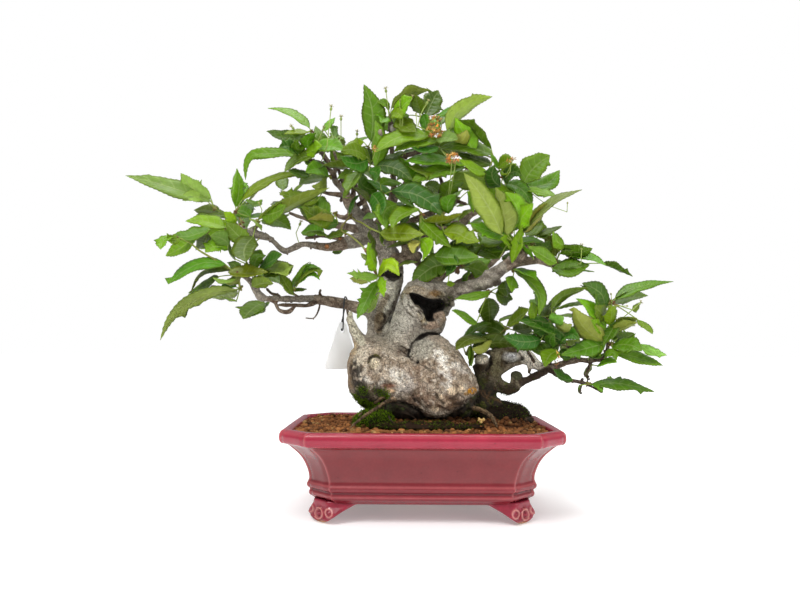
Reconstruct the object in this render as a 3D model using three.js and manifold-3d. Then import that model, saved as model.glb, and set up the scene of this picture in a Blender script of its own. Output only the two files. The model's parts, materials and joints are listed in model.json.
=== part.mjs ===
// Crabapple bonsai in its glazed pot.
// Units are millimetres, +Z up. The pot stands on its four feet at z = 0.
// The tree is one grown piece of wood; each leaf cluster is one spur's rosette.
import * as THREE from 'three';
import { mergeVertices } from 'three/addons/utils/BufferGeometryUtils.js';
import Module from 'manifold-3d';

const wasm = await Module();
wasm.setup();

// ---------------------------------------------------------------- dimensions
const GAP = 0.35;                 // clearance kept between touching pieces
const POT_DEPTH_LESS = 40;        // the pot is this much narrower (half 20) front to back
const WALL = 8;                   // wall and lip thickness
const FLOOR_Z = 27;               // top of the pot's floor
const BASE_Z = 19.4;              // underside of the pot's base, above the feet
const RIM_Z = 92.4;               // top of the rim
const DRAIN_X = 52, DRAIN_R = 11; // drain holes
const DRAINAGE_TOP = 41;          // top of the grit layer
const SOIL_EDGE_Z = 88.6;         // soil level at the wall
const BLADE_T = 0.9;              // leaf blade thickness at the midrib
const TAG_T = 0.9;                // tag thickness
const CORD_R = 0.8;               // tag cord radius
const TUBE_SIDES = 7;             // sides of a branch section

// outer profile of the pot: [half length, z, corner chamfer]
const OUTER = [
  [108.4, 19.4, 24], [111.0, 22.4, 24], [113.7, 24.4, 24.4], [114.6, 27.4, 24.5],
  [113.5, 30.6, 24], [115.8, 33, 24.7], [116.6, 35.6, 24.9], [115.4, 38.2, 23.6],
  [114.2, 42, 22.4], [115.2, 49, 22], [118.4, 58, 22.6], [123.2, 66, 24],
  [129.6, 73, 25.6], [134.2, 77.2, 26.6], [139.6, 79.2, 28], [141.6, 82.6, 28.6],
  [141.6, 87.4, 28.6], [140.4, 90.6, 28.2], [137.6, 92.4, 27.6],
];
const INNER = [
  [133.4, 92.4, 26.4], [131.4, 90.6, 26], [130.6, 84, 25.6], [124.4, 74, 24],
  [113.6, 64, 21.6], [108.6, 54, 20], [106.6, 42, 19.6], [105.6, 34, 19.6], [102, FLOOR_Z, 19],
];

const HOLLOW_AT = [10.5, -27, 218];      // old wound in the trunk's front
const TAG_HOLE = [-88.6, 19.5, 192.0];
const TAG_YAW = 40;                      // the tag turns its right edge back
const CORD_AT = [-85.1, 19.5, 221.7];    // on the left lower branch
const CORD_PATH = [[1.6, 7.6, -0.5], [1.4, 6.8, 4.5], [0.2, 1.5, 8.2], [-0.6, -4.2, 7.2], [-1.0, -7.2, 2.0], [-1.4, -7.2, -5],
  [-1.8, -5.4, -14], [-2.0, -3.6, -22], [-2.3, -2.4, -27.2], [-3.55, 0, -30.1], [-4.8, 2.4, -27.2], [-4.5, 3.6, -22], [-3.0, 5.8, -13], [-1.6, 7.6, -4.5]];
const MOSS = [
  ['moss_left', [-50, -20, 93], [23, 24, 16], 0],
  ['moss_front', [6, -44, 93], [62, 20, 7], 0],
  ['moss_mound', [92, 18, 97], [39, 34, 25], 0],
];

const WOOD = [
  ['stem', [[-41.1,14,174.8,19],[-44.8,20,192.7,15.5],[-44.9,22,206.4,14.5],[-34.9,22,241.6,13.5],[-32.7,20,258.5,13.5],[-36.1,17,275.2,12.8],[-76.6,8,328.1,6.8],[-87,9,349.8,4.2],[-96.4,11,359.4,2.9],[-98.8,12,368.8,2.3],[-95.7,14,380.8,1.9],[-99.5,16,395.2,1.6]]],
  ['front', [[-26.3,2,157.3,27],[-1.4,-7,218.6,24.5],[-0.4,-7,229.6,20],[1.8,-6,235.1,12]]],
  ['right', [[-1.4,-6,235.1,9.5],[59.1,-22,239.5,7.6],[98.6,-36,265.9,6.2],[108.9,-38,279.4,2.6]]],
  ['rightb', [[96.5,-36,263.8,5.2],[122.9,-30,266.8,3.8],[143.7,-22,261.4,2.4],[155.8,-16,264.3,1.6]]],
  ['stubR', [[13.8,-8,239.4,7],[20.5,-4,249.7,4.2],[45.8,10,264.6,1.5]]],
  ['lmid', [[-61.9,10,297.9,8],[-94,-5,284.4,4.8],[-127.1,-12,285.5,2.8],[-148.8,-18,276.9,2.7],[-166.8,-21,291.1,2.7],[-184,-22,294.6,4.4],[-197.3,-21,302.3,2.2],[-212.9,-16,317.4,1.4]]],
  ['lmid2', [[-81.2,0,290.7,3],[-105.6,-10,294.6,1.8],[-125.5,-16,291.4,1.5]]],
  ['lmid3', [[-182.9,-22,295.7,2.2],[-175.3,-28,307.7,1.4]]],
  ['llow', [[-43.8,21,208.6,9],[-89,19,222.4,4.9],[-127.7,-3,226.5,3.2],[-169.1,-31,225.6,3],[-177.3,-33,238.6,3],[-188.9,-34,248,1.7]]],
  ['llow2', [[-114.4,5,225.4,2.6],[-122,-4,219.9,2.2],[-152.3,-24,218.1,1.4]]],
  ['llow3', [[-162.9,-30,224.1,1.8],[-144.7,-36,209.6,1.8],[-133.4,-35,216.5,1.6]]],
  ['llow4', [[-112.4,7,224.4,1.9],[-111.7,5,236.6,1.3]]],
  ['llow5', [[-112.4,7,223.3,1.7],[-119,0,204.1,1.3],[-126.2,-4,205,1.2]]],
  ['llow6', [[-151,-20,224.8,1.7],[-165.8,-22,235.3,1.5]]],
  ['llow7', [[-132.6,-7,226.8,1.5],[-140.5,-16,234.8,1.2]]],
  ['dead', [[-60.4,0,172.5,10],[-74.7,-5,196.5,4.8],[-77.3,-6,210.1,2.2]]],
  ['dead2', [[-76.7,-5,200.9,2.4],[-82.5,4,222.2,1.2]]],
  ['grey', [[-37.1,12,271.2,6],[-3.7,-4,273.8,4.6]]],
  ['greyk', [[-8.1,-3,271.7,3.4],[8.1,-12,255.4,2.9]]],
  ['greyt', [[-18,3,274.7,3.8],[-22.6,3,292.5,2.6]]],
  ['rise1', [[-39.5,14,280.5,4.6],[-13.8,-2,311.8,3.4],[15.5,-14,321.9,2.4],[27.5,-14,328.5,1.9]]],
  ['rise2', [[-15.8,4,281.5,4.2],[18,16,306,4.2],[45.6,22,313.4,5.2],[53.8,24,322.5,3.6],[74.9,28,334.9,2]]],
  ['cr1', [[-77.8,8,329.2,3.6],[-75,-2,351.9,2.4],[-69.2,-7,368.6,2.4]]],
  ['cr2', [[-55.3,11,302.7,5],[-36.6,20,335.2,3.6],[-32.1,22,353,3.2],[-33.4,20,383.7,2.8],[-35.1,9,428.9,2.2]]],
  ['cr3', [[-32.3,20,381.4,3],[-23.1,14,389,3.2],[20.2,-4,394.3,1.8]]],
  ['cr4', [[-87,9,344.2,3.2],[-114.8,-3,347,1.4]]],
  ['cr5', [[-96.4,11,361.7,2.2],[-102.9,8,372.3,2.2],[-129.4,3,385.7,2.2]]],
  ['cr6', [[-102,9,378.3,2],[-119,8,399.7,1.6],[-125.2,10,417.5,1.2]]],
  ['cr7', [[-72.2,8,331.5,3],[-52.7,-1,341,1.7],[-32.5,-10,332.4,1.6]]],
  ['cr8', [[29.4,18,322.4,3.4],[21.1,12,344,3.2],[20.7,5,364,1.7]]],
  ['cr9', [[21.1,12,342.9,2.6],[49.4,0,332.5,1.6]]],
  ['cr10', [[-79.9,8,320.2,3.4],[-85.9,0,316.4,2.4],[-96.1,-9,320.2,1.5]]],
  ['cr11', [[-33.4,16,401.1,1.8],[-61.6,11,397.3,1.2]]],
  ['cr12', [[-90.3,9,337.3,2],[-91.2,16,365.2,1.7],[-96.4,20,387,1.6]]],
  ['rt', [[88.6,16,110.8,22],[83,15,139.7,11.5],[86.1,13,165.4,9.2],[92.7,12,171,8],[109.8,8,168.9,6.2],[122.3,4,157,5.2],[135.7,0,151.7,4.6],[195,-18,164.4,2.4],[199.4,-20,185.7,1.5]]],
  ['rta', [[88.2,12,147.7,8.2],[94.7,11,153.3,5.6],[112.9,7,159,4.6]]],
  ['rtk', [[81.5,12,142.1,9],[66,2,158.9,12]]],
  ['rtlo', [[79.5,14,132,10],[86.6,9,134.6,7.2],[100.8,1,128.6,6.4],[104.5,0,134.1,5.6],[104.1,1,141.7,6.8],[110.7,1,140.1,5.4],[135.7,0,148.4,4.2]]],
  ['rtlow2', [[135.7,0,149.5,2.6],[163.9,-9,138.2,2],[180.9,-14,135.4,1.5]]],
  ['rtv', [[118.6,2,147.2,2],[118.8,3,153.7,2]]],
  ['rtt1', [[139.9,-1,152.8,2.2],[142.4,-10,172.6,1.5],[130.4,-17,202.6,1.2]]],
  ['rtt2', [[183.3,-14,161,1.8],[181.8,-8,169.5,1.6],[173.3,-3,173.7,1.4],[151.2,5,176.9,1.3]]],
  ['rtt3', [[183.3,-14,160,1.6],[174.8,-17,144,1.4]]],
  ['rtt4', [[92.7,12,169.9,4.4],[88.5,14,178.8,3],[94.3,15,196.7,1.5]]],
  ['rtt5', [[84.9,12,164.3,3],[67.4,5,169.8,1.4],[58.3,2,163.3,1.4],[49.3,0,166.5,1.3]]],
  ['rtt6', [[169.9,-11,138.3,1.4],[192.7,-17,127.1,1.5]]],
  ['rtt7', [[126.3,2,153.8,1.8],[111.1,-10,176.7,1.2]]],
  ['root1', [[-18.4,-22,122.1,5],[-37,-37,117,2.4],[-71.6,-70,94.1,1.8]]],
  ['root2', [[-40.1,-36,110.7,1.8],[-38.7,-48,102.7,1.5],[-25.2,-62,91.4,1.3]]],
  ['root3', [[43.8,-14,115.4,6],[67.6,-30,105.5,2],[77.2,-44,92.7,1.8]]],
  ['root4', [[-1.3,-18,112.3,6],[3.7,-30,104.1,3],[18.5,-48,89.9,2]]],
  ['bk_r1', [[-55.4,14,300.9,6],[-100.3,54,317.9,3.8],[-161.8,92,339.3,1.6]]],
  ['bk_r2', [[-161.6,-20,288.5,2.6],[-186.1,22,304,1.9],[-210.5,52,312.4,1.4]]],
  ['bk_r3', [[-34,24,263.5,7],[-25.1,45,274.1,5.6],[-10.9,64,288.5,4.6],[27.1,104,325.8,1.7]]],
  ['bk_r4', [[29.9,-12,235.9,5],[86,44,274.4,3],[108.5,68,302.8,1.6]]],
  ['bk_r5', [[-33.2,21,335.4,3.6],[-26.6,40,353.5,3],[4.7,78,398,1.5]]],
  ['bk_r6', [[-55.4,14,306.6,4.4],[-61.2,34,327.4,3.4],[-69.3,48,350.3,2.8],[-88.7,64,386.7,1.5]]],
  ['bk_r7', [[88.2,20,168.6,5],[98.2,34,175.3,3.8],[142.7,62,188.5,1.6]]],
];
const BURLS = [
  ['burlL', [-46.1,3,150.6], [35,37,38], 0],
  ['burlL2', [-53.5,0,132.1], [25,29,22], 0],
  ['burlM', [-15.2,-4,139.1], [35,36,31], 0],
  ['bulb', [21.6,-8,142.8], [35,39,46], -33],
  ['bulb2', [36.9,-6,125.5], [27,30,24], 0],
  ['base', [-7.4,8,113.2], [57,38,22], 0],
  ['knob', [67.1,2,158.9], [13,13,12.5], 0],
];
// node, hub point, [class, blade width, surface normal, [midrib points]]
const CLUSTERS = {
  leaf_cluster_01: [
    [[-226.7,-14,324.3], 24.5, [0.32,-0.58,0.75], [[-228,-17.6,332.4],[-255.9,-25.4,344.5],[-284.8,-32.2,352.1],[-314.5,-38.1,354]]],
    [[-226.7,-14,324.3], 20.6, [0.24,0.77,0.60], [[-228.7,-15.6,336.1],[-239.7,-18,343.9],[-250.3,-21,352],[-260.5,-24.5,360.2]]],
    [[-226.7,-14,324.3], 14.6, [0.33,-0.45,0.83], [[-234.8,-16.7,331.5],[-241.7,-21.9,331.9],[-248.6,-26.9,331.9],[-255.5,-31.7,331.5]]],
    [[-226.7,-14,324.3], 16.1, [-0.05,-0.45,0.89], [[-221.9,-11.1,319.4],[-232.5,-6,325],[-243.7,-0.6,327.5],[-254.9,5.2,325.8]]],
  ],
  leaf_cluster_02: [
    [[-207.8,-26,299.3], 21.3, [0.31,-0.66,0.69], [[-209.7,-27,299.1],[-223.2,-30.4,301.8],[-236.7,-33.4,305],[-250,-35.8,308.6]]],
    [[-207.8,-26,299.3], 13.5, [-0.55,0.45,0.70], [[-207,-29.1,300.9],[-206.5,-34.9,305.7],[-205.7,-40.8,310.1],[-204.7,-47,314.2]]],
    [[-207.8,-26,299.3], 16.9, [-0.59,0.54,0.61], [[-205.4,-29.9,280.4],[-211.2,-37,281.5],[-216.3,-44.4,283.1],[-220.4,-52.1,285.5]]],
    [[-207.8,-26,299.3], 14, [0.26,-0.48,0.83], [[-206.7,-28.6,276.3],[-213.4,-33.7,276],[-220.2,-38.5,275.3],[-226.9,-43.2,274.2]]],
    [[-207.8,-26,299.3], 12.2, [0.78,-0.22,0.59], [[-198.1,-23.7,267.3],[-201.8,-19.4,274.6],[-206,-15,281.8],[-210.5,-10.5,288.7]]],
  ],
  leaf_cluster_03: [
    [[-205.1,-4,321.9], 20.9, [0.89,-0.45,0.08], [[-207.8,-2.4,327.8],[-209.3,0.2,343.2],[-209.1,3.2,358.7],[-207.6,6.6,373.9]]],
    [[-205.1,-4,321.9], 24.5, [-0.21,-0.71,0.67], [[-199.4,-1.1,333.7],[-178.1,3.4,349.9],[-155,8.9,363.3],[-130,15.5,373]]],
    [[-205.1,-4,321.9], 10.6, [0.03,0.12,0.99], [[-193.8,-6.1,334.9],[-186.9,-10,335.2],[-180.2,-13.9,335.5],[-173.6,-17.9,335.8]]],
    [[-205.1,-4,321.9], 16.9, [-0.49,-0.77,0.41], [[-189.3,0,318.3],[-198.3,7.1,324.7],[-208,14.6,328.2],[-217.6,22.8,327.1]]],
  ],
  leaf_cluster_04: [
    [[-227.8,-38,293], 20, [0.00,-0.67,0.74], [[-222.9,-40.6,295.7],[-236,-43.7,295.4],[-248.8,-46.3,292.9],[-261.1,-48.5,288]]],
    [[-227.8,-38,293], 20.7, [-0.41,-0.83,0.38], [[-234.6,-36.4,292.1],[-248.4,-34.1,285.9],[-261.4,-31.1,278.3],[-273.8,-27.4,269.8]]],
    [[-227.8,-38,293], 14.9, [-0.29,0.47,0.84], [[-228.9,-34.4,293.5],[-233.8,-27.3,288.6],[-238.6,-20.5,283.1],[-243.3,-13.9,277.1]]],
  ],
  leaf_cluster_05: [
    [[-253.6,-52,286.4], 14.4, [-0.12,-0.60,0.79], [[-254.5,-55.5,286.4],[-257,-62.5,281.3],[-259.5,-69.1,276],[-261.7,-75.5,270.3]]],
    [[-253.6,-52,286.4], 8.8, [0.73,-0.30,0.61], [[-249.9,-53.8,285.1],[-252.7,-57.3,287.2],[-255.7,-60.7,289],[-258.8,-64.1,290.7]]],
    [[-192.2,-42,248.3], 24.5, [-0.11,-0.65,0.75], [[-204.3,-44.4,257.4],[-224.9,-49.7,258.1],[-243.4,-54.2,250],[-259.7,-58,237.2]]],
    [[-192.2,-42,248.3], 24.5, [-0.47,-0.50,0.73], [[-201.2,-40,253.7],[-221.2,-36.7,255.2],[-238.6,-32.9,247.6],[-248.5,-28.6,231.2]]],
    [[-192.2,-42,248.3], 21.6, [-0.60,-0.67,0.43], [[-214.3,-37.8,248.6],[-228.6,-30.5,245],[-241.5,-22.6,239.2],[-253.1,-14.1,231.2]]],
    [[-192.2,-42,248.3], 13.8, [-0.27,0.21,0.94], [[-193.6,-44.5,243.9],[-200.5,-49.2,243.5],[-207.1,-54,242.6],[-213.5,-58.9,241.4]]],
    [[-192.2,-42,248.3], 11, [-0.02,-0.64,0.77], [[-195.1,-39.3,252.8],[-198.9,-34.6,257.1],[-202.7,-29.5,261.2],[-206.6,-24.2,265.1]]],
    [[-191.9,-34,235.3], 15, [-0.65,0.42,0.63], [[-195.1,-37.9,235],[-214.8,-42.2,233.7],[-232.7,-46.6,226],[-248.5,-51,214.9],[-258.7,-55.4,198.4],[-263.3,-59.7,179.1]]],
    [[-191.9,-34,235.3], 21.6, [0.01,0.27,0.96], [[-196,-29.8,233.5],[-210.2,-21.6,232.8],[-224.6,-13.7,230.8],[-239.2,-5.9,227.5]]],
    [[-191.9,-34,235.3], 10.1, [-0.21,-0.51,0.84], [[-196.6,-32,236.5],[-203.3,-28.4,237.5],[-210,-24.6,238.1],[-216.7,-20.6,238.4]]],
    [[-191.9,-34,235.3], 19.9, [-0.44,0.20,0.88], [[-168.3,-29.4,223],[-178.2,-20.5,218.1],[-187.3,-11.8,211.6],[-195.5,-3.2,203.6]]],
    [[-191.9,-34,235.3], 13.1, [0.10,0.26,0.96], [[-178.2,-38.1,235.1],[-169.7,-42.4,235.9],[-161.3,-46.9,236.3],[-153.1,-51.4,236.2]]],
  ],
  leaf_cluster_06: [
    [[-175.9,-30,306.3], 21.6, [-0.26,0.44,0.86], [[-172.7,-25.1,307.1],[-164.1,-15.5,306.5],[-155.2,-6.3,304.3],[-146.2,2.6,301]]],
    [[-175.9,-30,306.3], 24.5, [-0.29,0.19,0.94], [[-174.2,-33,308.9],[-149,-38.5,321.5],[-122.9,-44.2,330.5],[-96.1,-50.3,336.4]]],
    [[-175.9,-30,306.3], 28, [-0.01,-0.77,0.64], [[-180,-34.5,290.5],[-180,-43.6,280.5],[-179.9,-52.1,270.3],[-179.8,-60.1,259.8]]],
    [[-175.9,-30,306.3], 19.2, [-0.65,-0.55,0.53], [[-169.7,-34.5,311.9],[-160.1,-43.3,314.8],[-150.5,-51.8,317.7],[-141,-59.9,320.7]]],
  ],
  leaf_cluster_07: [
    [[-178.8,-18,256.1], 19.9, [-0.63,-0.50,0.59], [[-175.7,-22.6,258.9],[-166.1,-31.7,263.4],[-156,-40.4,266.8],[-145.3,-48.8,269.1]]],
    [[-178.8,-18,256.1], 14, [0.05,0.54,0.84], [[-180.2,-21.4,257.9],[-174.6,-27.6,262.3],[-169,-34.1,266.2],[-163.5,-40.9,269.5]]],
    [[-178.8,-18,256.1], 21.6, [0.19,-0.41,0.89], [[-173.3,-13.4,258.8],[-163.7,-4.9,262.9],[-153.7,3.8,265],[-143.4,12.9,264.7]]],
    [[-178.8,-18,256.1], 16.9, [-0.04,-0.39,0.92], [[-165,-22,257.9],[-155.6,-29.9,257.4],[-146.5,-37.5,254.8],[-138.5,-44.8,249.3]]],
    [[-178.8,-18,256.1], 12.1, [-0.63,-0.55,0.55], [[-184.9,-20.3,264.5],[-180.9,-24.9,270.4],[-174.8,-29.3,274],[-166.7,-33.4,272.1]]],
  ],
  leaf_cluster_08: [
    [[-140.5,-16,234.8], 21.6, [0.52,0.58,0.62], [[-142.7,-12.4,235.1],[-155.9,-5,240.8],[-169.9,1.8,246.1],[-184.4,8.1,251]]],
    [[-140.5,-16,234.8], 19.7, [-0.62,-0.45,0.64], [[-140.5,-12.6,237.3],[-138.3,-6.6,249.6],[-131.2,-0.2,259.2],[-122.9,6.5,268]]],
    [[-140.5,-16,234.8], 19.9, [-0.56,-0.57,0.60], [[-136.5,-17.5,236.9],[-130,-20.8,249.3],[-119.9,-23.7,258],[-105.4,-26.1,257.7]]],
    [[-140.5,-16,234.8], 8.8, [0.17,-0.47,0.87], [[-138,-14.2,233.9],[-134,-10.9,236.1],[-129.8,-7.5,237],[-125.5,-3.9,236.9]]],
  ],
  leaf_cluster_09: [
    [[-130.4,2,385.4], 14, [-0.32,0.43,0.85], [[-131.2,-0.8,392.6],[-133.9,-6,394.7],[-136.4,-11.4,396.5],[-138.7,-16.9,397.9]]],
    [[-130.4,2,385.4], 14.3, [-0.27,0.45,0.85], [[-125.5,-1.5,393.5],[-122.7,-7.9,398.3],[-119.9,-14.5,402.6],[-117.5,-21.3,406.5]]],
    [[-130.4,2,385.4], 17.9, [0.59,-0.67,0.45], [[-121.2,7.5,396.1],[-120.4,14.8,407.6],[-120,22.7,418.9],[-120.1,31,430]]],
    [[-130.4,2,385.4], 16.8, [0.73,-0.54,0.42], [[-136.5,-2,386.6],[-142.3,-9.8,387.6],[-148.4,-17.4,388.4],[-154.6,-24.6,389]]],
    [[-130.4,2,385.4], 12.2, [0.72,0.69,0.02], [[-133.1,5.1,382.9],[-138.1,11.2,381.4],[-143.6,16.9,379.8],[-149.4,22.4,378.2]]],
    [[-130.4,2,385.4], 16.5, [-0.64,-0.56,0.53], [[-128.8,-1.9,388.9],[-123.2,-9.7,393.4],[-116.4,-17.1,396.3],[-108.2,-24.2,390.3]]],
    [[-130.4,2,385.4], 21.5, [-0.19,-0.53,0.82], [[-124.4,-1.6,392.3],[-110.8,-8.9,393.6],[-97.2,-15.8,392.5],[-83.5,-22.2,388.8]]],
    [[-130.4,2,385.4], 15, [-0.34,-0.89,0.30], [[-137.6,5.2,386.3],[-152,8.3,393.1],[-167.7,11.4,394.7],[-183.5,14.4,396.2],[-197.5,17.5,392.5],[-203.9,20.6,379.1],[-204.7,23.6,364.4]]],
    [[-125.2,10,417.5], 24.5, [0.23,-0.64,0.74], [[-127.8,11.9,420.4],[-143.9,14.8,430],[-160.7,18.4,438.3],[-178.1,22.6,445.4]]],
    [[-125.2,10,417.5], 22.7, [0.06,0.15,0.99], [[-131.1,11.7,416.9],[-145.9,15.1,411.6],[-162.3,18.4,413.4],[-178.6,21.6,418.1]]],
    [[-125.2,10,417.5], 15.8, [0.11,-0.62,0.78], [[-127,7.2,415.5],[-135.5,1.5,415.5],[-143.6,-3.9,411.7],[-151.2,-8.8,405.9]]],
  ],
  leaf_cluster_10: [
    [[-102.6,6,365], 18.5, [0.69,-0.60,0.40], [[-103.3,1.7,362.8],[-110.2,-6.9,364.2],[-117.6,-15.1,364.6],[-125.4,-22.9,364.3]]],
    [[-102.6,6,365], 21.6, [0.16,0.26,0.95], [[-106.6,11,363.9],[-118.1,20.5,363.8],[-130.1,29.9,363.3],[-142.6,39,362.4]]],
    [[-102.6,6,365], 13.7, [-0.87,0.48,0.14], [[-105.5,2,360.6],[-110.3,-4.7,355.6],[-114.5,-11.6,350.7],[-118.2,-18.7,345.7]]],
    [[-102.6,6,365], 21.4, [0.27,-0.73,0.62], [[-115.6,4.4,336.3],[-129.5,0.7,339.3],[-143.5,-2.4,341.8],[-157.6,-4.9,343.7]]],
  ],
  leaf_cluster_11: [
    [[-94.7,-12,318.6], 22.9, [-0.41,-0.81,0.42], [[-99.6,-7.2,322.8],[-111.5,1.2,329.4],[-123.2,10.3,335.7],[-134.8,20.1,341.8]]],
    [[-94.7,-12,318.6], 21.6, [0.64,-0.76,0.11], [[-96.4,-16.3,313.4],[-106.1,-25,316.4],[-116.2,-33.1,319.1],[-126.5,-40.7,321.5]]],
    [[-94.7,-12,318.6], 18.8, [-0.22,0.12,0.97], [[-96.3,-16.4,310.1],[-104.6,-24.6,309],[-112.5,-33,308.1],[-119.9,-41.4,307.6]]],
    [[-94.7,-12,318.6], 18, [-0.47,-0.56,0.69], [[-107.1,-7.8,302.7],[-117.2,-0.1,305.7],[-127,7.9,305.7],[-136,16.3,302.7]]],
    [[-94.7,-12,318.6], 10.2, [-0.61,-0.67,0.42], [[-91.5,-10,310.1],[-97.4,-6.4,308.7],[-103,-2.6,306.8],[-108.2,1.5,304.3]]],
    [[-94.7,-12,318.6], 14.6, [-0.79,-0.50,0.35], [[-83.9,4.8,292.6],[-89.7,11.5,288.8],[-95.6,18.5,285.1],[-101.7,25.8,281.8]]],
  ],
  leaf_cluster_12: [
    [[-98.4,16,403.2], 11.3, [-0.29,-0.72,0.63], [[-109.1,18.2,419],[-105.6,22,425.6],[-101.9,26.1,432],[-98,30.6,438.2]]],
    [[-98.4,16,403.2], 10.7, [0.78,-0.61,0.10], [[-98.8,18.6,408.7],[-94.8,23.4,409.8],[-91,28.4,410.9],[-87.5,33.6,412]]],
    [[-98.4,16,403.2], 9.4, [0.90,-0.42,0.08], [[-100,18.5,414.4],[-97.9,23,419],[-96.1,27.7,423.6],[-94.6,32.6,428.2]]],
    [[-98.4,16,403.2], 16.3, [0.63,-0.57,0.53], [[-104.5,19.9,398.6],[-98.5,27,396.3],[-91.6,34.3,396.8],[-84.6,42,399]]],
  ],
  leaf_cluster_13: [
    [[-55.9,-10,375.7], 21.5, [0.65,-0.71,0.26], [[-58.9,-14.9,377.6],[-68.4,-24.8,376],[-78.1,-34.1,375],[-87.9,-42.9,374.2]]],
    [[-55.9,-10,375.7], 20.8, [-0.04,-0.89,0.46], [[-51.4,-11.6,370.8],[-37.5,-15.3,366],[-23.6,-18.3,361.2],[-9.7,-20.6,356.5]]],
    [[-55.9,-10,375.7], 13.8, [-0.67,-0.67,0.32], [[-56.8,-12.8,367.1],[-54.2,-18.5,361.9],[-51.4,-23.9,356.5],[-48.3,-29,351.1]]],
    [[-55.9,-10,375.7], 19.1, [0.79,-0.46,0.39], [[-68.2,-5.5,366.7],[-63.9,2.6,360.5],[-56.5,11,357.1],[-48.1,19.8,355.9]]],
    [[-55.9,-10,375.7], 20.4, [0.73,-0.60,0.33], [[-61.1,-14.7,379.9],[-67.2,-24,384.9],[-75.4,-32.9,386.3],[-84.9,-41.5,384.3]]],
    [[-55.9,-10,375.7], 18.7, [-0.36,-0.57,0.74], [[-67.6,-14.4,365.6],[-73.2,-23,357.3],[-78.2,-31.3,348.4],[-82.6,-39.1,339]]],
  ],
  leaf_cluster_14: [
    [[-60.4,10,399.3], 27.2, [0.29,0.93,0.22], [[-58.7,7.6,404.9],[-59.3,4.2,425.6],[-60.4,-0.3,445.9],[-62,-5.8,465.8]]],
    [[-60.4,10,399.3], 19.1, [-0.54,-0.65,0.53], [[-65.3,14.5,405.2],[-75.2,22.4,404.8],[-85.1,30.8,404.9],[-95,39.7,405.4]]],
  ],
  leaf_cluster_15: [
    [[-35.1,8,432], 24.5, [-0.32,0.13,0.94], [[-34.6,6,442.8],[-23.9,2.4,457.1],[-8.9,-1.3,465.2],[8.9,-5.2,459.4]]],
    [[-35.1,8,432], 20.2, [-0.74,-0.53,0.43], [[-34.5,3.3,437.3],[-28.5,-5.8,442.3],[-20.9,-14.7,445.4],[-11.2,-23.1,444.8]]],
    [[-35.1,8,432], 10, [0.78,-0.59,0.22], [[-36.8,6,439.4],[-40.5,2.1,442.1],[-44.1,-1.7,445],[-47.7,-5.3,447.9]]],
    [[-35.1,8,432], 13.5, [-0.35,-0.57,0.74], [[-36.8,4.7,432],[-32.5,-1.9,434.9],[-27.5,-8.3,431.4],[-24.2,-14.3,423.5]]],
    [[-35.1,8,432], 14.1, [0.23,-0.56,0.80], [[-39,4.5,430.9],[-43.3,-2.3,433.9],[-46.9,-8.8,428.8],[-48.3,-15.1,419.8]]],
    [[-35.1,8,432], 18.2, [0.11,-0.60,0.79], [[-26.6,3.7,430.6],[-18.2,-4.8,425.5],[-10.9,-12.9,418.1],[-4.5,-20.6,409.3]]],
  ],
  leaf_cluster_16: [
    [[-0.5,16,435.9], 23.8, [0.55,-0.76,0.34], [[5.3,20.9,438.8],[11.9,29.5,451.7],[16.2,38.8,465.4],[18,48.8,479.8]]],
    [[-0.5,16,435.9], 16.7, [0.04,0.49,0.87], [[1.7,12.1,438.1],[-1.9,5.1,442.9],[-5.4,-2.2,447.2],[-8.9,-9.7,450.9]]],
    [[-0.5,16,435.9], 9.8, [-0.50,-0.69,0.52], [[-2.8,18,442.4],[-7.3,21.4,447.6],[-12.1,25.1,450.4],[-14.2,29.1,446.2]]],
  ],
  leaf_cluster_17: [
    [[20.1,-6,411.7], 24.5, [-0.41,0.48,0.78], [[27.7,-8.3,412.1],[40,-12.2,428.7],[57.2,-16.7,439.2],[76.2,-21.7,446.1]]],
    [[20.1,-6,411.7], 17.6, [-0.45,-0.56,0.69], [[23.6,-1.8,422.1],[28.6,5.6,432.4],[34,13.4,442.4],[39.8,21.7,452]]],
    [[20.1,-6,411.7], 24.5, [-0.13,-0.70,0.70], [[8.9,-8.5,408.7],[-13.7,-14,406.5],[-34.6,-18.7,397.3],[-53.1,-22.5,383.3]]],
    [[20.1,-6,411.7], 16.5, [-0.33,-0.63,0.70], [[15.5,-9.9,402.6],[22.8,-17.8,401.1],[29.9,-25.2,397.5],[36.9,-32.3,392.7]]],
    [[20.1,-6,411.7], 8.5, [0.14,-0.72,0.68], [[30.2,-4.2,413.4],[34.9,-1.1,416.2],[39.6,2.2,418.8],[44.3,5.8,421.2]]],
    [[20.1,-6,411.7], 13.4, [0.04,0.13,0.99], [[34.3,-9.3,402.9],[39.3,-15.5,404],[44.2,-21.8,404.7],[49,-28.1,404.8]]],
  ],
  leaf_cluster_18: [
    [[77.1,-18,379.4], 25, [0.53,0.23,0.81], [[73.6,-19.9,388.8],[66.1,-23.2,404.1],[54.7,-26.8,416.1],[38.1,-30.5,414.9]]],
    [[77.1,-18,379.4], 25, [0.20,-0.50,0.84], [[78.5,-15.6,385.6],[59.1,-13.4,397],[38,-10.4,401.2],[17.9,-6.8,392.4]]],
    [[77.1,-18,379.4], 21.8, [0.18,-0.72,0.67], [[76.2,-16.4,372.1],[64.8,-13.9,382.6],[51.3,-10.8,389.1],[36.6,-7.1,392.3]]],
    [[77.1,-18,379.4], 22.1, [0.57,-0.59,0.58], [[72.2,-22.4,364],[61.5,-31.1,368.4],[50,-39.3,371.2],[37.9,-47.1,372.4]]],
  ],
  leaf_cluster_19: [
    [[49.7,4,374], 24.5, [-0.10,-0.70,0.71], [[47.3,1.7,375.1],[27.3,-3.5,367.3],[7.2,-7.9,360],[-12.9,-11.4,353.2]]],
    [[49.7,4,374], 24.5, [0.16,-0.70,0.70], [[40.6,1.8,376.8],[20.9,-3.2,381.5],[0.6,-7.5,380.8],[-19.6,-10.9,377.7]]],
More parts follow.
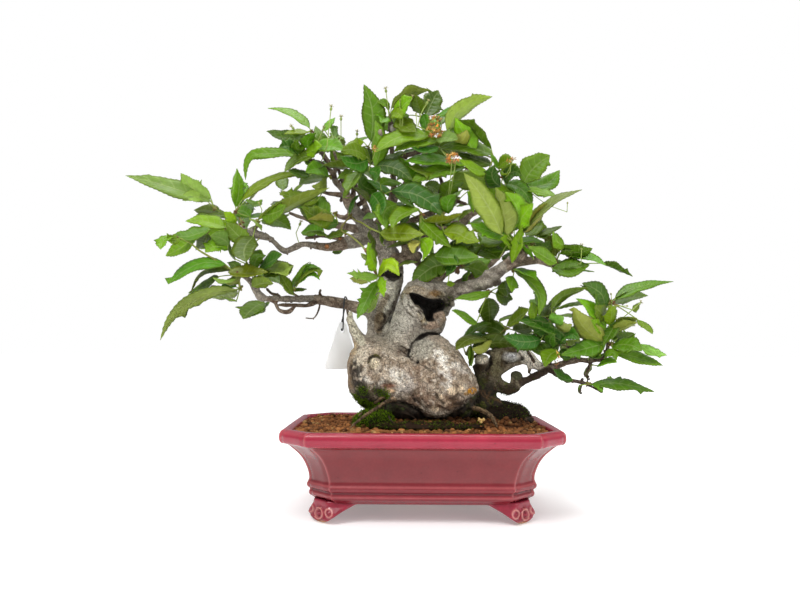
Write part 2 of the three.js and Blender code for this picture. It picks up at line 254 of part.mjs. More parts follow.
    [[49.7,4,374], 23.6, [0.12,-0.63,0.77], [[34,2.2,373.5],[17.5,-1.8,373.1],[1.1,-5.2,372.9],[-15.2,-8,372.9]]],
    [[49.7,4,374], 21.1, [0.12,-0.64,0.75], [[6.1,5.6,394.8],[20.7,8.1,392.9],[35.7,11.2,394.1],[50.7,14.7,395.2]]],
  ],
  leaf_cluster_20: [
    [[-42.3,-14,339.3], 24, [-0.61,-0.72,0.34], [[-53,-18.2,340.5],[-47.9,-26.7,332.1],[-43.6,-34.7,322.9],[-40.2,-42.2,313]]],
    [[-42.3,-14,339.3], 24.5, [-0.04,-0.94,0.35], [[-33.6,-16.3,343.2],[-13.5,-21.2,336.4],[5.1,-25.1,326.3],[22.4,-27.8,313.8]]],
    [[-42.3,-14,339.3], 17.1, [0.28,0.20,0.94], [[-45.5,-18.1,350.4],[-37.1,-25.6,347.4],[-29.1,-33.2,346.3],[-22.6,-41,348.3]]],
    [[-42.3,-14,339.3], 21.7, [0.61,-0.70,0.36], [[-28,-18.9,329.5],[-35.5,-28.6,320.7],[-39.1,-37.8,309.1],[-39.9,-46.4,296.5]]],
  ],
  leaf_cluster_21: [
    [[-1,-24,316.6], 21.6, [-0.24,-0.59,0.77], [[-3.3,-27.8,320.2],[-16.6,-35.3,318.5],[-26.6,-42.4,310.5],[-29.5,-48.9,296.1]]],
    [[-1,-24,316.6], 21.9, [0.43,-0.72,0.55], [[-1.1,-25.7,313.1],[9.6,-29.5,301.9],[19.4,-32.6,290],[28.3,-35.2,277.4]]],
    [[-1,-24,316.6], 20.4, [-0.04,0.30,0.95], [[2.1,-26.1,308.7],[15.6,-29,312.6],[29.3,-32.1,313.6],[43,-35.5,313]]],
    [[-1,-24,316.6], 15.5, [-0.15,0.49,0.86], [[26.6,-27.7,317.1],[30,-34.6,322.2],[33.4,-41.6,326.8],[36.7,-48.9,330.9]]],
  ],
  leaf_cluster_22: [
    [[16.4,8,343.1], 19.5, [-0.14,0.47,0.87], [[27.4,3.5,337.7],[32.7,-4.8,343.9],[37.9,-13.4,349.3],[43.1,-22.3,354.1]]],
    [[16.4,8,343.1], 14.2, [-0.23,0.38,0.90], [[4.2,11.5,357.5],[10.5,18.3,357.3],[16.8,24.8,356.1],[23.3,31.2,354.1]]],
    [[16.4,8,343.1], 13, [-0.48,0.55,0.68], [[31.3,12.9,342],[32.7,18.4,339.5],[34.2,23.7,336.8],[35.8,28.9,333.8]]],
  ],
  leaf_cluster_23: [
    [[-45.8,-30,296], 22.6, [-0.09,-0.79,0.61], [[-44.6,-31.7,294.7],[-29,-35.7,294.2],[-13.5,-38.9,292.3],[1.8,-41.5,289]]],
    [[-45.8,-30,296], 16.6, [-0.71,-0.55,0.43], [[-0.1,-34,288.1],[1,-41.8,279.6],[1.3,-49.3,270.9],[1.5,-56.4,262]]],
    [[-45.8,-30,296], 11.6, [-0.05,-0.62,0.78], [[-2.2,-33,286.1],[-5.5,-38.8,281.7],[-8.7,-44.4,277.1],[-11.8,-49.7,272.1]]],
  ],
  leaf_cluster_24: [
    [[-47.2,-38,248.2], 20.7, [-0.89,0.41,0.19], [[-48.1,-42.8,254],[-51.9,-51.5,262.6],[-54.3,-60.5,271.1],[-55.2,-69.9,279.4]]],
    [[-47.2,-38,248.2], 21.6, [-0.33,-0.38,0.86], [[-45,-41.7,246.8],[-40.3,-49.1,259],[-30,-56.2,258.7],[-23.4,-62.9,245.9]]],
    [[-47.2,-38,248.2], 21.6, [0.54,-0.57,0.62], [[-46,-42.8,246.7],[-55.5,-52.2,249.9],[-65.6,-61.2,250.6],[-76,-69.9,248]]],
    [[-47.2,-38,248.2], 16, [-0.76,-0.57,0.33], [[-46,-41.8,245.8],[-41.2,-49.4,239.8],[-38.4,-56.7,232.4],[-39,-63.6,224.5]]],
    [[-47.2,-38,248.2], 22, [-0.25,-0.91,0.32], [[-48.2,-39.7,243.9],[-56.4,-43.6,231.1],[-62.3,-46.8,217.2],[-67,-49.2,202.7]]],
    [[-47.2,-38,248.2], 14, [0.27,0.40,0.88], [[-52.4,-41.4,257.3],[-56.9,-47.7,261],[-60.8,-54.2,264.8],[-62.7,-60.9,269.4]]],
  ],
  leaf_cluster_25: [
    [[30,-26,264.7], 24.8, [-0.30,-0.94,0.13], [[30.1,-24.2,263.9],[14.1,-21.7,260.6],[0.7,-18.3,251.6],[-11.4,-14,241]]],
    [[30,-26,264.7], 23.6, [-0.07,-0.51,0.86], [[12.9,-27.8,270.9],[28.4,-31.7,275],[44.2,-35.1,273.7],[59.6,-38,268.7]]],
    [[30,-26,264.7], 21.6, [0.14,-0.43,0.89], [[27,-22,279.2],[40,-15.5,283.7],[53.4,-8.7,284.8],[66.9,-1.5,283.3]]],
    [[30,-26,264.7], 21.2, [0.17,-0.55,0.82], [[22.4,-27.6,298.8],[36.7,-31.1,301.6],[49.3,-34.2,294.2],[60.8,-36.8,284.7]]],
    [[30,-26,264.7], 20.4, [0.27,-0.45,0.85], [[33.5,-21.3,288],[43.9,-12.7,293.7],[54.9,-3.8,294.8],[65.4,5.4,292.1]]],
    [[30,-26,264.7], 6.8, [-0.50,-0.71,0.49], [[27.8,-27.3,244.3],[30,-29.9,243.1],[32.3,-32.4,241.8],[34.7,-34.7,240.5]]],
  ],
  leaf_cluster_26: [
    [[45.6,8,264.3], 21.6, [0.08,-0.56,0.83], [[48.2,12.7,261.5],[57.8,21.1,270.8],[69.2,29.9,276.6],[81.9,39.2,276.2]]],
    [[45.6,8,264.3], 16.6, [-0.66,-0.32,0.68], [[53.4,-4.1,260.8],[47,-6.3,255.9],[43.7,-8.2,248.7],[43,-10,240.4]]],
    [[45.6,8,264.3], 21.6, [0.59,-0.53,0.61], [[52.4,9.3,262.3],[65.8,14,259.4],[77.4,19.1,252.9],[87.9,24.7,244.7]]],
    [[45.6,8,264.3], 11.8, [0.14,0.59,0.80], [[64.8,10.3,255.7],[62.8,16.3,252.4],[60.8,22.1,248.8],[58.7,27.7,244.8]]],
    [[45.6,8,264.3], 10, [0.32,-0.63,0.70], [[39.1,10,267.9],[44.3,13.5,271.5],[50.2,17.3,272],[55.8,21.3,270.4]]],
  ],
  leaf_cluster_27: [
    [[98.1,-40,282.3], 30.9, [-0.22,0.97,0.10], [[84.1,-42.8,292.3],[70.8,-46.7,313.4],[57.5,-52,333.9],[44.2,-58.5,353.7]]],
    [[98.1,-40,282.3], 24.5, [0.81,0.47,0.36], [[87.4,-41.9,290.4],[82.3,-45.1,306.6],[77.4,-48.7,322.7],[72.5,-52.8,338.5]]],
    [[98.1,-40,282.3], 22.1, [0.36,0.73,0.58], [[95.5,-43.6,298.5],[94.5,-49.8,310.9],[90.1,-56.6,322.1],[83.2,-64,331.9]]],
    [[98.1,-40,282.3], 20.5, [0.93,0.37,0.09], [[99.4,-44.7,298.3],[105.3,-53.5,304.3],[108.6,-62.4,311.2],[108.1,-71.6,319.1]]],
    [[98.1,-40,282.3], 24.5, [-0.60,-0.41,0.69], [[98.6,-43.1,290.2],[115.5,-49.6,311.5],[137,-55.6,326.6],[162.1,-60.9,335.4]]],
    [[98.1,-40,282.3], 20.4, [-0.64,0.37,0.68], [[104.1,-41.6,294.7],[112,-44.2,305.7],[120.7,-47.2,315.8],[130.6,-50.4,324.6]]],
    [[92.9,-26,286.4], 20.8, [0.41,-0.66,0.62], [[90.5,-27.6,290.5],[79.1,-31.1,299.2],[65.9,-34.1,304.9],[51.4,-36.6,307]]],
    [[92.9,-26,286.4], 21.3, [-0.10,-0.44,0.89], [[90.4,-21.1,288.2],[81.2,-12.2,292.2],[71.8,-3,295.7],[62.2,6.6,299]]],
    [[92.9,-26,286.4], 10.9, [0.15,-0.64,0.75], [[91.1,-23.9,296.4],[88.3,-20.1,302.6],[84.5,-16.1,307.6],[78.8,-11.8,309.3]]],
    [[92.9,-26,286.4], 21.1, [-0.36,-0.58,0.73], [[94.7,-21,278.5],[85.4,-11.7,281.9],[76.1,-2.1,284.6],[66.8,8,286.9]]],
    [[92.9,-26,286.4], 21, [-0.03,-0.44,0.90], [[83.9,-21.2,270.9],[75.1,-12.4,275.6],[65.9,-3.2,279.7],[56.6,6.2,283.2]]],
    [[92.9,-26,286.4], 13.2, [0.75,-0.63,0.20], [[96.6,-29.3,277.4],[91.1,-35.8,279.8],[85.3,-41.9,282.1],[79.2,-47.8,284.2]]],
    [[92.9,-26,286.4], 11.9, [0.43,-0.64,0.63], [[96.6,-23,299.8],[96.3,-17.6,306.2],[95.7,-11.9,312.3],[95,-5.9,318.2]]],
  ],
  leaf_cluster_28: [
    [[87.3,-22,356.5], 17.4, [-0.47,0.66,0.59], [[82.4,-26.1,345.7],[77.5,-33.5,351.7],[73.9,-41.3,357.6],[72,-49.5,363.4]]],
    [[87.3,-22,356.5], 15.4, [-0.83,-0.47,0.28], [[90,-25.7,348],[93,-33,352.2],[97.3,-40,355],[103.5,-46.8,352.6]]],
    [[87.3,-22,356.5], 19.7, [0.16,-0.89,0.43], [[89.2,-23.5,351.8],[101.9,-27,347.1],[111.1,-29.9,337.2],[116.5,-32,324.1]]],
    [[87.3,-22,356.5], 14.1, [-0.79,-0.42,0.45], [[81.5,-25.5,367.6],[84.5,-32.2,370.9],[89.1,-38.7,372.3],[94.5,-45,372.1]]],
    [[87.3,-22,356.5], 12.2, [-0.57,-0.56,0.60], [[83.8,-24.3,364.6],[89.8,-28.9,362.4],[95.1,-33.3,364.5],[99.9,-37.4,367.7]]],
  ],
  leaf_cluster_29: [
    [[109.8,-16,349.2], 30.8, [-0.36,-0.93,0.05], [[109.6,-17.6,351],[116,-21.3,363.2],[125.6,-24.4,372.8],[137.1,-26.7,380.5]]],
    [[109.8,-16,349.2], 20.6, [-0.09,-0.81,0.58], [[112.3,-14.4,348.5],[126.8,-12.1,352.8],[140.8,-9.2,358.9],[153.6,-5.5,367.4]]],
    [[109.8,-16,349.2], 21.6, [-0.01,-0.50,0.87], [[112.3,-20.4,344.9],[122.4,-29,341.7],[132,-37.3,337],[141.1,-45.2,331]]],
    [[109.8,-16,349.2], 11, [-0.77,0.57,0.28], [[112.5,-13.2,344.4],[114.9,-7.6,341.3],[117.7,-2.3,338],[120.8,2.9,334.5]]],
  ],
  leaf_cluster_30: [
    [[117.8,-24,284.7], 16, [-0.18,-0.42,0.89], [[124.8,-21.1,293.8],[133.3,-16,301.1],[143.5,-10.6,305.4],[154.3,-5,307.5]]],
    [[117.8,-24,284.7], 14, [-0.54,-0.38,0.75], [[112.9,-21.4,293.7],[118.1,-16.8,301.8],[124.4,-11.9,309],[132.1,-6.9,314.8]]],
    [[117.8,-24,284.7], 11.5, [0.32,-0.67,0.67], [[119.5,-21.1,298.1],[125.3,-15.8,301.1],[131.2,-10.3,303.9],[136.9,-4.5,306.4]]],
    [[117.8,-24,284.7], 17.8, [-0.87,-0.46,0.19], [[144.2,-19.8,272.4],[142.8,-12.2,281.8],[140.4,-4.3,290.7],[137.5,4,298.9]]],
    [[117.8,-24,284.7], 15.2, [-0.75,0.65,0.11], [[151,-27.7,281.1],[146.5,-34.3,286.6],[141.1,-41.2,291.2],[135,-48.5,294.7]]],
    [[117.8,-24,284.7], 12.6, [0.08,-0.59,0.80], [[122.6,-20.9,283],[129.2,-15.2,286],[135.3,-9.3,289.7],[140.4,-3,294.5]]],
    [[117.8,-24,284.7], 13, [0.12,-0.55,0.83], [[111.9,-20.8,278.6],[118.2,-15,282.6],[124.8,-8.9,285.9],[131.7,-2.5,287.8]]],
  ],
  leaf_cluster_31: [
    [[144.1,-20,265.9], 19.5, [0.15,0.15,0.98], [[147.8,-23.3,279.5],[157.9,-29.5,279.2],[167.8,-35.9,278.7],[177.4,-42.3,277.7]]],
    [[144.1,-20,265.9], 21.6, [0.01,-0.58,0.81], [[160.4,-23.7,273.1],[171.6,-31,273.7],[181.4,-37.9,268.4],[188.4,-44.4,258]]],
    [[144.1,-20,265.9], 19.4, [0.63,0.04,0.78], [[193.5,-23.3,264.6],[203.3,-29.6,262],[211.1,-35.9,255.7],[216.9,-42.2,246.9]]],
    [[144.1,-20,265.9], 19.7, [-0.18,-0.39,0.90], [[137.7,-29.8,257.3],[150.3,-32.7,258.3],[162.9,-35.2,259.6],[175.5,-37.4,261.1]]],
    [[144.1,-20,265.9], 22, [0.06,0.13,0.99], [[139.4,-21.7,256],[153.8,-24.8,255.6],[168.1,-27.9,255.3],[182.1,-31.2,254.6]]],
    [[144.1,-20,265.9], 5.1, [0.35,0.45,0.82], [[145.4,-18.8,256.3],[147.1,-16.4,254.6],[148.6,-14,252.6],[150.2,-11.8,250.6]]],
    [[144.1,-20,265.9], 14.3, [0.29,-0.49,0.82], [[138.4,-16.5,266.3],[146.5,-10.2,269.1],[154.6,-3.6,270.6],[162.6,3.3,269.9]]],
    [[144.1,-20,265.9], 13.5, [0.61,-0.64,0.47], [[127.7,-16.7,274.9],[134.6,-10.7,273],[141.8,-4.4,272.1],[149.1,2.2,273]]],
  ],
  leaf_cluster_32: [
    [[98.4,-24,256.7], 20.7, [0.02,-0.45,0.89], [[97.5,-29.6,257.1],[106.1,-39.1,257.6],[112.8,-48.4,251.9],[117.5,-57.2,243]]],
    [[98.4,-24,256.7], 24.5, [0.56,-0.67,0.49], [[98.1,-26.2,254.3],[114.6,-31.1,243.5],[125.4,-35.3,227.6],[124,-38.8,207.1]]],
    [[98.4,-24,256.7], 13.5, [0.76,-0.50,0.41], [[95.7,-27.3,248.8],[98.6,-33.9,243.5],[97.2,-40.1,237.3],[92.7,-46.2,231.4]]],
    [[98.4,-24,256.7], 16.9, [0.74,-0.66,0.11], [[81.8,-20.2,236.5],[89.7,-13.5,241.2],[97.3,-6.3,241.4],[101.3,1.2,235]]],
    [[98.4,-24,256.7], 16, [0.64,-0.46,0.62], [[80.7,-20.2,232.2],[84.7,-13.2,225.9],[92.9,-5.9,225.3],[101.3,1.6,227.3]]],
    [[98.4,-24,256.7], 12.3, [-0.16,-0.46,0.88], [[90.4,-20.9,263.4],[94.9,-15.3,268.6],[100.1,-9.4,272.8],[106.2,-3.4,275.5]]],
  ],
  leaf_cluster_33: [
    [[73.2,-12,233.9], 21.6, [-0.05,-0.35,0.94], [[71,-29.7,233.6],[58.2,-38.8,230.1],[45.6,-47.7,226.6],[33.1,-56.3,223.3]]],
    [[73.2,-12,233.9], 21.8, [-0.20,0.73,0.65], [[73.8,-7.2,227.7],[74.9,2.3,218.4],[75.2,11.4,208.4],[74.8,19.8,197.8]]],
    [[73.2,-12,233.9], 20.8, [0.63,-0.35,0.70], [[60.7,-16.8,202.2],[51.1,-26.1,206.5],[41.5,-35.1,210.7],[32,-43.9,214.7]]],
  ],
  leaf_cluster_34: [
    [[92.9,-2,194.1], 21.1, [-0.86,-0.29,0.43], [[94.4,-6.9,197.3],[97.7,-15.3,206.2],[104,-23.6,212.3],[112.8,-31.8,214.7]]],
    [[92.9,-2,194.1], 21.6, [-0.30,-0.61,0.73], [[92.4,2.2,189.8],[81.1,9.6,191.9],[69.8,17.5,193.8],[58.5,25.8,195.6]]],
    [[92.9,-2,194.1], 21.6, [-0.13,-0.35,0.93], [[69.7,-13.2,185.1],[56.8,-24.5,183.3],[45.1,-35.5,178.6],[34.9,-46.2,171.4]]],
    [[92.9,-2,194.1], 17, [-0.72,0.44,0.54], [[77.1,-6,182],[69.2,-13.4,177.6],[61.7,-21.1,173.5],[54.1,-29,170.2]]],
    [[92.9,-2,194.1], 10.5, [0.81,0.53,0.27], [[86.7,0.6,184.2],[84.7,5.8,181.4],[82.4,10.8,178.4],[79.8,15.6,175.4]]],
    [[92.9,-2,194.1], 10.3, [-0.22,-0.33,0.92], [[86.7,0,201.8],[91.9,3.8,205.7],[97.7,7.6,208.3],[103.9,11.6,210]]],
  ],
  leaf_cluster_35: [
    [[131.8,-20,189.7], 19.8, [0.21,-0.91,0.36], [[127.2,-21.5,181.1],[113.5,-25.1,183.7],[99.6,-27.9,184.6],[85.6,-30.1,184]]],
    [[131.8,-20,189.7], 23.1, [0.29,-0.52,0.80], [[146.4,-21.8,189.7],[133.2,-25.6,199.7],[117.6,-28.9,203.3],[101.2,-31.8,199.9]]],
    [[131.8,-20,189.7], 11.5, [-0.77,0.61,0.19], [[119.7,-22.6,203.4],[117.5,-27,209.7],[115.6,-31.6,215.8],[114.1,-36.5,221.8]]],
    [[131.8,-20,189.7], 19.8, [0.66,-0.49,0.57], [[128.6,-15.4,206.9],[127,-7.1,216.6],[124.9,1.6,226.2],[122.8,10.6,235.8]]],
    [[131.8,-20,189.7], 18.2, [-0.05,-0.62,0.78], [[142.6,-23.9,172.7],[136.3,-31.5,167.4],[131,-38.9,161.2],[126.3,-45.8,154.4]]],
    [[131.8,-20,189.7], 13.6, [0.51,0.52,0.69], [[139.6,-23,174.8],[140.2,-28.4,179.9],[139.4,-34.1,184.9],[137.1,-40,189.4]]],
    [[131.8,-20,189.7], 15.3, [0.18,-0.37,0.91], [[98.3,-16.3,192.8],[106,-9.5,196.8],[114.2,-2.5,198],[122.6,4.7,196.6]]],
    [[131.8,-20,189.7], 9.1, [0.87,0.39,0.31], [[127.9,-18,177.9],[127.1,-14.1,176.2],[126,-10.2,174.4],[124.7,-6.5,172.4]]],
    [[139,-22,208.9], 22.9, [-0.36,0.41,0.84], [[136.6,-23.8,216.2],[146.3,-26.8,228.3],[160,-30.2,234],[174.4,-34,237.4]]],
    [[139,-22,208.9], 21.4, [-0.20,0.20,0.96], [[144.1,-18.4,217.6],[158.4,-11.4,220.6],[173.1,-4.6,222.2],[188.3,2,222.7]]],
    [[139,-22,208.9], 13.6, [-0.02,-0.63,0.78], [[140.6,-19.5,205.7],[140.6,-15,209.8],[140.5,-10.4,213.6],[140.4,-5.5,217.2]]],
    [[139,-22,208.9], 12.4, [0.44,0.31,0.84], [[135.1,-25.1,205.5],[139.2,-30.9,207.4],[143.2,-36.8,207.4],[146.9,-42.8,206]]],
    [[139,-22,208.9], 11.7, [0.49,0.36,0.79], [[141.7,-24.2,202.4],[146.2,-28.3,198.7],[151.5,-32.6,197.4],[156.6,-37,198.9]]],
    [[139,-22,208.9], 6.6, [0.37,0.59,0.72], [[147.1,-23.5,191.8],[149.7,-26.1,193],[152.2,-28.9,194],[154.6,-31.9,194.9]]],
    [[139,-22,208.9], 11.3, [-0.73,-0.18,0.66], [[127.7,-19.8,207.8],[132.7,-15.8,213],[137.3,-11.6,218.4],[140.1,-7.4,224.7]]],
  ],
  leaf_cluster_36: [
    [[157,-8,177], 18.4, [-0.78,-0.23,0.59], [[149.5,-12.3,174.8],[152,-20.6,182.5],[157.8,-28.8,185.8],[164.8,-36.9,185.4]]],
    [[157,-8,177], 16.1, [-0.04,-0.30,0.95], [[154.3,4.4,172.5],[162.3,10.9,177.3],[171,17.6,180.4],[180.4,24.4,180.3]]],
    [[157,-8,177], 20.3, [-0.49,-0.41,0.77], [[186.5,-3.3,189.1],[180.4,5.3,195.5],[173,14.1,196.3],[166.7,23.3,190.4]]],
    [[157,-8,177], 12.2, [0.40,0.56,0.72], [[186,-4.9,185.8],[182.7,1.1,184.2],[179.7,6.9,181.3],[177.3,12.5,177]]],
    [[157,-8,177], 11.6, [-0.30,-0.45,0.84], [[149.9,-10.2,170.5],[155.3,-14.6,170.9],[160.7,-18.8,170.7],[166.1,-22.8,169.6]]],
    [[157,-8,177], 21.5, [0.61,-0.38,0.69], [[139.8,-1,150.7],[152.4,7.8,147.3],[164,16.8,142.1],[174.8,26.2,135.1]]],
  ],
  leaf_cluster_37: [
    [[197.2,-22,184.6], 23.4, [0.65,0.16,0.75], [[193.5,-23.8,181.4],[182,-27,193.3],[170,-30.4,204.4],[157.4,-33.9,214.8]]],
    [[197.2,-22,184.6], 22.5, [0.63,-0.61,0.48], [[195.8,-23.7,193.1],[185.5,-27.5,205],[174.2,-30.8,216],[161.8,-33.5,225.8]]],
    [[197.2,-22,184.6], 15.8, [-0.19,0.71,0.68], [[200.5,-25.7,198.4],[198.5,-32.4,205.7],[195.9,-39.5,212.4],[192.3,-46.9,218.4]]],
    [[197.2,-22,184.6], 13, [0.71,-0.65,0.26], [[193.2,-25.2,193.1],[187.3,-31.7,196.5],[180.8,-37.8,199.2],[173.5,-43.5,200.9]]],
    [[197.2,-22,184.6], 14, [-0.76,0.61,0.19], [[192.2,-25.4,201.5],[186.3,-31.6,206.5],[181.6,-38.1,211.7],[180.6,-44.9,217.4]]],
    [[197.2,-22,184.6], 18.9, [0.01,0.40,0.91], [[203.4,-26.4,192],[208.5,-34.5,197.1],[213.8,-42.9,200.9],[219.3,-51.4,202.9]]],
    [[197.2,-22,184.6], 17.3, [0.06,0.35,0.94], [[206.7,-26.1,197.4],[210.1,-33.6,203.5],[214.8,-41.4,206.4],[220.1,-49.3,205.1]]],
    [[200.2,-26,178.3], 21.6, [-0.37,-0.43,0.82], [[199.8,-30.9,176.2],[207.1,-40.5,175.5],[214.3,-49.8,173.9],[221.5,-58.8,171.4]]],
    [[200.2,-26,178.3], 20.4, [0.29,-0.40,0.87], [[202.7,-21.3,181.5],[215.7,-12.7,183.3],[228.8,-3.8,183],[241.6,5.4,180.6]]],
    [[200.2,-26,178.3], 24.5, [0.12,-0.52,0.84], [[202.7,-28,169.9],[219.2,-32.3,168.3],[234.9,-36.1,163.5],[249.6,-39.4,156.4]]],
    [[200.2,-26,178.3], 13.8, [0.12,-0.37,0.92], [[207.7,-22.6,185.8],[216,-16.4,186.9],[224.2,-10,188.4],[232.2,-3.4,190.4]]],
    [[200.2,-26,178.3], 17.2, [0.20,-0.44,0.87], [[229.7,-29,178.5],[237.7,-35,177],[244,-40.7,171.9],[249.3,-46.2,165.3]]],
    [[200.2,-26,178.3], 15.7, [0.14,-0.50,0.85], [[226.7,-29.8,202.6],[230.7,-37.2,199.6],[233.5,-44.3,194.9],[235,-51.2,188.7]]],
    [[200.2,-26,178.3], 11.5, [-0.66,-0.36,0.66], [[191.8,-28.9,162.5],[194.6,-34.6,164.4],[197.7,-40.1,164.7],[199.3,-45.5,160.9]]],
    [[200.2,-26,178.3], 9.4, [0.66,-0.73,0.16], [[223.7,-23.5,214.5],[228.4,-19.1,217.3],[232.9,-14.4,220.1],[237.1,-9.4,222.8]]],
  ],
  leaf_cluster_38: [
    [[202.5,-20,222.1], 20.8, [0.48,-0.85,0.22], [[197.7,-21.6,215.6],[194.8,-25.2,229.8],[183.9,-28.1,238.7],[169.1,-30.3,242.5]]],
    [[202.5,-20,222.1], 24.5, [-0.18,-0.41,0.89], [[207.6,-17.5,226.5],[227.5,-13.3,241.6],[251.1,-8.6,247.8],[276.1,-3.3,247.1]]],
    [[202.5,-20,222.1], 21.6, [-0.33,0.40,0.85], [[204.7,-16.5,223.4],[219,-9.5,229.3],[234.3,-2.8,232.2],[250.5,3.4,231.8]]],
  ],
  leaf_cluster_39: [
    [[180.3,-16,135.5], 24.5, [0.08,-0.34,0.94], [[180.7,-18.6,136.7],[202.4,-23.9,140.9],[223,-28.8,136.8],[241.7,-33.3,126.5]]],
    [[180.3,-16,135.5], 10.1, [-0.07,-0.42,0.91], [[179.8,-18,133.5],[184.2,-21.9,134.4],[188.1,-25.7,132.5],[191.3,-29.4,129.1]]],
    [[180.3,-16,135.5], 6.4, [-0.64,0.68,0.36], [[169,-14.6,134.3],[169.8,-11.6,131],[170.8,-8.9,127.6],[172,-6.3,124.1]]],
    [[180.3,-16,135.5], 10.1, [-0.48,0.69,0.55], [[182.4,-13.2,155.7],[179.5,-9.3,151.3],[178.5,-5.5,146],[180.9,-2.1,140.1]]],
    [[180.3,-16,135.5], 15.6, [-0.65,-0.17,0.74], [[186.9,-19.8,154.8],[191.7,-27,156],[196.3,-34.1,158.6],[200.6,-41.1,161.8]]],
    [[180.3,-16,135.5], 10.3, [-0.76,-0.36,0.54], [[184.4,-18.1,169.7],[185.6,-22,169.1],[187,-25.9,168.5],[188.5,-29.7,167.8]]],
  ],
  leaf_cluster_40: [
    [[-161.8,92,339.3], 20.2, [-0.15,-0.06,0.99], [[-166.5,101.7,339.3],[-173,115.4,341.8],[-179.5,129,340.4],[-186,142.6,334.5]]],
    [[-165.7,96.7,348.5], 20.3, [-0.39,-0.19,0.90], [[-162.9,110.6,352.6],[-160.6,122.5,358.6],[-158,135,361.1],[-155.4,148.2,359.7]]],
    [[-165.7,96.7,348.5], 19.9, [-0.19,0.26,0.95], [[-154.8,104.5,348.6],[-140.4,114.9,351.7],[-126,125.2,350.3],[-111.5,135.6,343.5]]],
    [[-169.6,101.4,357.6], 22.3, [-0.35,-0.21,0.91], [[-174.8,115.2,358.8],[-180.8,131.1,363.1],[-186.9,147.1,363],[-193.1,163.5,357.6]]],
    [[-169.6,101.4,357.6], 18, [-0.45,-0.53,0.72], [[-161.1,105.6,366],[-152.4,109.8,378.4],[-142.3,114.7,387.3],[-130.3,120.5,392.1]]],
    [[-173.2,105.7,365.9], 17.9, [0.26,-0.62,0.74], [[-175.2,113,372.7],[-178,122.9,386.2],[-181.2,134.5,395.9],[-185,148.3,401.2]]],
    [[-173.2,105.7,365.9], 21.2, [-0.12,-0.20,0.97], [[-171.8,114.5,367.9],[-169.9,126.9,373.1],[-167.8,139.8,374.8],[-165.7,153.2,372.5]]],
    [[-173.2,105.7,365.9], 20, [0.13,-0.18,0.98], [[-161.6,102.4,363.8],[-145.7,97.8,363.7],[-130.1,93.4,359.5],[-115.1,89.1,350.4]]],
  ],
  leaf_cluster_41: [
    [[-210.5,52,312.4], 17.1, [-0.40,-0.07,0.91], [[-210.6,66.1,313.5],[-210.6,82.8,317.7],[-210.7,99.8,317.6],[-210.7,117,312.3]]],
    [[-213.9,58.1,320.9], 17.8, [0.40,-0.57,0.72], [[-213.7,68.6,329.1],[-213.5,79.3,341.1],[-213.2,91.4,349.5],[-212.9,105.6,353.6]]],
    [[-213.9,58.1,320.9], 21.4, [0.00,-0.05,1.00], [[-222.8,69.8,321.5],[-233,83.2,325.1],[-243.2,96.8,324.3],[-253.5,110.4,318.4]]],
    [[-217.3,64.1,329.4], 19.9, [0.17,-0.26,0.95], [[-208.4,73.7,330.5],[-196.6,86.5,335],[-184.6,99.5,335],[-172.5,112.6,329.5]]],
    [[-217.3,64.1,329.4], 21.7, [0.14,0.41,0.90], [[-227.4,66.3,330],[-244.7,70,334],[-262.1,73.7,333.5],[-279.7,77.5,327.5]]],
    [[-220.4,69.7,337.2], 21.2, [-0.35,0.10,0.93], [[-221.4,83.2,335.3],[-222.6,98.9,335.9],[-223.7,114.4,332.5],[-224.8,129.4,324.5]]],
    [[-220.4,69.7,337.2], 22.1, [0.23,-0.77,0.60], [[-222,77.8,348.3],[-223.5,85.1,364],[-225.3,94.5,376.2],[-227.8,106.7,384.4]]],
    [[-220.4,69.7,337.2], 22.3, [-0.64,-0.36,0.68], [[-212,72.5,346.4],[-203.8,75.4,360.1],[-193.9,78.8,370.3],[-181.7,83,376.5]]],
  ],
  leaf_cluster_42: [
    [[27.1,104,325.8], 20.9, [0.22,-0.02,0.98], [[27.8,118.8,325.9],[28.5,134.1,328.7],[29.2,149.5,327.6],[29.9,164.8,321.8]]],
    [[29.7,108.5,335.4], 20.6, [0.31,-0.47,0.82], [[29.3,121.3,342.9],[29,132,352.2],[28.6,143.8,358],[28.1,157,360]]],
    [[29.7,108.5,335.4], 20.2, [-0.36,0.18,0.92], [[38.3,118.8,336.8],[48.4,130.7,341.1],[58.6,142.8,341.4],[69,155.2,336.8]]],
    [[32.3,113.1,345.1], 21.6, [-0.08,0.10,0.99], [[22.3,120.9,343.5],[10.2,130.4,344.1],[-1.7,139.7,341],[-13.3,148.8,333.2]]],
    [[32.3,113.1,345.1], 22.2, [-0.64,-0.33,0.69], [[39.1,121.5,355.5],[44.6,128.3,367.8],[51.1,136.4,376.9],[58.9,146.1,382.1]]],
    [[34.7,117.2,353.9], 22, [-0.12,-0.73,0.67], [[31,125.2,362],[26.9,134.3,375.6],[22,145,385.4],[16.2,157.8,391]]],
    [[34.7,117.2,353.9], 21.1, [0.48,0.18,0.86], [[22.5,123.4,359.5],[9.4,130.1,368.7],[-4.6,137.2,373.8],[-19.8,144.9,373.7]]],
    [[34.7,117.2,353.9], 21.9, [0.00,-0.21,0.98], [[48.3,121.9,354.9],[64.2,127.5,359],[80.2,133.1,358.7],[96.5,138.7,353.3]]],
  ],
  leaf_cluster_43: [
    [[108.5,68,302.8], 19.7, [-0.18,-0.07,0.98], [[107.5,82.6,303.7],[106.4,99.3,307.5],[105.4,116.1,307],[104.3,133.1,301.3]]],
    [[110.5,72.6,312.7], 19.7, [-0.49,-0.08,0.87], [[115.6,84.3,316.6],[121.6,98.1,324.4],[127.9,112.6,327.9],[134.6,128,326.4]]],
    [[110.5,72.6,312.7], 18.1, [-0.12,-0.46,0.88], [[103,82.2,316.6],[94.3,93.3,324],[85.3,105,327.5],[75.6,117.4,326.3]]],
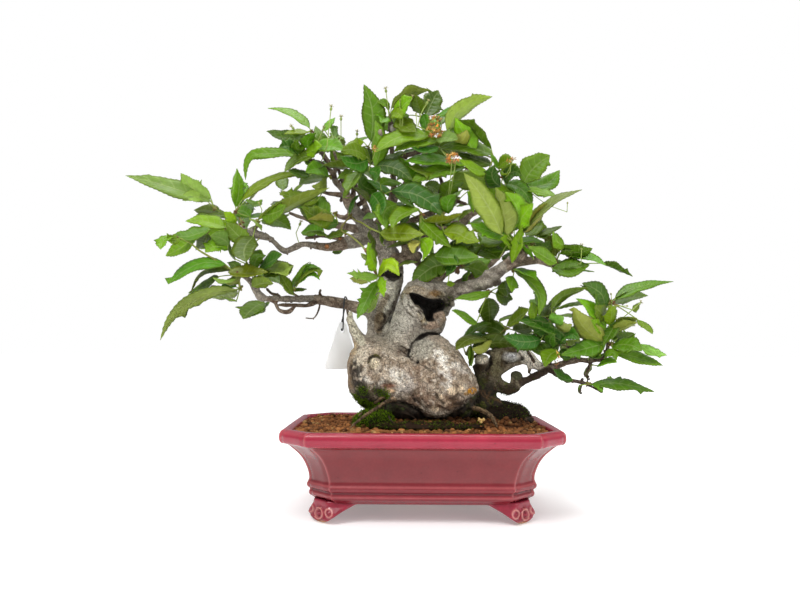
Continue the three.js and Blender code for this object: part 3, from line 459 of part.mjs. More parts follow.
    [[112.5,77.1,322.5], 22.2, [0.38,-0.48,0.79], [[110.6,86.8,329.2],[108.3,98.5,341.1],[105.7,111.6,349.1],[102.7,126.5,352.5]]],
    [[112.5,77.1,322.5], 19.9, [0.02,0.43,0.90], [[120.8,80.6,320.6],[137.3,87.6,320.1],[153.3,94.3,315.1],[168.6,100.8,305]]],
    [[114.4,81.2,331.4], 21.6, [-0.17,-0.51,0.85], [[121.4,89.9,338],[128.4,98.6,347.7],[136.1,108.1,353.8],[144.8,118.8,355.9]]],
    [[114.4,81.2,331.4], 19.3, [0.15,0.23,0.96], [[111.5,91.8,329.3],[107,109,329],[102.5,125.7,324.4],[98.2,141.7,314.5]]],
    [[114.4,81.2,331.4], 17.5, [0.49,0.05,0.87], [[104.9,84.1,336.6],[92,88,347],[78.1,92.3,353.3],[62.6,96.9,354.8]]],
  ],
  leaf_cluster_44: [
    [[4.7,78,398], 21.5, [0.12,0.03,0.99], [[5.2,90.9,397.5],[5.8,106.1,399.5],[6.4,121.2,397.6],[7,136.2,391.2]]],
    [[6.9,82.5,407.8], 21.3, [0.10,-0.44,0.89], [[7.3,90.7,411.8],[8,104.9,422],[8.7,120.1,428],[9.5,136.9,429]]],
    [[6.9,82.5,407.8], 19.4, [0.02,-0.02,1.00], [[16,92.5,407.9],[26.2,103.8,410.5],[36.5,115.1,409.2],[46.7,126.4,403.3]]],
    [[9.1,87.1,417.6], 18.3, [-0.14,-0.05,0.99], [[-0.1,97.5,416.8],[-10.7,109.6,418.6],[-21.2,121.6,416.4],[-31.7,133.5,409.3]]],
    [[9.1,87.1,417.6], 20.4, [-0.37,-0.29,0.88], [[17.1,97.2,424.4],[25.6,107.9,435],[34.9,119.5,441.5],[45.2,132.4,443.1]]],
    [[11,91.2,426.5], 19.2, [0.18,-0.48,0.86], [[5.9,100,432.5],[-0.3,110.6,443.1],[-7.1,122.2,449.9],[-14.7,135.3,452.1]]],
    [[11,91.2,426.5], 21.4, [-0.43,-0.75,0.50], [[14.5,96.6,437.5],[17.4,101,453.3],[21.5,107.3,465.9],[27.2,116,475]]],
    [[11,91.2,426.5], 20.5, [0.23,0.26,0.94], [[13.5,103.5,422.4],[16.9,120.6,419.9],[20.1,137,413.1],[23.2,152.4,401.2]]],
  ],
  leaf_cluster_45: [
    [[-88.7,64,386.7], 18, [-0.05,-0.05,1.00], [[-90,73.3,387.1],[-92.3,90.5,390.9],[-94.7,107.8,390.3],[-97.1,125.3,384.3]]],
    [[-90.8,67.5,396.9], 19.3, [0.32,-0.43,0.85], [[-89.6,79.5,402.5],[-88.1,94,412.8],[-86.6,109.7,418.8],[-84.9,126.8,419.7]]],
    [[-90.8,67.5,396.9], 17.7, [0.01,0.23,0.97], [[-82.7,76.3,394.8],[-70.5,89.4,394.5],[-58.6,102.3,389.9],[-47.2,114.7,380]]],
    [[-92.8,71.1,407.1], 22.3, [-0.31,-0.21,0.93], [[-101.7,83,406.8],[-110.9,95.1,409],[-119.9,107.2,407.4],[-129,119.2,401.2]]],
    [[-92.8,71.1,407.1], 17.4, [0.21,-0.70,0.68], [[-96.3,76.8,414],[-101.3,84.8,428.6],[-107.2,94.5,439.4],[-114.5,106.3,445.9]]],
    [[-94.7,74.3,416.4], 18.7, [-0.23,-0.44,0.87], [[-83.5,81.7,423.1],[-74.1,87.9,431.5],[-63.9,94.6,436.6],[-52.6,102,437.6]]],
    [[-94.7,74.3,416.4], 21.4, [0.21,0.01,0.98], [[-107.9,79.9,419.2],[-123.2,86.4,425.4],[-138.9,93,427.2],[-155.2,99.9,423.7]]],
    [[-94.7,74.3,416.4], 17.9, [0.15,-0.19,0.97], [[-100.5,86.8,419.8],[-107.2,101.2,426.8],[-114.2,116.2,429.5],[-121.5,132,427]]],
  ],
  leaf_cluster_46: [
    [[142.7,62,188.5], 21.1, [0.16,-0.07,0.98], [[142,75.8,189.6],[141.1,91,193.6],[140.3,106.5,193.5],[139.4,122.2,188.8]]],
    [[147.2,66.6,197.4], 17.4, [0.21,-0.36,0.91], [[151.6,75,199.6],[159.2,89.2,206.5],[167,103.9,209.1],[175.2,119.3,206.4]]],
    [[147.2,66.6,197.4], 21.5, [0.08,-0.33,0.94], [[137.7,77.1,201.9],[127.6,88.2,209.6],[117.1,99.8,213.2],[105.8,112.2,211.8]]],
    [[151.7,71.2,206.3], 19.3, [-0.09,-0.59,0.80], [[149.2,82,213.9],[146.8,92.2,224.3],[144.2,103.5,231.3],[141.1,116.6,234.3]]],
    [[151.7,71.2,206.3], 22.8, [-0.54,-0.41,0.73], [[158.5,76.1,214.2],[165.8,81.3,226.4],[174.3,87.3,235.2],[184.5,94.6,240.3]]],
    [[155.7,75.5,214.4], 21.6, [0.11,0.08,0.99], [[166.5,79.5,212.9],[180.4,84.8,213.5],[194,89.9,210.3],[207.3,94.9,202.8]]],
    [[155.7,75.5,214.4], 19, [-0.14,-0.23,0.96], [[157.9,86.6,217.3],[160.8,102.3,224.6],[164,118.7,227.5],[167.2,136,225.2]]],
    [[155.7,75.5,214.4], 18, [0.76,-0.39,0.52], [[149.7,79.5,226.2],[145,82.7,242],[138.4,87.1,254.6],[129.4,93.1,263.6]]],
  ],
};
// green shoots that join two hubs of one cluster: [x, y, z, radius]
const SHOOTS = {
  leaf_cluster_05: [[[-191.1,-38,247.6,1.1],[-209.2,-42,259.8,1.1],[-231,-47,272.7,1],[-240.6,-50,280.6,0.9],[-253.6,-52,286.4,0.8]],[[-192.2,-42,248.3,1.3],[-192,-38,241.8,1.3],[-191.9,-34,235.3,1.3]]],
  leaf_cluster_09: [[[-130.4,2,385.4,1.2],[-127.8,6,400,1.2],[-125.2,10,417.5,1.2]]],
  leaf_cluster_23: [[[-80.7,4,321.7,0.9],[-73.1,-8,312.8,0.9],[-64.8,-16,308.1,1],[-55.7,-24,301.3,1],[-45.8,-30,296,1]]],
  leaf_cluster_24: [[[-77.1,0,320.9,0.9],[-87.2,-20,300.7,0.9],[-75.9,-26,292.2,1],[-62.5,-32,279.6,1.1],[-53.7,-36,263.2,1.2],[-47.2,-38,248.2,1.3]]],
  leaf_cluster_27: [[[98.1,-40,282.3,1.2],[95.5,-33,282.9,1.2],[92.9,-26,286.4,1.2]]],
  leaf_cluster_35: [[[131.8,-20,189.7,1.2],[135.4,-21,197.8,1.2],[139,-22,208.9,1.2]]],
  leaf_cluster_37: [[[197.2,-22,184.6,1.2],[198.7,-24,180,1.2],[200.2,-26,178.3,1.2]]],
  leaf_cluster_40: [[[-161.8,92,339.3,1.1],[-165.7,96.7,348.5,1],[-169.6,101.4,357.6,0.8],[-173.2,105.7,365.9,0.7]]],
  leaf_cluster_41: [[[-210.5,52,312.4,1.1],[-213.9,58.1,320.9,1],[-217.3,64.1,329.4,0.8],[-220.4,69.7,337.2,0.7]]],
  leaf_cluster_42: [[[27.1,104,325.8,1.1],[29.7,108.5,335.4,1],[32.3,113.1,345.1,0.8],[35,117.7,355.1,0.8]]],
  leaf_cluster_43: [[[108.5,68,302.8,1.1],[110.5,72.6,312.7,1],[112.5,77.1,322.5,0.8],[114.4,81.2,331.4,0.7]]],
  leaf_cluster_44: [[[4.7,78,398,1.1],[6.9,82.5,407.8,1],[9.1,87.1,417.6,0.8],[11,91.2,426.5,0.7]]],
  leaf_cluster_45: [[[-88.7,64,386.7,1.1],[-90.8,67.5,396.9,1],[-92.8,71.1,407.1,0.8],[-94.7,74.3,416.4,0.7]]],
  leaf_cluster_46: [[[142.7,62,188.5,1.1],[147.2,66.6,197.4,1],[151.7,71.2,206.3,0.8],[155.7,75.5,214.4,0.7]]],
};

// ------------------------------------------------------------------- helpers
function solidOf(geometry) {
  const g = geometry.index ? geometry.clone() : geometry.clone();
  g.deleteAttribute('normal');
  g.deleteAttribute('uv');
  const merged = mergeVertices(g, 1e-4);
  return new wasm.Manifold(new wasm.Mesh({
    numProp: 3,
    vertProperties: new Float32Array(merged.attributes.position.array),
    triVerts: new Uint32Array(merged.index.array),
  }));
}
function geometryOf(solid) {
  const mesh = solid.getMesh();
  const g = new THREE.BufferGeometry();
  g.setAttribute('position', new THREE.BufferAttribute(new Float32Array(mesh.vertProperties), 3));
  g.setIndex(new THREE.BufferAttribute(new Uint32Array(mesh.triVerts), 1));
  g.computeVertexNormals();
  return g;
}
const join = (list) => list.reduce((a, b) => (a ? a.add(b) : b), null);
function largest(solid) {
  const parts = solid.decompose();
  return parts.reduce((a, b) => (b.volume() > a.volume() ? b : a));
}
function boxesMeet(a, b) {
  const p = a.boundingBox(), q = b.boundingBox();
  for (let i = 0; i < 3; i++) if (p.max[i] < q.min[i] || q.max[i] < p.min[i]) return false;
  return true;
}
// a closed skin over rings of points; each ring is an array of Vector3
function loft(rings, closeLoop = false) {
  const n = rings[0].length, pos = [], idx = [];
  for (const ring of rings) for (const p of ring) pos.push(p.x, p.y, p.z);
  const last = closeLoop ? rings.length : rings.length - 1;
  for (let i = 0; i < last; i++) {
    const a0 = i * n, b0 = ((i + 1) % rings.length) * n;
    for (let j = 0; j < n; j++) {
      const k = (j + 1) % n;
      idx.push(a0 + j, a0 + k, b0 + k, a0 + j, b0 + k, b0 + j);
    }
  }
  if (!closeLoop) {
    for (let j = 1; j < n - 1; j++) idx.push(0, j + 1, j);
    const b = (rings.length - 1) * n;
    for (let j = 1; j < n - 1; j++) idx.push(b, b + j, b + j + 1);
  }
  const g = new THREE.BufferGeometry();
  g.setAttribute('position', new THREE.BufferAttribute(new Float32Array(pos), 3));
  g.setIndex(idx);
  return g;
}
function outward(solidGeometry) {
  const s = solidOf(solidGeometry);
  if (s.volume() > 0) return s;
  const g = solidGeometry.clone();
  const id = Array.from(g.index.array);
  for (let i = 0; i < id.length; i += 3) { const t = id[i]; id[i] = id[i + 1]; id[i + 1] = t; }
  g.setIndex(id);
  return solidOf(g);
}
// a tapered branch: rings square to the run of [x, y, z, r] stations
function branch(stations, sides = TUBE_SIDES, extra = 0) {
  const pts = stations.map((s) => new THREE.Vector3(s[0], s[1], s[2]));
  const rings = [];
  let side = new THREE.Vector3(0.13, 1, 0.21).normalize();
  for (let i = 0; i < pts.length; i++) {
    const t = new THREE.Vector3().subVectors(pts[Math.min(i + 1, pts.length - 1)], pts[Math.max(i - 1, 0)]).normalize();
    const u = side.clone().addScaledVector(t, -side.dot(t)).normalize();
    side = u.clone();
    const v = new THREE.Vector3().crossVectors(t, u);
    const c = pts[i].clone();
    if (extra && i === 0) c.addScaledVector(t, -extra);
    if (extra && i === pts.length - 1) c.addScaledVector(t, extra);
    const ring = [];
    for (let j = 0; j < sides; j++) {
      const a = (2 * Math.PI * j) / sides, r = stations[i][3] + extra;
      ring.push(c.clone().addScaledVector(u, Math.cos(a) * r).addScaledVector(v, Math.sin(a) * r));
    }
    rings.push(ring);
  }
  return outward(loft(rings));
}
function burl(centre, radii, tilt, extra = 0, w = 9, h = 6) {
  const g = new THREE.SphereGeometry(1, w, h);
  g.scale(radii[0] + extra, radii[1] + extra, radii[2] + extra);
  g.rotateY(THREE.MathUtils.degToRad(tilt));
  g.translate(centre[0], centre[1], centre[2]);
  return solidOf(g);
}
// eight-cornered rectangle of the pot at one level
function octagon([half, z, chamfer], grow = 0) {
  const x = half + grow, y = half - POT_DEPTH_LESS + grow, c = chamfer + grow * 0.586;
  return [[x, -(y - c)], [x, y - c], [x - c, y], [-(x - c), y], [-x, y - c], [-x, -(y - c)], [-(x - c), -y], [x - c, -y]]
    .map((p) => new THREE.Vector3(p[0], p[1], z));
}
function innerAt(z) {
  for (let i = 0; i < INNER.length - 1; i++) {
    const a = INNER[i], b = INNER[i + 1];
    if (z <= a[1] && z >= b[1]) {
      const t = (a[1] - z) / (a[1] - b[1]);
      return [a[0] + (b[0] - a[0]) * t, z, a[2] + (b[2] - a[2]) * t];
    }
  }
  return z > RIM_Z ? INNER[0] : INNER[INNER.length - 1];
}
function extrudeXY(points, z0, z1) {
  const s = new THREE.Shape(points.map((p) => new THREE.Vector2(p[0], p[1])));
  const g = new THREE.ExtrudeGeometry(s, { depth: z1 - z0, bevelEnabled: false });
  g.translate(0, 0, z0);
  return g;
}

// ---------------------------------------------------------------------- pot
function makePot() {
  let pot = outward(loft([...OUTER, ...INNER].map((p) => octagon(p))));
  for (const x of [-DRAIN_X, DRAIN_X]) {
    const hole = new THREE.CylinderGeometry(DRAIN_R, DRAIN_R, 24, 16);
    hole.rotateX(Math.PI / 2);
    hole.translate(x, 0, 22);
    pot = pot.subtract(solidOf(hole));
  }
  // a cloud foot under each corner: a band that follows the corner, cut by the
  // foot's outline seen from the front and from the side
  const outline = [[107, 22], [110.6, 15.4], [113.4, 10.6], [115, 6.6], [113.8, 2.6], [109, 0], [97.4, 0], [94.6, 1.4], [88, 6.2], [78.6, 12.2], [71.5, 15.2], [69.6, 18.4], [64, 19.2], [64, 22]];
  const less = POT_DEPTH_LESS;
  const outer = octagon([115.4, 0, 25]).map((p) => [p.x, p.y]);
  const inner = octagon([96.5, 0, 16]).map((p) => [p.x, p.y]);
  const band = solidOf(extrudeXY(outer, 0, 21.4)).subtract(solidOf(extrudeXY(inner, -1, 23)));
  for (const sx of [-1, 1]) for (const sy of [-1, 1]) {
    const front = extrudeXY(outline, -130, 130);   // outline in x and z
    front.rotateX(Math.PI / 2);
    let f = solidOf(front);
    const side = extrudeXY(outline.map((p) => [p[0] - less, p[1]]), -130, 130);
    side.rotateX(Math.PI / 2);
    side.rotateZ(Math.PI / 2);
    let foot = band.intersect(f).intersect(solidOf(side));
    if (sx < 0) foot = foot.mirror([1, 0, 0]);
    if (sy < 0) foot = foot.mirror([0, 1, 0]);
    pot = pot.add(foot);
  }
  return pot;
}

// ---------------------------------------------------- what lies in the pot
function boxAt(w, d, h, x, y, z) {
  const g = new THREE.BoxGeometry(w, d, h);
  g.translate(x, y, z);
  return solidOf(g);
}
function makeMesh(x) {
  let net = boxAt(38, 32, 1.2, x, 0, FLOOR_Z + GAP + 0.6);
  for (let i = -1; i <= 1; i++) for (let j = -1; j <= 1; j++) net = net.subtract(boxAt(7.2, 6.4, 4, x + i * 9, j * 9.4, FLOOR_Z + 1));
  return net;
}
function makeWire(x) {
  const z0 = 18.1, z1 = FLOOR_Z + GAP + 1.2 + 0.8 + 0.45, r = 0.8;
  const line = [[-22, z0], [-11.5, z0], [-9, z0 + 2.2], [-9, z1 - 2], [-7, z1], [7, z1], [9, z1 - 2], [9, z0 + 2.2], [11.5, z0], [22, z0]];
  // the legs drop through the drain hole
  return branch(line.map((p) => [x + p[0] * 0.9, 0, p[1], r]), 6);
}
function fill(z0, z1) {
  const levels = [z0, ...INNER.map((p) => p[1]).filter((z) => z > z0 + 0.5 && z < z1 - 0.5).reverse(), z1];
  return outward(loft(levels.map((z) => octagon(innerAt(z), -GAP - 0.15).map((p) => p.setZ(z)))));
}

// -------------------------------------------------------------------- leaves
function blade([hub, width, normal, points], extra = 0) {
  const n = new THREE.Vector3(...normal);
  const src = points.map((p) => new THREE.Vector3(...p));
  const h = new THREE.Vector3(...hub);
  const stations = [];
  const d0 = new THREE.Vector3().subVectors(src[0], h);
  const start = d0.length() > 2.5 ? h : h.clone().addScaledVector(new THREE.Vector3().subVectors(src[1], h).normalize(), -0.4);
  stations.push([start, 0.75]);
  if (d0.length() > 9) stations.push([src[0].clone(), 0.8]);
  const curve = new THREE.CatmullRomCurve3(src, false, 'centripetal');
  const long = curve.getLength();
  const shape = src.length > 4 ? [[0.28, 0.9], [0.68, 0.9]] : [[0.46, 1]];
  for (const [t, k] of shape) stations.push([curve.getPointAt(t), (k * width) / 2]);
  const tip = curve.getPointAt(1);
  const rings = [];
  for (let i = 0; i < stations.length; i++) {
    const [p, half] = stations[i];
    const prev = stations[Math.max(i - 1, 0)][0], next = i + 1 < stations.length ? stations[i + 1][0] : tip;
    const t = new THREE.Vector3().subVectors(next, prev).normalize();
    const across = new THREE.Vector3().crossVectors(n, t).normalize();
    const up = new THREE.Vector3().crossVectors(t, across).normalize();
    const th = Math.min(BLADE_T, half) * 0.5 + extra;
    const w = half + extra;
    const c = p.clone().addScaledVector(t, i === 0 ? -extra : 0);
    rings.push([
      c.clone().addScaledVector(across, w).addScaledVector(up, th * 0.5),
      c.clone().addScaledVector(across, -w).addScaledVector(up, th * 0.5),
      c.clone().addScaledVector(up, -th - (i === 0 ? 0.35 : 0.2)),
    ]);
  }
  const t = new THREE.Vector3().subVectors(tip, stations[stations.length - 1][0]).normalize();
  const end = tip.clone().addScaledVector(t, extra);
  // the last ring runs to a point
  const pos = [], idx = [], m = rings.length;
  for (const ring of rings) for (const p of ring) pos.push(p.x, p.y, p.z);
  pos.push(end.x, end.y, end.z);
  for (let i = 0; i < m - 1; i++) for (let j = 0; j < 3; j++) {
    const k = (j + 1) % 3, a = i * 3, b = a + 3;
    idx.push(a + j, a + k, b + k, a + j, b + k, b + j);
  }
  idx.push(0, 2, 1);
  for (let j = 0; j < 3; j++) idx.push((m - 1) * 3 + j, (m - 1) * 3 + ((j + 1) % 3), m * 3);
  const g = new THREE.BufferGeometry();
  g.setAttribute('position', new THREE.BufferAttribute(new Float32Array(pos), 3));
  g.setIndex(idx);
  return outward(g);
}
function makeCluster(name, extra = 0) {
  const bits = [], seen = new Set();
  for (const leaf of CLUSTERS[name]) {
    bits.push(blade(leaf, extra));
    const key = leaf[0].join();
    if (!seen.has(key) && !(SHOOTS[name] && SHOOTS[name].length === 1 && CLUSTERS[name].length > 7)) {
      seen.add(key);
      const g = new THREE.TetrahedronGeometry(3.3 + extra * 2);
      g.translate(...leaf[0]);
      bits.push(solidOf(g));
    }
  }
  for (const s of SHOOTS[name] || []) bits.push(branch(s, 3, extra));
  return join(bits);
}

// ---------------------------------------------------------------------- tree
function makeTree(extra = 0) {
  const bits = WOOD.map(([, st]) => branch(st, st[0][3] > 11 ? 7 : st[0][3] > 5 ? 5 : 4, extra));
  for (const [, c, r, tilt] of BURLS) bits.push(burl(c, r, tilt, extra));
  // buried root stock
  bits.push(burl([2, 8, 84], [62, 40, 24], 0, extra, 11, 6));
  bits.push(burl([6, 10, 70], [40, 30, 22], 0, extra, 8, 5));
  bits.push(burl([88, 16, 84], [22, 18, 26], 0, extra, 8, 5));
  return join(bits);
}
const HOLLOW = [
  { c: HOLLOW_AT, r: [15, 17, 11.5], tilt: 30 },
];
function cutHollow(tree) {
  for (const h of HOLLOW) tree = tree.subtract(burl(h.c, h.r, h.tilt, 0, 9, 6));
  return largest(tree);
}

// ---------------------------------------------------------- tag and its cord
const tagPlane = new THREE.Matrix4().makeRotationZ(THREE.MathUtils.degToRad(TAG_YAW));
function makeTag() {
  // origin at the hole's centre, the tag hangs down; rounded lower corners
  const s = new THREE.Shape();
  s.moveTo(-3.6, 9.2); s.lineTo(-5.2, 6.6);
  s.lineTo(-22.6, -36.6); s.quadraticCurveTo(-24.4, -43.4, -18.4, -43.6);
  s.lineTo(18.4, -43.6); s.quadraticCurveTo(24.4, -43.4, 22.6, -36.6);
  s.lineTo(5.2, 6.6); s.lineTo(3.6, 9.2); s.closePath();
  const hole = new THREE.Path();
  hole.absarc(0, 0, 2.5, 0, Math.PI * 2, true);
  s.holes.push(hole);
  const g = new THREE.ExtrudeGeometry(s, { depth: TAG_T, bevelEnabled: false, curveSegments: 5 });
  g.translate(0, 0, -TAG_T / 2);
  g.rotateX(Math.PI / 2);
  g.applyMatrix4(tagPlane);
  g.translate(...TAG_HOLE);
  return solidOf(g);
}
function makeCord() {
  const pts = CORD_PATH.map((p) => new THREE.Vector3(p[0] + CORD_AT[0], p[1] + CORD_AT[1], p[2] + CORD_AT[2]));
  const curve = new THREE.CatmullRomCurve3(pts, false, 'centripetal');
  const circle = new THREE.Shape();
  for (let i = 0; i < 8; i++) {
    const a = (i * Math.PI) / 4;
    if (i) circle.lineTo(Math.cos(a) * CORD_R, Math.sin(a) * CORD_R);
    else circle.moveTo(CORD_R, 0);
  }
  circle.closePath();
  return solidOf(new THREE.ExtrudeGeometry(circle, { steps: 24, extrudePath: curve, bevelEnabled: false }));
}

// ----------------------------------------------------------------- assembly
const colours = {
  pot: [0x9c4a5c, 0.25], net: [0x2c2e30, 0.6], wire: [0x8a8d90, 0.4], grit: [0x9a8a72, 0.95], soil: [0x6f4a30, 0.95],
  moss: [0x4a5c22, 0.95], wood: [0x8d8478, 0.85], leaf: [0x4f8a24, 0.5], tag: [0xf2f2ee, 0.4], cord: [0x1c1c1e, 0.6],
};
const group = new THREE.Group();
function addPiece(name, solid, look) {
  const material = new THREE.MeshStandardMaterial({ color: colours[look][0], roughness: colours[look][1], metalness: look === 'wire' ? 0.9 : 0 });
  const mesh = new THREE.Mesh(geometryOf(solid), material);
  mesh.name = name;
  group.add(mesh);
  return mesh;
}

const treeFull = makeTree();
const tree = cutHollow(treeFull);
const treeGrown = makeTree(GAP);

addPiece('pot', makePot(), 'pot');
const nets = [['left', -DRAIN_X], ['right', DRAIN_X]];
for (const [side, x] of nets) {
  addPiece('drain_mesh_' + side, makeMesh(x), 'net');
  addPiece('mesh_wire_' + side, makeWire(x), 'wire');
}
let grit = fill(FLOOR_Z + GAP, DRAINAGE_TOP);
for (const [, x] of nets) {
  const g = new THREE.BoxGeometry(39.4, 33.4, 8);
  g.translate(x, 0, FLOOR_Z + 0.2);
  grit = grit.subtract(solidOf(g));
}
addPiece('drainage_layer', largest(grit.subtract(treeGrown)), 'grit');

// soil with a low mound round the trunk
const moundA = burl([8, 2, 86], [104, 66, 10.5], 0, 0, 12, 6);
const moundB = burl([86, 14, 86], [40, 44, 14], 0, 0, 9, 6);
const limit = solidOf(extrudeXY(octagon(innerAt(86), -GAP - 0.6).map((p) => [p.x, p.y]), 60, 140));
const flat = fill(DRAINAGE_TOP + GAP, SOIL_EDGE_Z);
let soilFull = join([flat, moundA.intersect(limit), moundB.intersect(limit)]);
const soil = largest(soilFull.subtract(treeGrown));
addPiece('soil', soil, 'soil');

// moss pads: low domes on the soil
const soilGrown = join([fill(DRAINAGE_TOP, SOIL_EDGE_Z + GAP), burl([8, 2, 86], [104, 66, 10.5], 0, GAP, 12, 6), burl([86, 14, 86], [40, 44, 14], 0, GAP, 9, 6)]);
const mossDone = [];
function moss(name, centre, radii, tilt) {
  let s = burl(centre, radii, tilt, 0, 10, 6).subtract(soilGrown).subtract(treeGrown);
  for (const m of mossDone) s = s.subtract(m);
  addPiece(name, largest(s), 'moss');
  mossDone.push(burl(centre, radii, tilt, GAP, 10, 6));
}
for (const [n, c, r, t] of MOSS) moss(n, c, r, t);

addPiece('tree', tree, 'wood');

const tag = makeTag(), cord = makeCord();
addPiece('label_tag', largest(tag.subtract(treeGrown)), 'tag');
addPiece('tag_loop', cord, 'cord');

const keepOut = [];
for (const name of Object.keys(CLUSTERS)) {
  let s = makeCluster(name);
  s = s.subtract(treeGrown);
  for (const k of keepOut) if (boxesMeet(s, k)) s = s.subtract(k);
  s = largest(s);
  addPiece(name, s, 'leaf');
  keepOut.push(makeCluster(name, GAP));
}

// stand the whole on the origin: bottom centre of everything but the hanging tag
const box = new THREE.Box3();
for (const mesh of group.children) {
  if (mesh.name === 'label_tag' || mesh.name === 'tag_loop') continue;
  mesh.geometry.computeBoundingBox();
  box.union(mesh.geometry.boundingBox);
}
const shift = new THREE.Vector3(-(box.min.x + box.max.x) / 2, -(box.min.y + box.max.y) / 2, -box.min.z);
for (const mesh of group.children) mesh.position.copy(shift);

export default group;
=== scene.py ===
import math

import bpy
import numpy as np
import openvdb
from mathutils import Matrix, Vector
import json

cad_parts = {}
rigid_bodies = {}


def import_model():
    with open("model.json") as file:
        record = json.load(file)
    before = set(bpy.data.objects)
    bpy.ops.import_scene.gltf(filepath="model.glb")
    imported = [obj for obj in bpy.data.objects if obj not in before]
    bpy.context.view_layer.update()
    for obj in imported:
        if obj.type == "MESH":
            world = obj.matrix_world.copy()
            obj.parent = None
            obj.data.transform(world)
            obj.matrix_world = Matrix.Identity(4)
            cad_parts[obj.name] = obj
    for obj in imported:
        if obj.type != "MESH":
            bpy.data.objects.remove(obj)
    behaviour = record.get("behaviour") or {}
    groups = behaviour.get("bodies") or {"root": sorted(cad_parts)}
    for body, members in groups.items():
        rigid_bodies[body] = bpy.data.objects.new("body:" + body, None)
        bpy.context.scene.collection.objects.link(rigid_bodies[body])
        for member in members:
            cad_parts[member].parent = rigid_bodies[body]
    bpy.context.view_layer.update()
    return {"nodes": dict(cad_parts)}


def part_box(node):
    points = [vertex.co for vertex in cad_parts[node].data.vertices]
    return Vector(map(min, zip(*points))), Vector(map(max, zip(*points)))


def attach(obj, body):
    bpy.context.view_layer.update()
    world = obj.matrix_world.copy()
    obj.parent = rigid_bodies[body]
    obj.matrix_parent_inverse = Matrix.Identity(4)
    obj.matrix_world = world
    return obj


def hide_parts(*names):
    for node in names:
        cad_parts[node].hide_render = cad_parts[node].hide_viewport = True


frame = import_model()

# Everything below is laid out in millimetres round the pot's own centre; SHIFT carries it to the row frame.
_lo, _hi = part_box("pot")
SHIFT = np.array([(_lo[0] + _hi[0]) / 2, (_lo[1] + _hi[1]) / 2, 0.0]) * 1000.0


def metres(v):
    return (np.asarray(v, dtype=np.float64) + SHIFT) / 1000.0


# ------------------------------------------------------------------ the camera
FOCAL, EYE = 680.44, np.array([-17.3, -748.25, 179.0])
YAW, PITCH, ROLL = -0.008, 0.054, 0.005


def camera_axes():
    r = np.array([math.cos(YAW), -math.sin(YAW), 0.0])
    f = np.array([math.sin(YAW), math.cos(YAW), 0.0])
    z = np.array([0.0, 0.0, 1.0])
    f2 = f * math.cos(PITCH) + z * math.sin(PITCH)
    u2 = z * math.cos(PITCH) - f * math.sin(PITCH)
    r3 = r * math.cos(ROLL) + u2 * math.sin(ROLL)
    u3 = u2 * math.cos(ROLL) - r * math.sin(ROLL)
    return r3, u3, f2


R3, U3, F2 = camera_axes()


def pixel(p):
    """Where a point falls in the 800 by 611 frame."""
    d = np.asarray(p) - EYE
    w = d @ F2
    return 400 + FOCAL * (d @ R3) / w, 305.5 - FOCAL * (d @ U3) / w


def ray(px, py):
    d = F2 + R3 * (px - 400) / FOCAL + U3 * (305.5 - py) / FOCAL
    return d / np.linalg.norm(d)


def at_depth(px, py, y):
    d = ray(px, py)
    return EYE + d * ((y - EYE[1]) / d[1])


def make_camera():
    data = bpy.data.cameras.new("camera")
    data.sensor_fit, data.sensor_width = "HORIZONTAL", 36.0
    data.lens = FOCAL / 800 * 36.0
    data.clip_start, data.clip_end = 0.01, 50.0
    cam = bpy.data.objects.new("camera", data)
    bpy.context.scene.collection.objects.link(cam)
    e = metres(EYE)
    m = Matrix.Identity(4)
    for i in range(3):
        m[i][0], m[i][1], m[i][2], m[i][3] = R3[i], U3[i], -F2[i], e[i]
    cam.matrix_world = m
    bpy.context.scene.camera = cam


make_camera()


# --------------------------------------------------------------- mesh helpers
def new_object(name, verts_mm, faces, material, colours=None, extra=None, smooth=True, mats=None, face_mat=None):
    """faces is a list of integer arrays, each (n, 3) or (n, 4)."""
    co = metres(verts_mm).astype(np.float32)
    me = bpy.data.meshes.new(name)
    me.vertices.add(len(co))
    me.vertices.foreach_set("co", co.ravel())
    counts = np.concatenate([np.full(len(f), f.shape[1], np.int32) for f in faces])
    loops = np.concatenate([np.asarray(f, np.int32).ravel() for f in faces])
    me.loops.add(len(loops))
    me.loops.foreach_set("vertex_index", loops)
    me.polygons.add(len(counts))
    start = np.concatenate([[0], np.cumsum(counts)[:-1]]).astype(np.int32)
    me.polygons.foreach_set("loop_start", start)
    me.polygons.foreach_set("loop_total", counts)
    if face_mat is not None:
        me.polygons.foreach_set("material_index", np.asarray(face_mat, np.int32))
    me.update(calc_edges=True)
    me.validate()
    me.polygons.foreach_set("use_smooth", np.full(len(me.polygons), smooth))
    if colours is not None:
        a = me.color_attributes.new("tint", "FLOAT_COLOR", "POINT")
        rgba = np.ones((len(co), 4), np.float32)
        rgba[:, :3] = colours
        a.data.foreach_set("color", rgba.ravel())
    if extra is not None:
        a = me.attributes.new("place", "FLOAT_VECTOR", "POINT")
        a.data.foreach_set("vector", np.asarray(extra, np.float32).ravel())
    ob = bpy.data.objects.new(name, me)
    bpy.context.scene.collection.objects.link(ob)
    for m in mats or [material]:
        me.materials.append(m)
    return ob


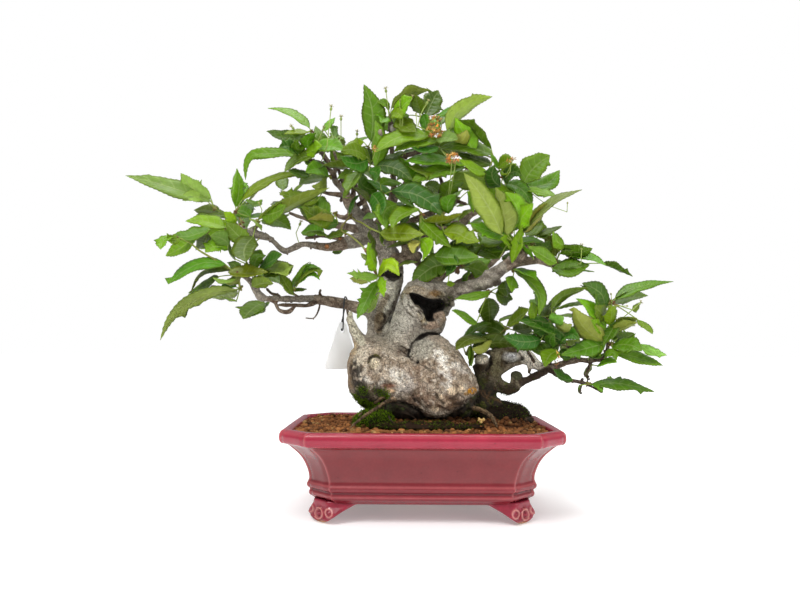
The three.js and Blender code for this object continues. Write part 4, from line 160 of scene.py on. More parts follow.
class Heap:
    """Gathers many small closed shells into one mesh."""

    def __init__(self):
        self.v, self.t, self.q, self.c, self.e, self.n = [], [], [], [], [], 0

    def add(self, v, tris=None, quads=None, colour=(1, 1, 1), extra=(0, 0, 0)):
        v = np.asarray(v, float)
        k = len(v)
        if tris is not None and len(tris):
            self.t.append(np.asarray(tris, np.int64) + self.n)
        if quads is not None and len(quads):
            self.q.append(np.asarray(quads, np.int64) + self.n)
        self.v.append(v)
        self.c.append(np.broadcast_to(np.asarray(colour, float), (k, 3)))
        self.e.append(np.broadcast_to(np.asarray(extra, float), (k, 3)))
        self.n += k

    def build(self, name, material, smooth=True):
        faces = []
        if self.t:
            faces.append(np.concatenate(self.t))
        if self.q:
            faces.append(np.concatenate(self.q))
        return new_object(name, np.concatenate(self.v), faces, material, np.concatenate(self.c), np.concatenate(self.e), smooth)


def srgb(*c):
    c = np.asarray(c if len(c) > 1 else c[0], float) / 255.0
    return np.where(c <= 0.04045, c / 12.92, ((c + 0.055) / 1.055) ** 2.4)


def unit(v):
    v = np.asarray(v, float)
    return v / np.maximum(np.linalg.norm(v, axis=-1, keepdims=True), 1e-9)


def smoothstep(a, b, x):
    t = np.clip((x - a) / (b - a), 0, 1)
    return t * t * (3 - 2 * t)


def vnoise(p, scale, seed=0):
    """Smooth value noise from -1 to 1 at points p."""
    q = p / scale + seed * 7.31
    i = np.floor(q).astype(np.int64)
    f = q - i
    f = f * f * (3 - 2 * f)

    def cell(dx, dy, dz):
        n = ((i[..., 0] + dx) * 73856093) ^ ((i[..., 1] + dy) * 19349663) ^ ((i[..., 2] + dz) * 83492791) ^ (seed * 1274126177)
        n = ((n ^ (n >> 13)) * 1274126177) & 0xFFFFFFFF
        return ((n ^ (n >> 16)) & 0xFFFF) / 32767.5 - 1

    x, y, z = f[..., 0], f[..., 1], f[..., 2]
    out = 0
    for dx in (0, 1):
        wx = x if dx else 1 - x
        for dy in (0, 1):
            wy = y if dy else 1 - y
            for dz in (0, 1):
                out = out + wx * wy * (z if dz else 1 - z) * cell(dx, dy, dz)
    return out


def catmull(points, n):
    """n stations, evenly spaced by length, on a smooth curve through the points."""
    p = np.asarray(points, float)
    if len(p) == 2:
        return p[0] + (p[1] - p[0]) * np.linspace(0, 1, n)[:, None]
    a = np.vstack([2 * p[0] - p[1], p, 2 * p[-1] - p[-2]])
    fine = []
    for i in range(len(p) - 1):
        p0, p1, p2, p3 = a[i : i + 4]
        t = np.linspace(0, 1, 9)[:-1, None] if i < len(p) - 2 else np.linspace(0, 1, 9)[:, None]
        fine.append(0.5 * (2 * p1 + (p2 - p0) * t + (2 * p0 - 5 * p1 + 4 * p2 - p3) * t**2 + (3 * p1 - p0 - 3 * p2 + p3) * t**3))
    fine = np.vstack(fine)
    d = np.concatenate([[0], np.cumsum(np.linalg.norm(np.diff(fine[:, :3], axis=0), axis=1))])
    s = np.linspace(0, d[-1], n)
    return np.column_stack([np.interp(s, d, fine[:, k]) for k in range(fine.shape[1])])


def tube(points, sides=8, step=3.0, rough=0.0, seed=0, cap=0.9):
    """A closed tube through [x, y, z, r] stations: returns vertices, triangles, quads."""
    p = np.asarray(points, float)
    length = np.linalg.norm(np.diff(p[:, :3], axis=0), axis=1).sum()
    n = max(3, int(length / step) + 1)
    s = catmull(p, n)
    c, r = s[:, :3], np.maximum(s[:, 3], 0.15)
    t = unit(np.gradient(c, axis=0))
    side = np.array([0.13, 1.0, 0.21])
    rings = []
    ang = 2 * math.pi * np.arange(sides) / sides
    for i in range(n):
        u = unit(side - t[i] * (side @ t[i]))
        side = u
        v = np.cross(t[i], u)
        rings.append(c[i] + r[i] * (np.cos(ang)[:, None] * u + np.sin(ang)[:, None] * v))
    v = np.array(rings)
    if rough:
        k = vnoise(v, np.array([3.5, 3.5, 3.5]) if r.mean() < 2.5 else 6.0, seed) + 0.6 * vnoise(v, 2.2, seed + 3)
        v = c[:, None] + (v - c[:, None]) * (1 + rough * k)[..., None]
    v = v.reshape(-1, 3)
    a = np.arange(n - 1)[:, None] * sides
    j = np.arange(sides)[None]
    k = (j + 1) % sides
    quads = np.stack([a + j, a + k, a + sides + k, a + sides + j], -1).reshape(-1, 4)
    tips = np.array([c[0] - t[0] * r[0] * cap, c[-1] + t[-1] * r[-1] * cap])
    v = np.vstack([v, tips])
    m = n * sides
    tris = [[m, (q + 1) % sides, q] for q in range(sides)] + [[m + 1, (n - 1) * sides + q, (n - 1) * sides + (q + 1) % sides] for q in range(sides)]
    return v, np.array(tris), quads


def icosahedron():
    g = (1 + 5**0.5) / 2
    v = np.array([[-1, g, 0], [1, g, 0], [-1, -g, 0], [1, -g, 0], [0, -1, g], [0, 1, g], [0, -1, -g], [0, 1, -g], [g, 0, -1], [g, 0, 1], [-g, 0, -1], [-g, 0, 1]], float)
    f = np.array([[0, 11, 5], [0, 5, 1], [0, 1, 7], [0, 7, 10], [0, 10, 11], [1, 5, 9], [5, 11, 4], [11, 10, 2], [10, 7, 6], [7, 1, 8], [3, 9, 4], [3, 4, 2], [3, 2, 6], [3, 6, 8], [3, 8, 9], [4, 9, 5], [2, 4, 11], [6, 2, 10], [8, 6, 7], [9, 8, 1]])
    return unit(v), f


def ball(level):
    v, f = icosahedron()
    for _ in range(level):
        mid, nf, v = {}, [], list(v)
        for tri in f:
            m = []
            for a, b in ((tri[0], tri[1]), (tri[1], tri[2]), (tri[2], tri[0])):
                key = (min(a, b), max(a, b))
                if key not in mid:
                    mid[key] = len(v)
                    v.append(unit(v[a] + v[b]))
                m.append(mid[key])
            nf += [[tri[0], m[0], m[2]], [tri[1], m[1], m[0]], [tri[2], m[2], m[1]], m]
        v, f = np.array(v), np.array(nf)
    return v, f


ICO0, ICO1, ICO2 = ball(0), ball(1), ball(2)


# ------------------------------------------------------------------- materials
def material(name):
    m = bpy.data.materials.new(name)
    m.use_nodes = True
    t = m.node_tree
    t.nodes.clear()
    out = t.nodes.new("ShaderNodeOutputMaterial")
    return m, t, out


def node(t, kind, **values):
    n = t.nodes.new(kind)
    for k, v in values.items():
        if k in n.inputs:
            n.inputs[k].default_value = v
        else:
            setattr(n, k, v)
    return n


def ramp(t, fac, stops):
    n = t.nodes.new("ShaderNodeValToRGB")
    e = n.color_ramp.elements
    while len(e) < len(stops):
        e.new(0.5)
    for el, (pos, col) in zip(e, stops):
        el.position = pos
        el.color = (*col, 1) if len(col) == 3 else col
    t.links.new(fac, n.inputs["Fac"])
    return n.outputs["Color"]


def grey(v):
    return (v, v, v)


def noise(t, vec, scale, detail=3.0, rough=0.55, distortion=0.0):
    n = t.nodes.new("ShaderNodeTexNoise")
    n.inputs["Scale"].default_value = scale
    n.inputs["Detail"].default_value = detail
    n.inputs["Roughness"].default_value = rough
    n.inputs["Distortion"].default_value = distortion
    t.links.new(vec, n.inputs["Vector"])
    return n.outputs["Fac"]


def math_node(t, op, a, b=None, clamp=False):
    n = t.nodes.new("ShaderNodeMath")
    n.operation, n.use_clamp = op, clamp
    for i, x in enumerate((a, b)):
        if x is None:
            continue
        if isinstance(x, (int, float)):
            n.inputs[i].default_value = x
        else:
            t.links.new(x, n.inputs[i])
    return n.outputs[0]


def mix(t, fac, a, b, mode="MIX"):
    n = t.nodes.new("ShaderNodeMix")
    n.data_type, n.blend_type = "RGBA", mode
    for key, x in (("Factor", fac), ("A", a), ("B", b)):
        s = [i for i in n.inputs if i.name == key and (i.type == "RGBA" or key == "Factor" and i.type == "VALUE")][0]
        if isinstance(x, (int, float)):
            s.default_value = x
        elif isinstance(x, tuple):
            s.default_value = (*x, 1)
        else:
            t.links.new(x, s)
    return [o for o in n.outputs if o.type == "RGBA"][0]


def bump(t, height, strength, distance):
    n = t.nodes.new("ShaderNodeBump")
    n.inputs["Strength"].default_value = strength
    n.inputs["Distance"].default_value = distance
    t.links.new(height, n.inputs["Height"])
    return n.outputs["Normal"]


def attribute(t, name, output="Color"):
    n = t.nodes.new("ShaderNodeAttribute")
    n.attribute_name = name
    return n.outputs[output]


def principled(t, out):
    b = t.nodes.new("ShaderNodeBsdfPrincipled")
    t.links.new(b.outputs["BSDF"], out.inputs["Surface"])
    return b


def objvec(t):
    return t.nodes.new("ShaderNodeTexCoord").outputs["Object"]


# ------------------------------------------------------------------ the tables
POT_DEPTH_LESS, FLOOR_Z, BASE_Z, DRAIN_X, DRAIN_R = 40, 27.0, 19.4, 52, 11
OUTER = [
  [108.4, 19.4, 24], [111.0, 22.4, 24], [113.7, 24.4, 24.4], [114.6, 27.4, 24.5],
  [113.5, 30.6, 24], [115.8, 33, 24.7], [116.6, 35.6, 24.9], [115.4, 38.2, 23.6],
  [114.2, 42, 22.4], [115.2, 49, 22], [118.4, 58, 22.6], [123.2, 66, 24],
  [129.6, 73, 25.6], [134.2, 77.2, 26.6], [139.6, 79.2, 28], [141.6, 82.6, 28.6],
  [141.6, 87.4, 28.6], [140.4, 90.6, 28.2], [137.6, 92.4, 27.6],
]
INNER = [
  [133.4, 92.4, 26.4], [131.4, 90.6, 26], [130.6, 84, 25.6], [124.4, 74, 24],
  [113.6, 64, 21.6], [108.6, 54, 20], [106.6, 42, 19.6], [105.6, 34, 19.6], [102, 27, 19],
]
CORD_PATH = [[1.6, 7.6, -0.5], [1.4, 6.8, 4.5], [0.2, 1.5, 8.2], [-0.6, -4.2, 7.2], [-1.0, -7.2, 2.0], [-1.4, -7.2, -5],
  [-1.8, -5.4, -14], [-2.0, -3.6, -22], [-2.3, -2.4, -27.2], [-3.55, 0, -30.1], [-4.8, 2.4, -27.2], [-4.5, 3.6, -22], [-3.0, 5.8, -13], [-1.6, 7.6, -4.5]]
TAG_HOLE, TAG_YAW, CORD_AT = [-88.6, 19.5, 192.0], 40, [-85.1, 19.5, 221.7]
# wood: name, [x, y, z, radius] along it
WOOD = [
    ("stem", [[-41.1, 14, 174.8, 19], [-44.8, 20, 192.7, 15.5], [-44.9, 22, 206.4, 14.5], [-40.5, 23, 224.6, 13.8], [-34.9, 22, 241.6, 13.5], [-32.7, 20, 258.5, 13.5], [-36.1, 17, 275.2, 12.8], [-44, 14, 288.4, 11.5], [-55.3, 11, 302.7, 9.6], [-66.5, 9, 314.7, 8.2], [-76.6, 8, 328.1, 6.8], [-83.5, 8, 340.5, 5.6], [-87, 9, 349.8, 4.2], [-96.4, 11, 359.4, 2.9], [-98.8, 12, 368.8, 2.3], [-95.7, 14, 380.8, 1.9], [-99.5, 16, 395.2, 1.6]]),
    ("front", [[-26.3, 2, 157.3, 27], [-19.8, 0, 174.9, 25], [-13.3, -3, 191.4, 23.5], [-6.8, -5, 205.6, 24], [-1.4, -7, 218.6, 24.5], [-0.4, -7, 229.6, 20], [1.8, -6, 235.1, 12]]),
    ("right", [[-1.4, -6, 235.1, 9.5], [12.6, -9, 237.1, 9], [27.6, -13, 235.8, 8.2], [43.5, -17, 236.6, 8], [59.1, -22, 239.5, 7.6], [70.3, -27, 246.6, 7], [78.4, -30, 252.7, 7.2], [88.6, -33, 259.9, 6.6], [98.6, -36, 265.9, 6.2], [105.7, -38, 272, 4.6], [108.9, -38, 279.4, 2.6]]),
    ("rightb", [[96.5, -36, 263.8, 5.2], [109.5, -34, 265.2, 4.2], [122.9, -30, 266.8, 3.8], [134.3, -26, 264.1, 3.4], [143.7, -22, 261.4, 2.4], [155.8, -16, 264.3, 1.6]]),
    ("stubR", [[13.8, -8, 239.4, 7], [17.1, -6, 246.2, 5.5], [20.5, -4, 249.7, 4.2], [28.4, 0, 254.5, 2.2], [37.6, 5, 259.5, 1.7], [45.8, 10, 264.6, 1.5]]),
    ("lmid", [[-61.9, 10, 297.9, 8], [-73.8, 4, 291.4, 7.6], [-83.3, -1, 288.3, 6.6], [-94, -5, 284.4, 4.8], [-105.7, -8, 282.8, 3.6], [-116.4, -10, 284.1, 3.2], [-127.1, -12, 285.5, 2.8], [-135.5, -14, 283, 2.7], [-142.7, -16, 278.8, 2.9], [-148.8, -18, 276.9, 2.7], [-154.1, -19, 281.1, 2.5], [-160.5, -20, 287.4, 2.4], [-166.8, -21, 291.1, 2.7], [-175.3, -22, 293, 3.4], [-184, -22, 294.6, 4.4], [-190.5, -22, 297.9, 3.2], [-197.3, -21, 302.3, 2.2], [-204.4, -19, 309.2, 1.7], [-212.9, -16, 317.4, 1.4]]),
    ("lmid2", [[-81.2, 0, 290.7, 3], [-94, -6, 293.1, 2.2], [-105.6, -10, 294.6, 1.8], [-117.1, -14, 292.9, 1.6], [-125.5, -16, 291.4, 1.5]]),
    ("lmid3", [[-182.9, -22, 295.7, 2.2], [-177.8, -26, 302.6, 1.6], [-175.3, -28, 307.7, 1.4]]),
    ("llow", [[-43.8, 21, 208.6, 9], [-58.5, 21, 214.2, 6.6], [-71, 21, 217.5, 5.6], [-81.2, 20, 220.8, 4.8], [-89, 19, 222.4, 4.9], [-98.8, 15, 223.9, 5], [-108.3, 10, 225.2, 4.4], [-117.6, 4, 225.9, 4.2], [-127.7, -3, 226.5, 3.2], [-135.5, -9, 225.5, 2.8], [-144.3, -15, 225.1, 2.7], [-152.9, -21, 224.7, 2.6], [-161.4, -27, 224.3, 2.5], [-169.1, -31, 225.6, 3], [-174, -33, 231.2, 3.3], [-177.3, -33, 238.6, 3], [-182.7, -33, 243.9, 2.3], [-188.9, -34, 248, 1.7]]),
    ("llow2", [[-114.4, 5, 225.4, 2.6], [-122, -4, 219.9, 2.2], [-133.8, -12, 217.7, 2.1], [-144.6, -19, 218.4, 1.8], [-152.3, -24, 218.1, 1.4]]),
    ("llow3", [[-162.9, -30, 224.1, 1.8], [-157.2, -32, 220.8, 1.8], [-150.2, -35, 213.3, 1.8], [-144.7, -36, 209.6, 1.8], [-139.4, -36, 211.2, 1.8], [-133.4, -35, 216.5, 1.6]]),
    ("llow4", [[-112.4, 7, 224.4, 1.9], [-112.4, 6, 231.1, 1.6], [-111.7, 5, 236.6, 1.3]]),
    ("llow5", [[-112.4, 7, 223.3, 1.7], [-114.1, 4, 215.4, 1.4], [-119, 0, 204.1, 1.3], [-126.2, -4, 205, 1.2]]),
    ("llow6", [[-151, -20, 224.8, 1.7], [-155.1, -21, 227.9, 1.6], [-165.8, -22, 235.3, 1.5]]),
    ("llow7", [[-132.6, -7, 226.8, 1.5], [-138.4, -12, 230.8, 1.3], [-140.5, -16, 234.8, 1.2]]),
    ("dead", [[-60.4, 0, 172.5, 10], [-69.1, -3, 185.6, 7.2], [-74.7, -5, 196.5, 4.8], [-78.3, -6, 205.2, 3.4], [-77.3, -6, 210.1, 2.2]]),
    ("dead2", [[-76.7, -5, 200.9, 2.4], [-81, -1, 212, 1.5], [-82.5, 4, 222.2, 1.2]]),
    ("grey", [[-37.1, 12, 271.2, 6], [-23.6, 6, 272.8, 5.2], [-11.4, 0, 273.7, 5], [-3.7, -4, 273.8, 4.6]]),
    ("greyk", [[-8.1, -3, 271.7, 3.4], [-0.5, -8, 262.3, 3.2], [8.1, -12, 255.4, 2.9]]),
    ("greyt", [[-18, 3, 274.7, 3.8], [-18.1, 3, 283.6, 3.3], [-22.6, 3, 292.5, 2.6]]),
    ("rise1", [[-39.5, 14, 280.5, 4.6], [-31.5, 8, 293.2, 4], [-22.6, 2, 304.7, 3.6], [-13.8, -2, 311.8, 3.4], [-2.8, -6, 315.6, 3.2], [5.8, -10, 318.8, 3], [15.5, -14, 321.9, 2.4], [27.5, -14, 328.5, 1.9]]),
    ("rise2", [[-15.8, 4, 281.5, 4.2], [-5.8, 8, 290, 4.6], [5.5, 12, 298.5, 4.4], [18, 16, 306, 4.2], [34.1, 20, 311.3, 4.8], [45.6, 22, 313.4, 5.2], [53.8, 24, 322.5, 3.6], [63.2, 26, 328.7, 3], [74.9, 28, 334.9, 2]]),
    ("cr1", [[-77.8, 8, 329.2, 3.6], [-76.4, 3, 339.5, 3], [-75, -2, 351.9, 2.4], [-71.5, -5, 361.3, 2.1], [-69.2, -7, 368.6, 2.4]]),
    ("cr2", [[-55.3, 11, 302.7, 5], [-46.6, 16, 317.2, 4.2], [-36.6, 20, 335.2, 3.6], [-32.1, 22, 353, 3.2], [-32.2, 22, 369.2, 3], [-33.4, 20, 383.7, 2.8], [-34, 17, 397.9, 2.6], [-33.4, 13, 409.5, 2.4], [-34, 10, 421.2, 4], [-35.1, 9, 428.9, 2.2]]),
    ("cr3", [[-32.3, 20, 381.4, 3], [-23.1, 14, 389, 3.2], [-11.8, 8, 390.3, 3], [0.4, 3, 392.9, 3.2], [11.5, -1, 394.6, 2.6], [20.2, -4, 394.3, 1.8]]),
    ("cr4", [[-87, 9, 344.2, 3.2], [-97.7, 4, 344.2, 2.6], [-108.5, 0, 345.5, 1.8], [-114.8, -3, 347, 1.4]]),
    ("cr5", [[-96.4, 11, 361.7, 2.2], [-102.9, 8, 372.3, 2.2], [-111.8, 6, 377.5, 2.3], [-121.7, 4, 381.5, 2.6], [-129.4, 3, 385.7, 2.2]]),
    ("cr6", [[-102, 9, 378.3, 2], [-107.7, 9, 386.3, 2.4], [-114.5, 8, 395.1, 2.8], [-119, 8, 399.7, 1.6], [-123.8, 9, 409.1, 1.3], [-125.2, 10, 417.5, 1.2]]),
    ("cr7", [[-72.2, 8, 331.5, 3], [-61.8, 3, 338.4, 2.2], [-52.7, -1, 341, 1.7], [-42.6, -6, 335.5, 1.5], [-32.5, -10, 332.4, 1.6]]),
    ("cr8", [[29.4, 18, 322.4, 3.4], [24.6, 14, 336.5, 3], [21.1, 12, 344, 3.2], [23.2, 8, 355.6, 2.4], [20.7, 5, 364, 1.7]]),
    ("cr9", [[21.1, 12, 342.9, 2.6], [31, 8, 338.7, 2.2], [40.8, 4, 336.7, 2], [49.4, 0, 332.5, 1.6]]),
    ("cr10", [[-79.9, 8, 320.2, 3.4], [-85.9, 0, 316.4, 2.4], [-92, -6, 317.5, 1.7], [-96.1, -9, 320.2, 1.5]]),
    ("cr11", [[-33.4, 16, 401.1, 1.8], [-43.6, 14, 398.2, 1.5], [-56, 12, 396.4, 1.3], [-61.6, 11, 397.3, 1.2]]),
    ("cr12", [[-90.3, 9, 337.3, 2], [-89.6, 12, 350.5, 1.8], [-91.2, 16, 365.2, 1.7], [-96.4, 20, 387, 1.6]]),
    ("rt", [[88.6, 16, 110.8, 22], [85.3, 16, 124.1, 16], [83, 15, 139.7, 11.5], [84, 14, 153.1, 10.5], [86.1, 13, 165.4, 9.2], [92.7, 12, 171, 8], [102.4, 10, 171.1, 6.8], [109.8, 8, 168.9, 6.2], [116.1, 6, 163.5, 5.8], [122.3, 4, 157, 5.2], [128.4, 2, 153.2, 4.9], [135.7, 0, 151.7, 4.6], [143.8, -3, 153.5, 4], [152.9, -6, 156.3, 3.4], [164.1, -9, 159.7, 3], [179.3, -13, 161, 2.8], [189.1, -16, 162.2, 2.6], [195, -18, 164.4, 2.4], [198, -19, 170.8, 2.3], [198.3, -20, 177.2, 1.9], [199.4, -20, 185.7, 1.5]]),
    ("rta", [[88.2, 12, 147.7, 8.2], [94.7, 11, 153.3, 5.6], [103.3, 9, 156.7, 4.4], [112.9, 7, 159, 4.6]]),
    ("rtk", [[81.5, 12, 142.1, 9], [73, 6, 153.3, 11.5], [66, 2, 158.9, 12]]),
    ("rtlo", [[79.5, 14, 132, 10], [86.6, 9, 134.6, 7.2], [93.7, 5, 131.5, 6.6], [100.8, 1, 128.6, 6.4], [104.5, 0, 134.1, 5.6], [104.1, 1, 141.7, 6.8], [110.7, 1, 140.1, 5.4], [120.5, 1, 142.8, 4.2], [128.2, 1, 146.7, 4], [135.7, 0, 148.4, 4.2]]),
    ("rtlow2", [[135.7, 0, 149.5, 2.6], [142.7, -3, 147.5, 1.9], [152.8, -6, 142.3, 1.8], [163.9, -9, 138.2, 2], [171, -11, 137.3, 2.2], [180.9, -14, 135.4, 1.5]]),
    ("rtv", [[118.6, 2, 147.2, 2], [118.8, 3, 153.7, 2]]),
    ("rtt1", [[139.9, -1, 152.8, 2.2], [141, -6, 162.8, 1.7], [142.4, -10, 172.6, 1.5], [137.5, -13, 183.3, 1.4], [134, -15, 194, 1.5], [130.4, -17, 202.6, 1.2]]),
    ("rtt2", [[183.3, -14, 161, 1.8], [181.8, -8, 169.5, 1.6], [173.3, -3, 173.7, 1.4], [163.4, 1, 174.8, 1.3], [151.2, 5, 176.9, 1.3]]),
    ("rtt3", [[183.3, -14, 160, 1.6], [178.4, -16, 152.5, 1.4], [174.8, -17, 144, 1.4]]),
    ("rtt4", [[92.7, 12, 169.9, 4.4], [88.5, 14, 178.8, 3], [89.8, 15, 188.8, 2], [94.3, 15, 196.7, 1.5]]),
    ("rtt5", [[84.9, 12, 164.3, 3], [76.6, 8, 166.5, 1.7], [67.4, 5, 169.8, 1.4], [58.3, 2, 163.3, 1.4], [49.3, 0, 166.5, 1.3]]),
    ("rtt6", [[169.9, -11, 138.3, 1.4], [183, -14, 132.2, 1.2], [192.7, -17, 127.1, 1.5]]),
    ("rtt7", [[126.3, 2, 153.8, 1.8], [120.8, -4, 162.6, 1.5], [115.8, -8, 171.3, 1.4], [111.1, -10, 176.7, 1.2]]),
    ("root1", [[-18.4, -22, 122.1, 5], [-28.9, -30, 119.5, 3.2], [-37, -37, 117, 2.4], [-46, -46, 111.6, 2.2], [-55.7, -55, 106.4, 2], [-64.1, -64, 100.3, 1.8], [-71.6, -70, 94.1, 1.8]]),
    ("root2", [[-40.1, -36, 110.7, 1.8], [-38.7, -48, 102.7, 1.5], [-32.3, -57, 96.7, 1.3], [-25.2, -62, 91.4, 1.3]]),
    ("root3", [[43.8, -14, 115.4, 6], [56.9, -22, 109.4, 2.4], [67.6, -30, 105.5, 2], [73.3, -38, 100.7, 1.8], [77.2, -44, 92.7, 1.8]]),
    ("root4", [[-1.3, -18, 112.3, 6], [3.7, -30, 104.1, 3], [10.7, -40, 98, 2.2], [18.5, -48, 89.9, 2]]),
    ("bk_r1", [[-55.4, 14, 300.9, 6], [-75, 34, 309.8, 4.8], [-100.3, 54, 317.9, 3.8], [-126.6, 72, 325.8, 3], [-148, 84, 332.9, 2.2], [-161.8, 92, 339.3, 1.6]]),
    ("bk_r2", [[-161.6, -20, 288.5, 2.6], [-172.3, 0, 296, 2.2], [-186.1, 22, 304, 1.9], [-201.1, 42, 309.5, 1.6], [-210.5, 52, 312.4, 1.4]]),
    ("bk_r3", [[-34, 24, 263.5, 7], [-25.1, 45, 274.1, 5.6], [-10.9, 64, 288.5, 4.6], [5.1, 82, 303.3, 3.6], [18, 96, 315.5, 2.6], [27.1, 104, 325.8, 1.7]]),
    ("bk_r4", [[29.9, -12, 235.9, 5], [46.6, 6, 246.2, 4.4], [66.5, 26, 259.6, 3.8], [86, 44, 274.4, 3], [99.7, 58, 289.3, 2.2], [108.5, 68, 302.8, 1.6]]),
    ("bk_r5", [[-33.2, 21, 335.4, 3.6], [-26.6, 40, 353.5, 3], [-14.9, 56, 371.6, 2.6], [-2.8, 70, 387.3, 2], [4.7, 78, 398, 1.5]]),
    ("bk_r6", [[-55.4, 14, 306.6, 4.4], [-61.2, 34, 327.4, 3.4], [-69.3, 48, 350.3, 2.8], [-79.6, 58, 370.6, 2.2], [-88.7, 64, 386.7, 1.5]]),
    ("bk_r7", [[88.2, 20, 168.6, 5], [98.2, 34, 175.3, 3.8], [113.9, 46, 180, 3], [129.7, 56, 184.8, 2.2], [142.7, 62, 188.5, 1.6]]),
]
BLOBS = [
    ("burlL", [-46.1, 3, 150.6], [35, 37, 38], 0),
    ("burlL2", [-53.5, 0, 132.1], [25, 29, 22], 0),
    ("burlM", [-15.2, -4, 139.1], [35, 36, 31], 0),
    ("bulb", [21.6, -8, 142.8], [35, 39, 46], -33),
    ("bulb2", [36.9, -6, 125.5], [27, 30, 24], 0),
    ("base", [-7.4, 8, 113.2], [57, 38, 22], 0),
    ("knob", [67.1, 2, 158.9], [13, 13, 12.5], 0),
]
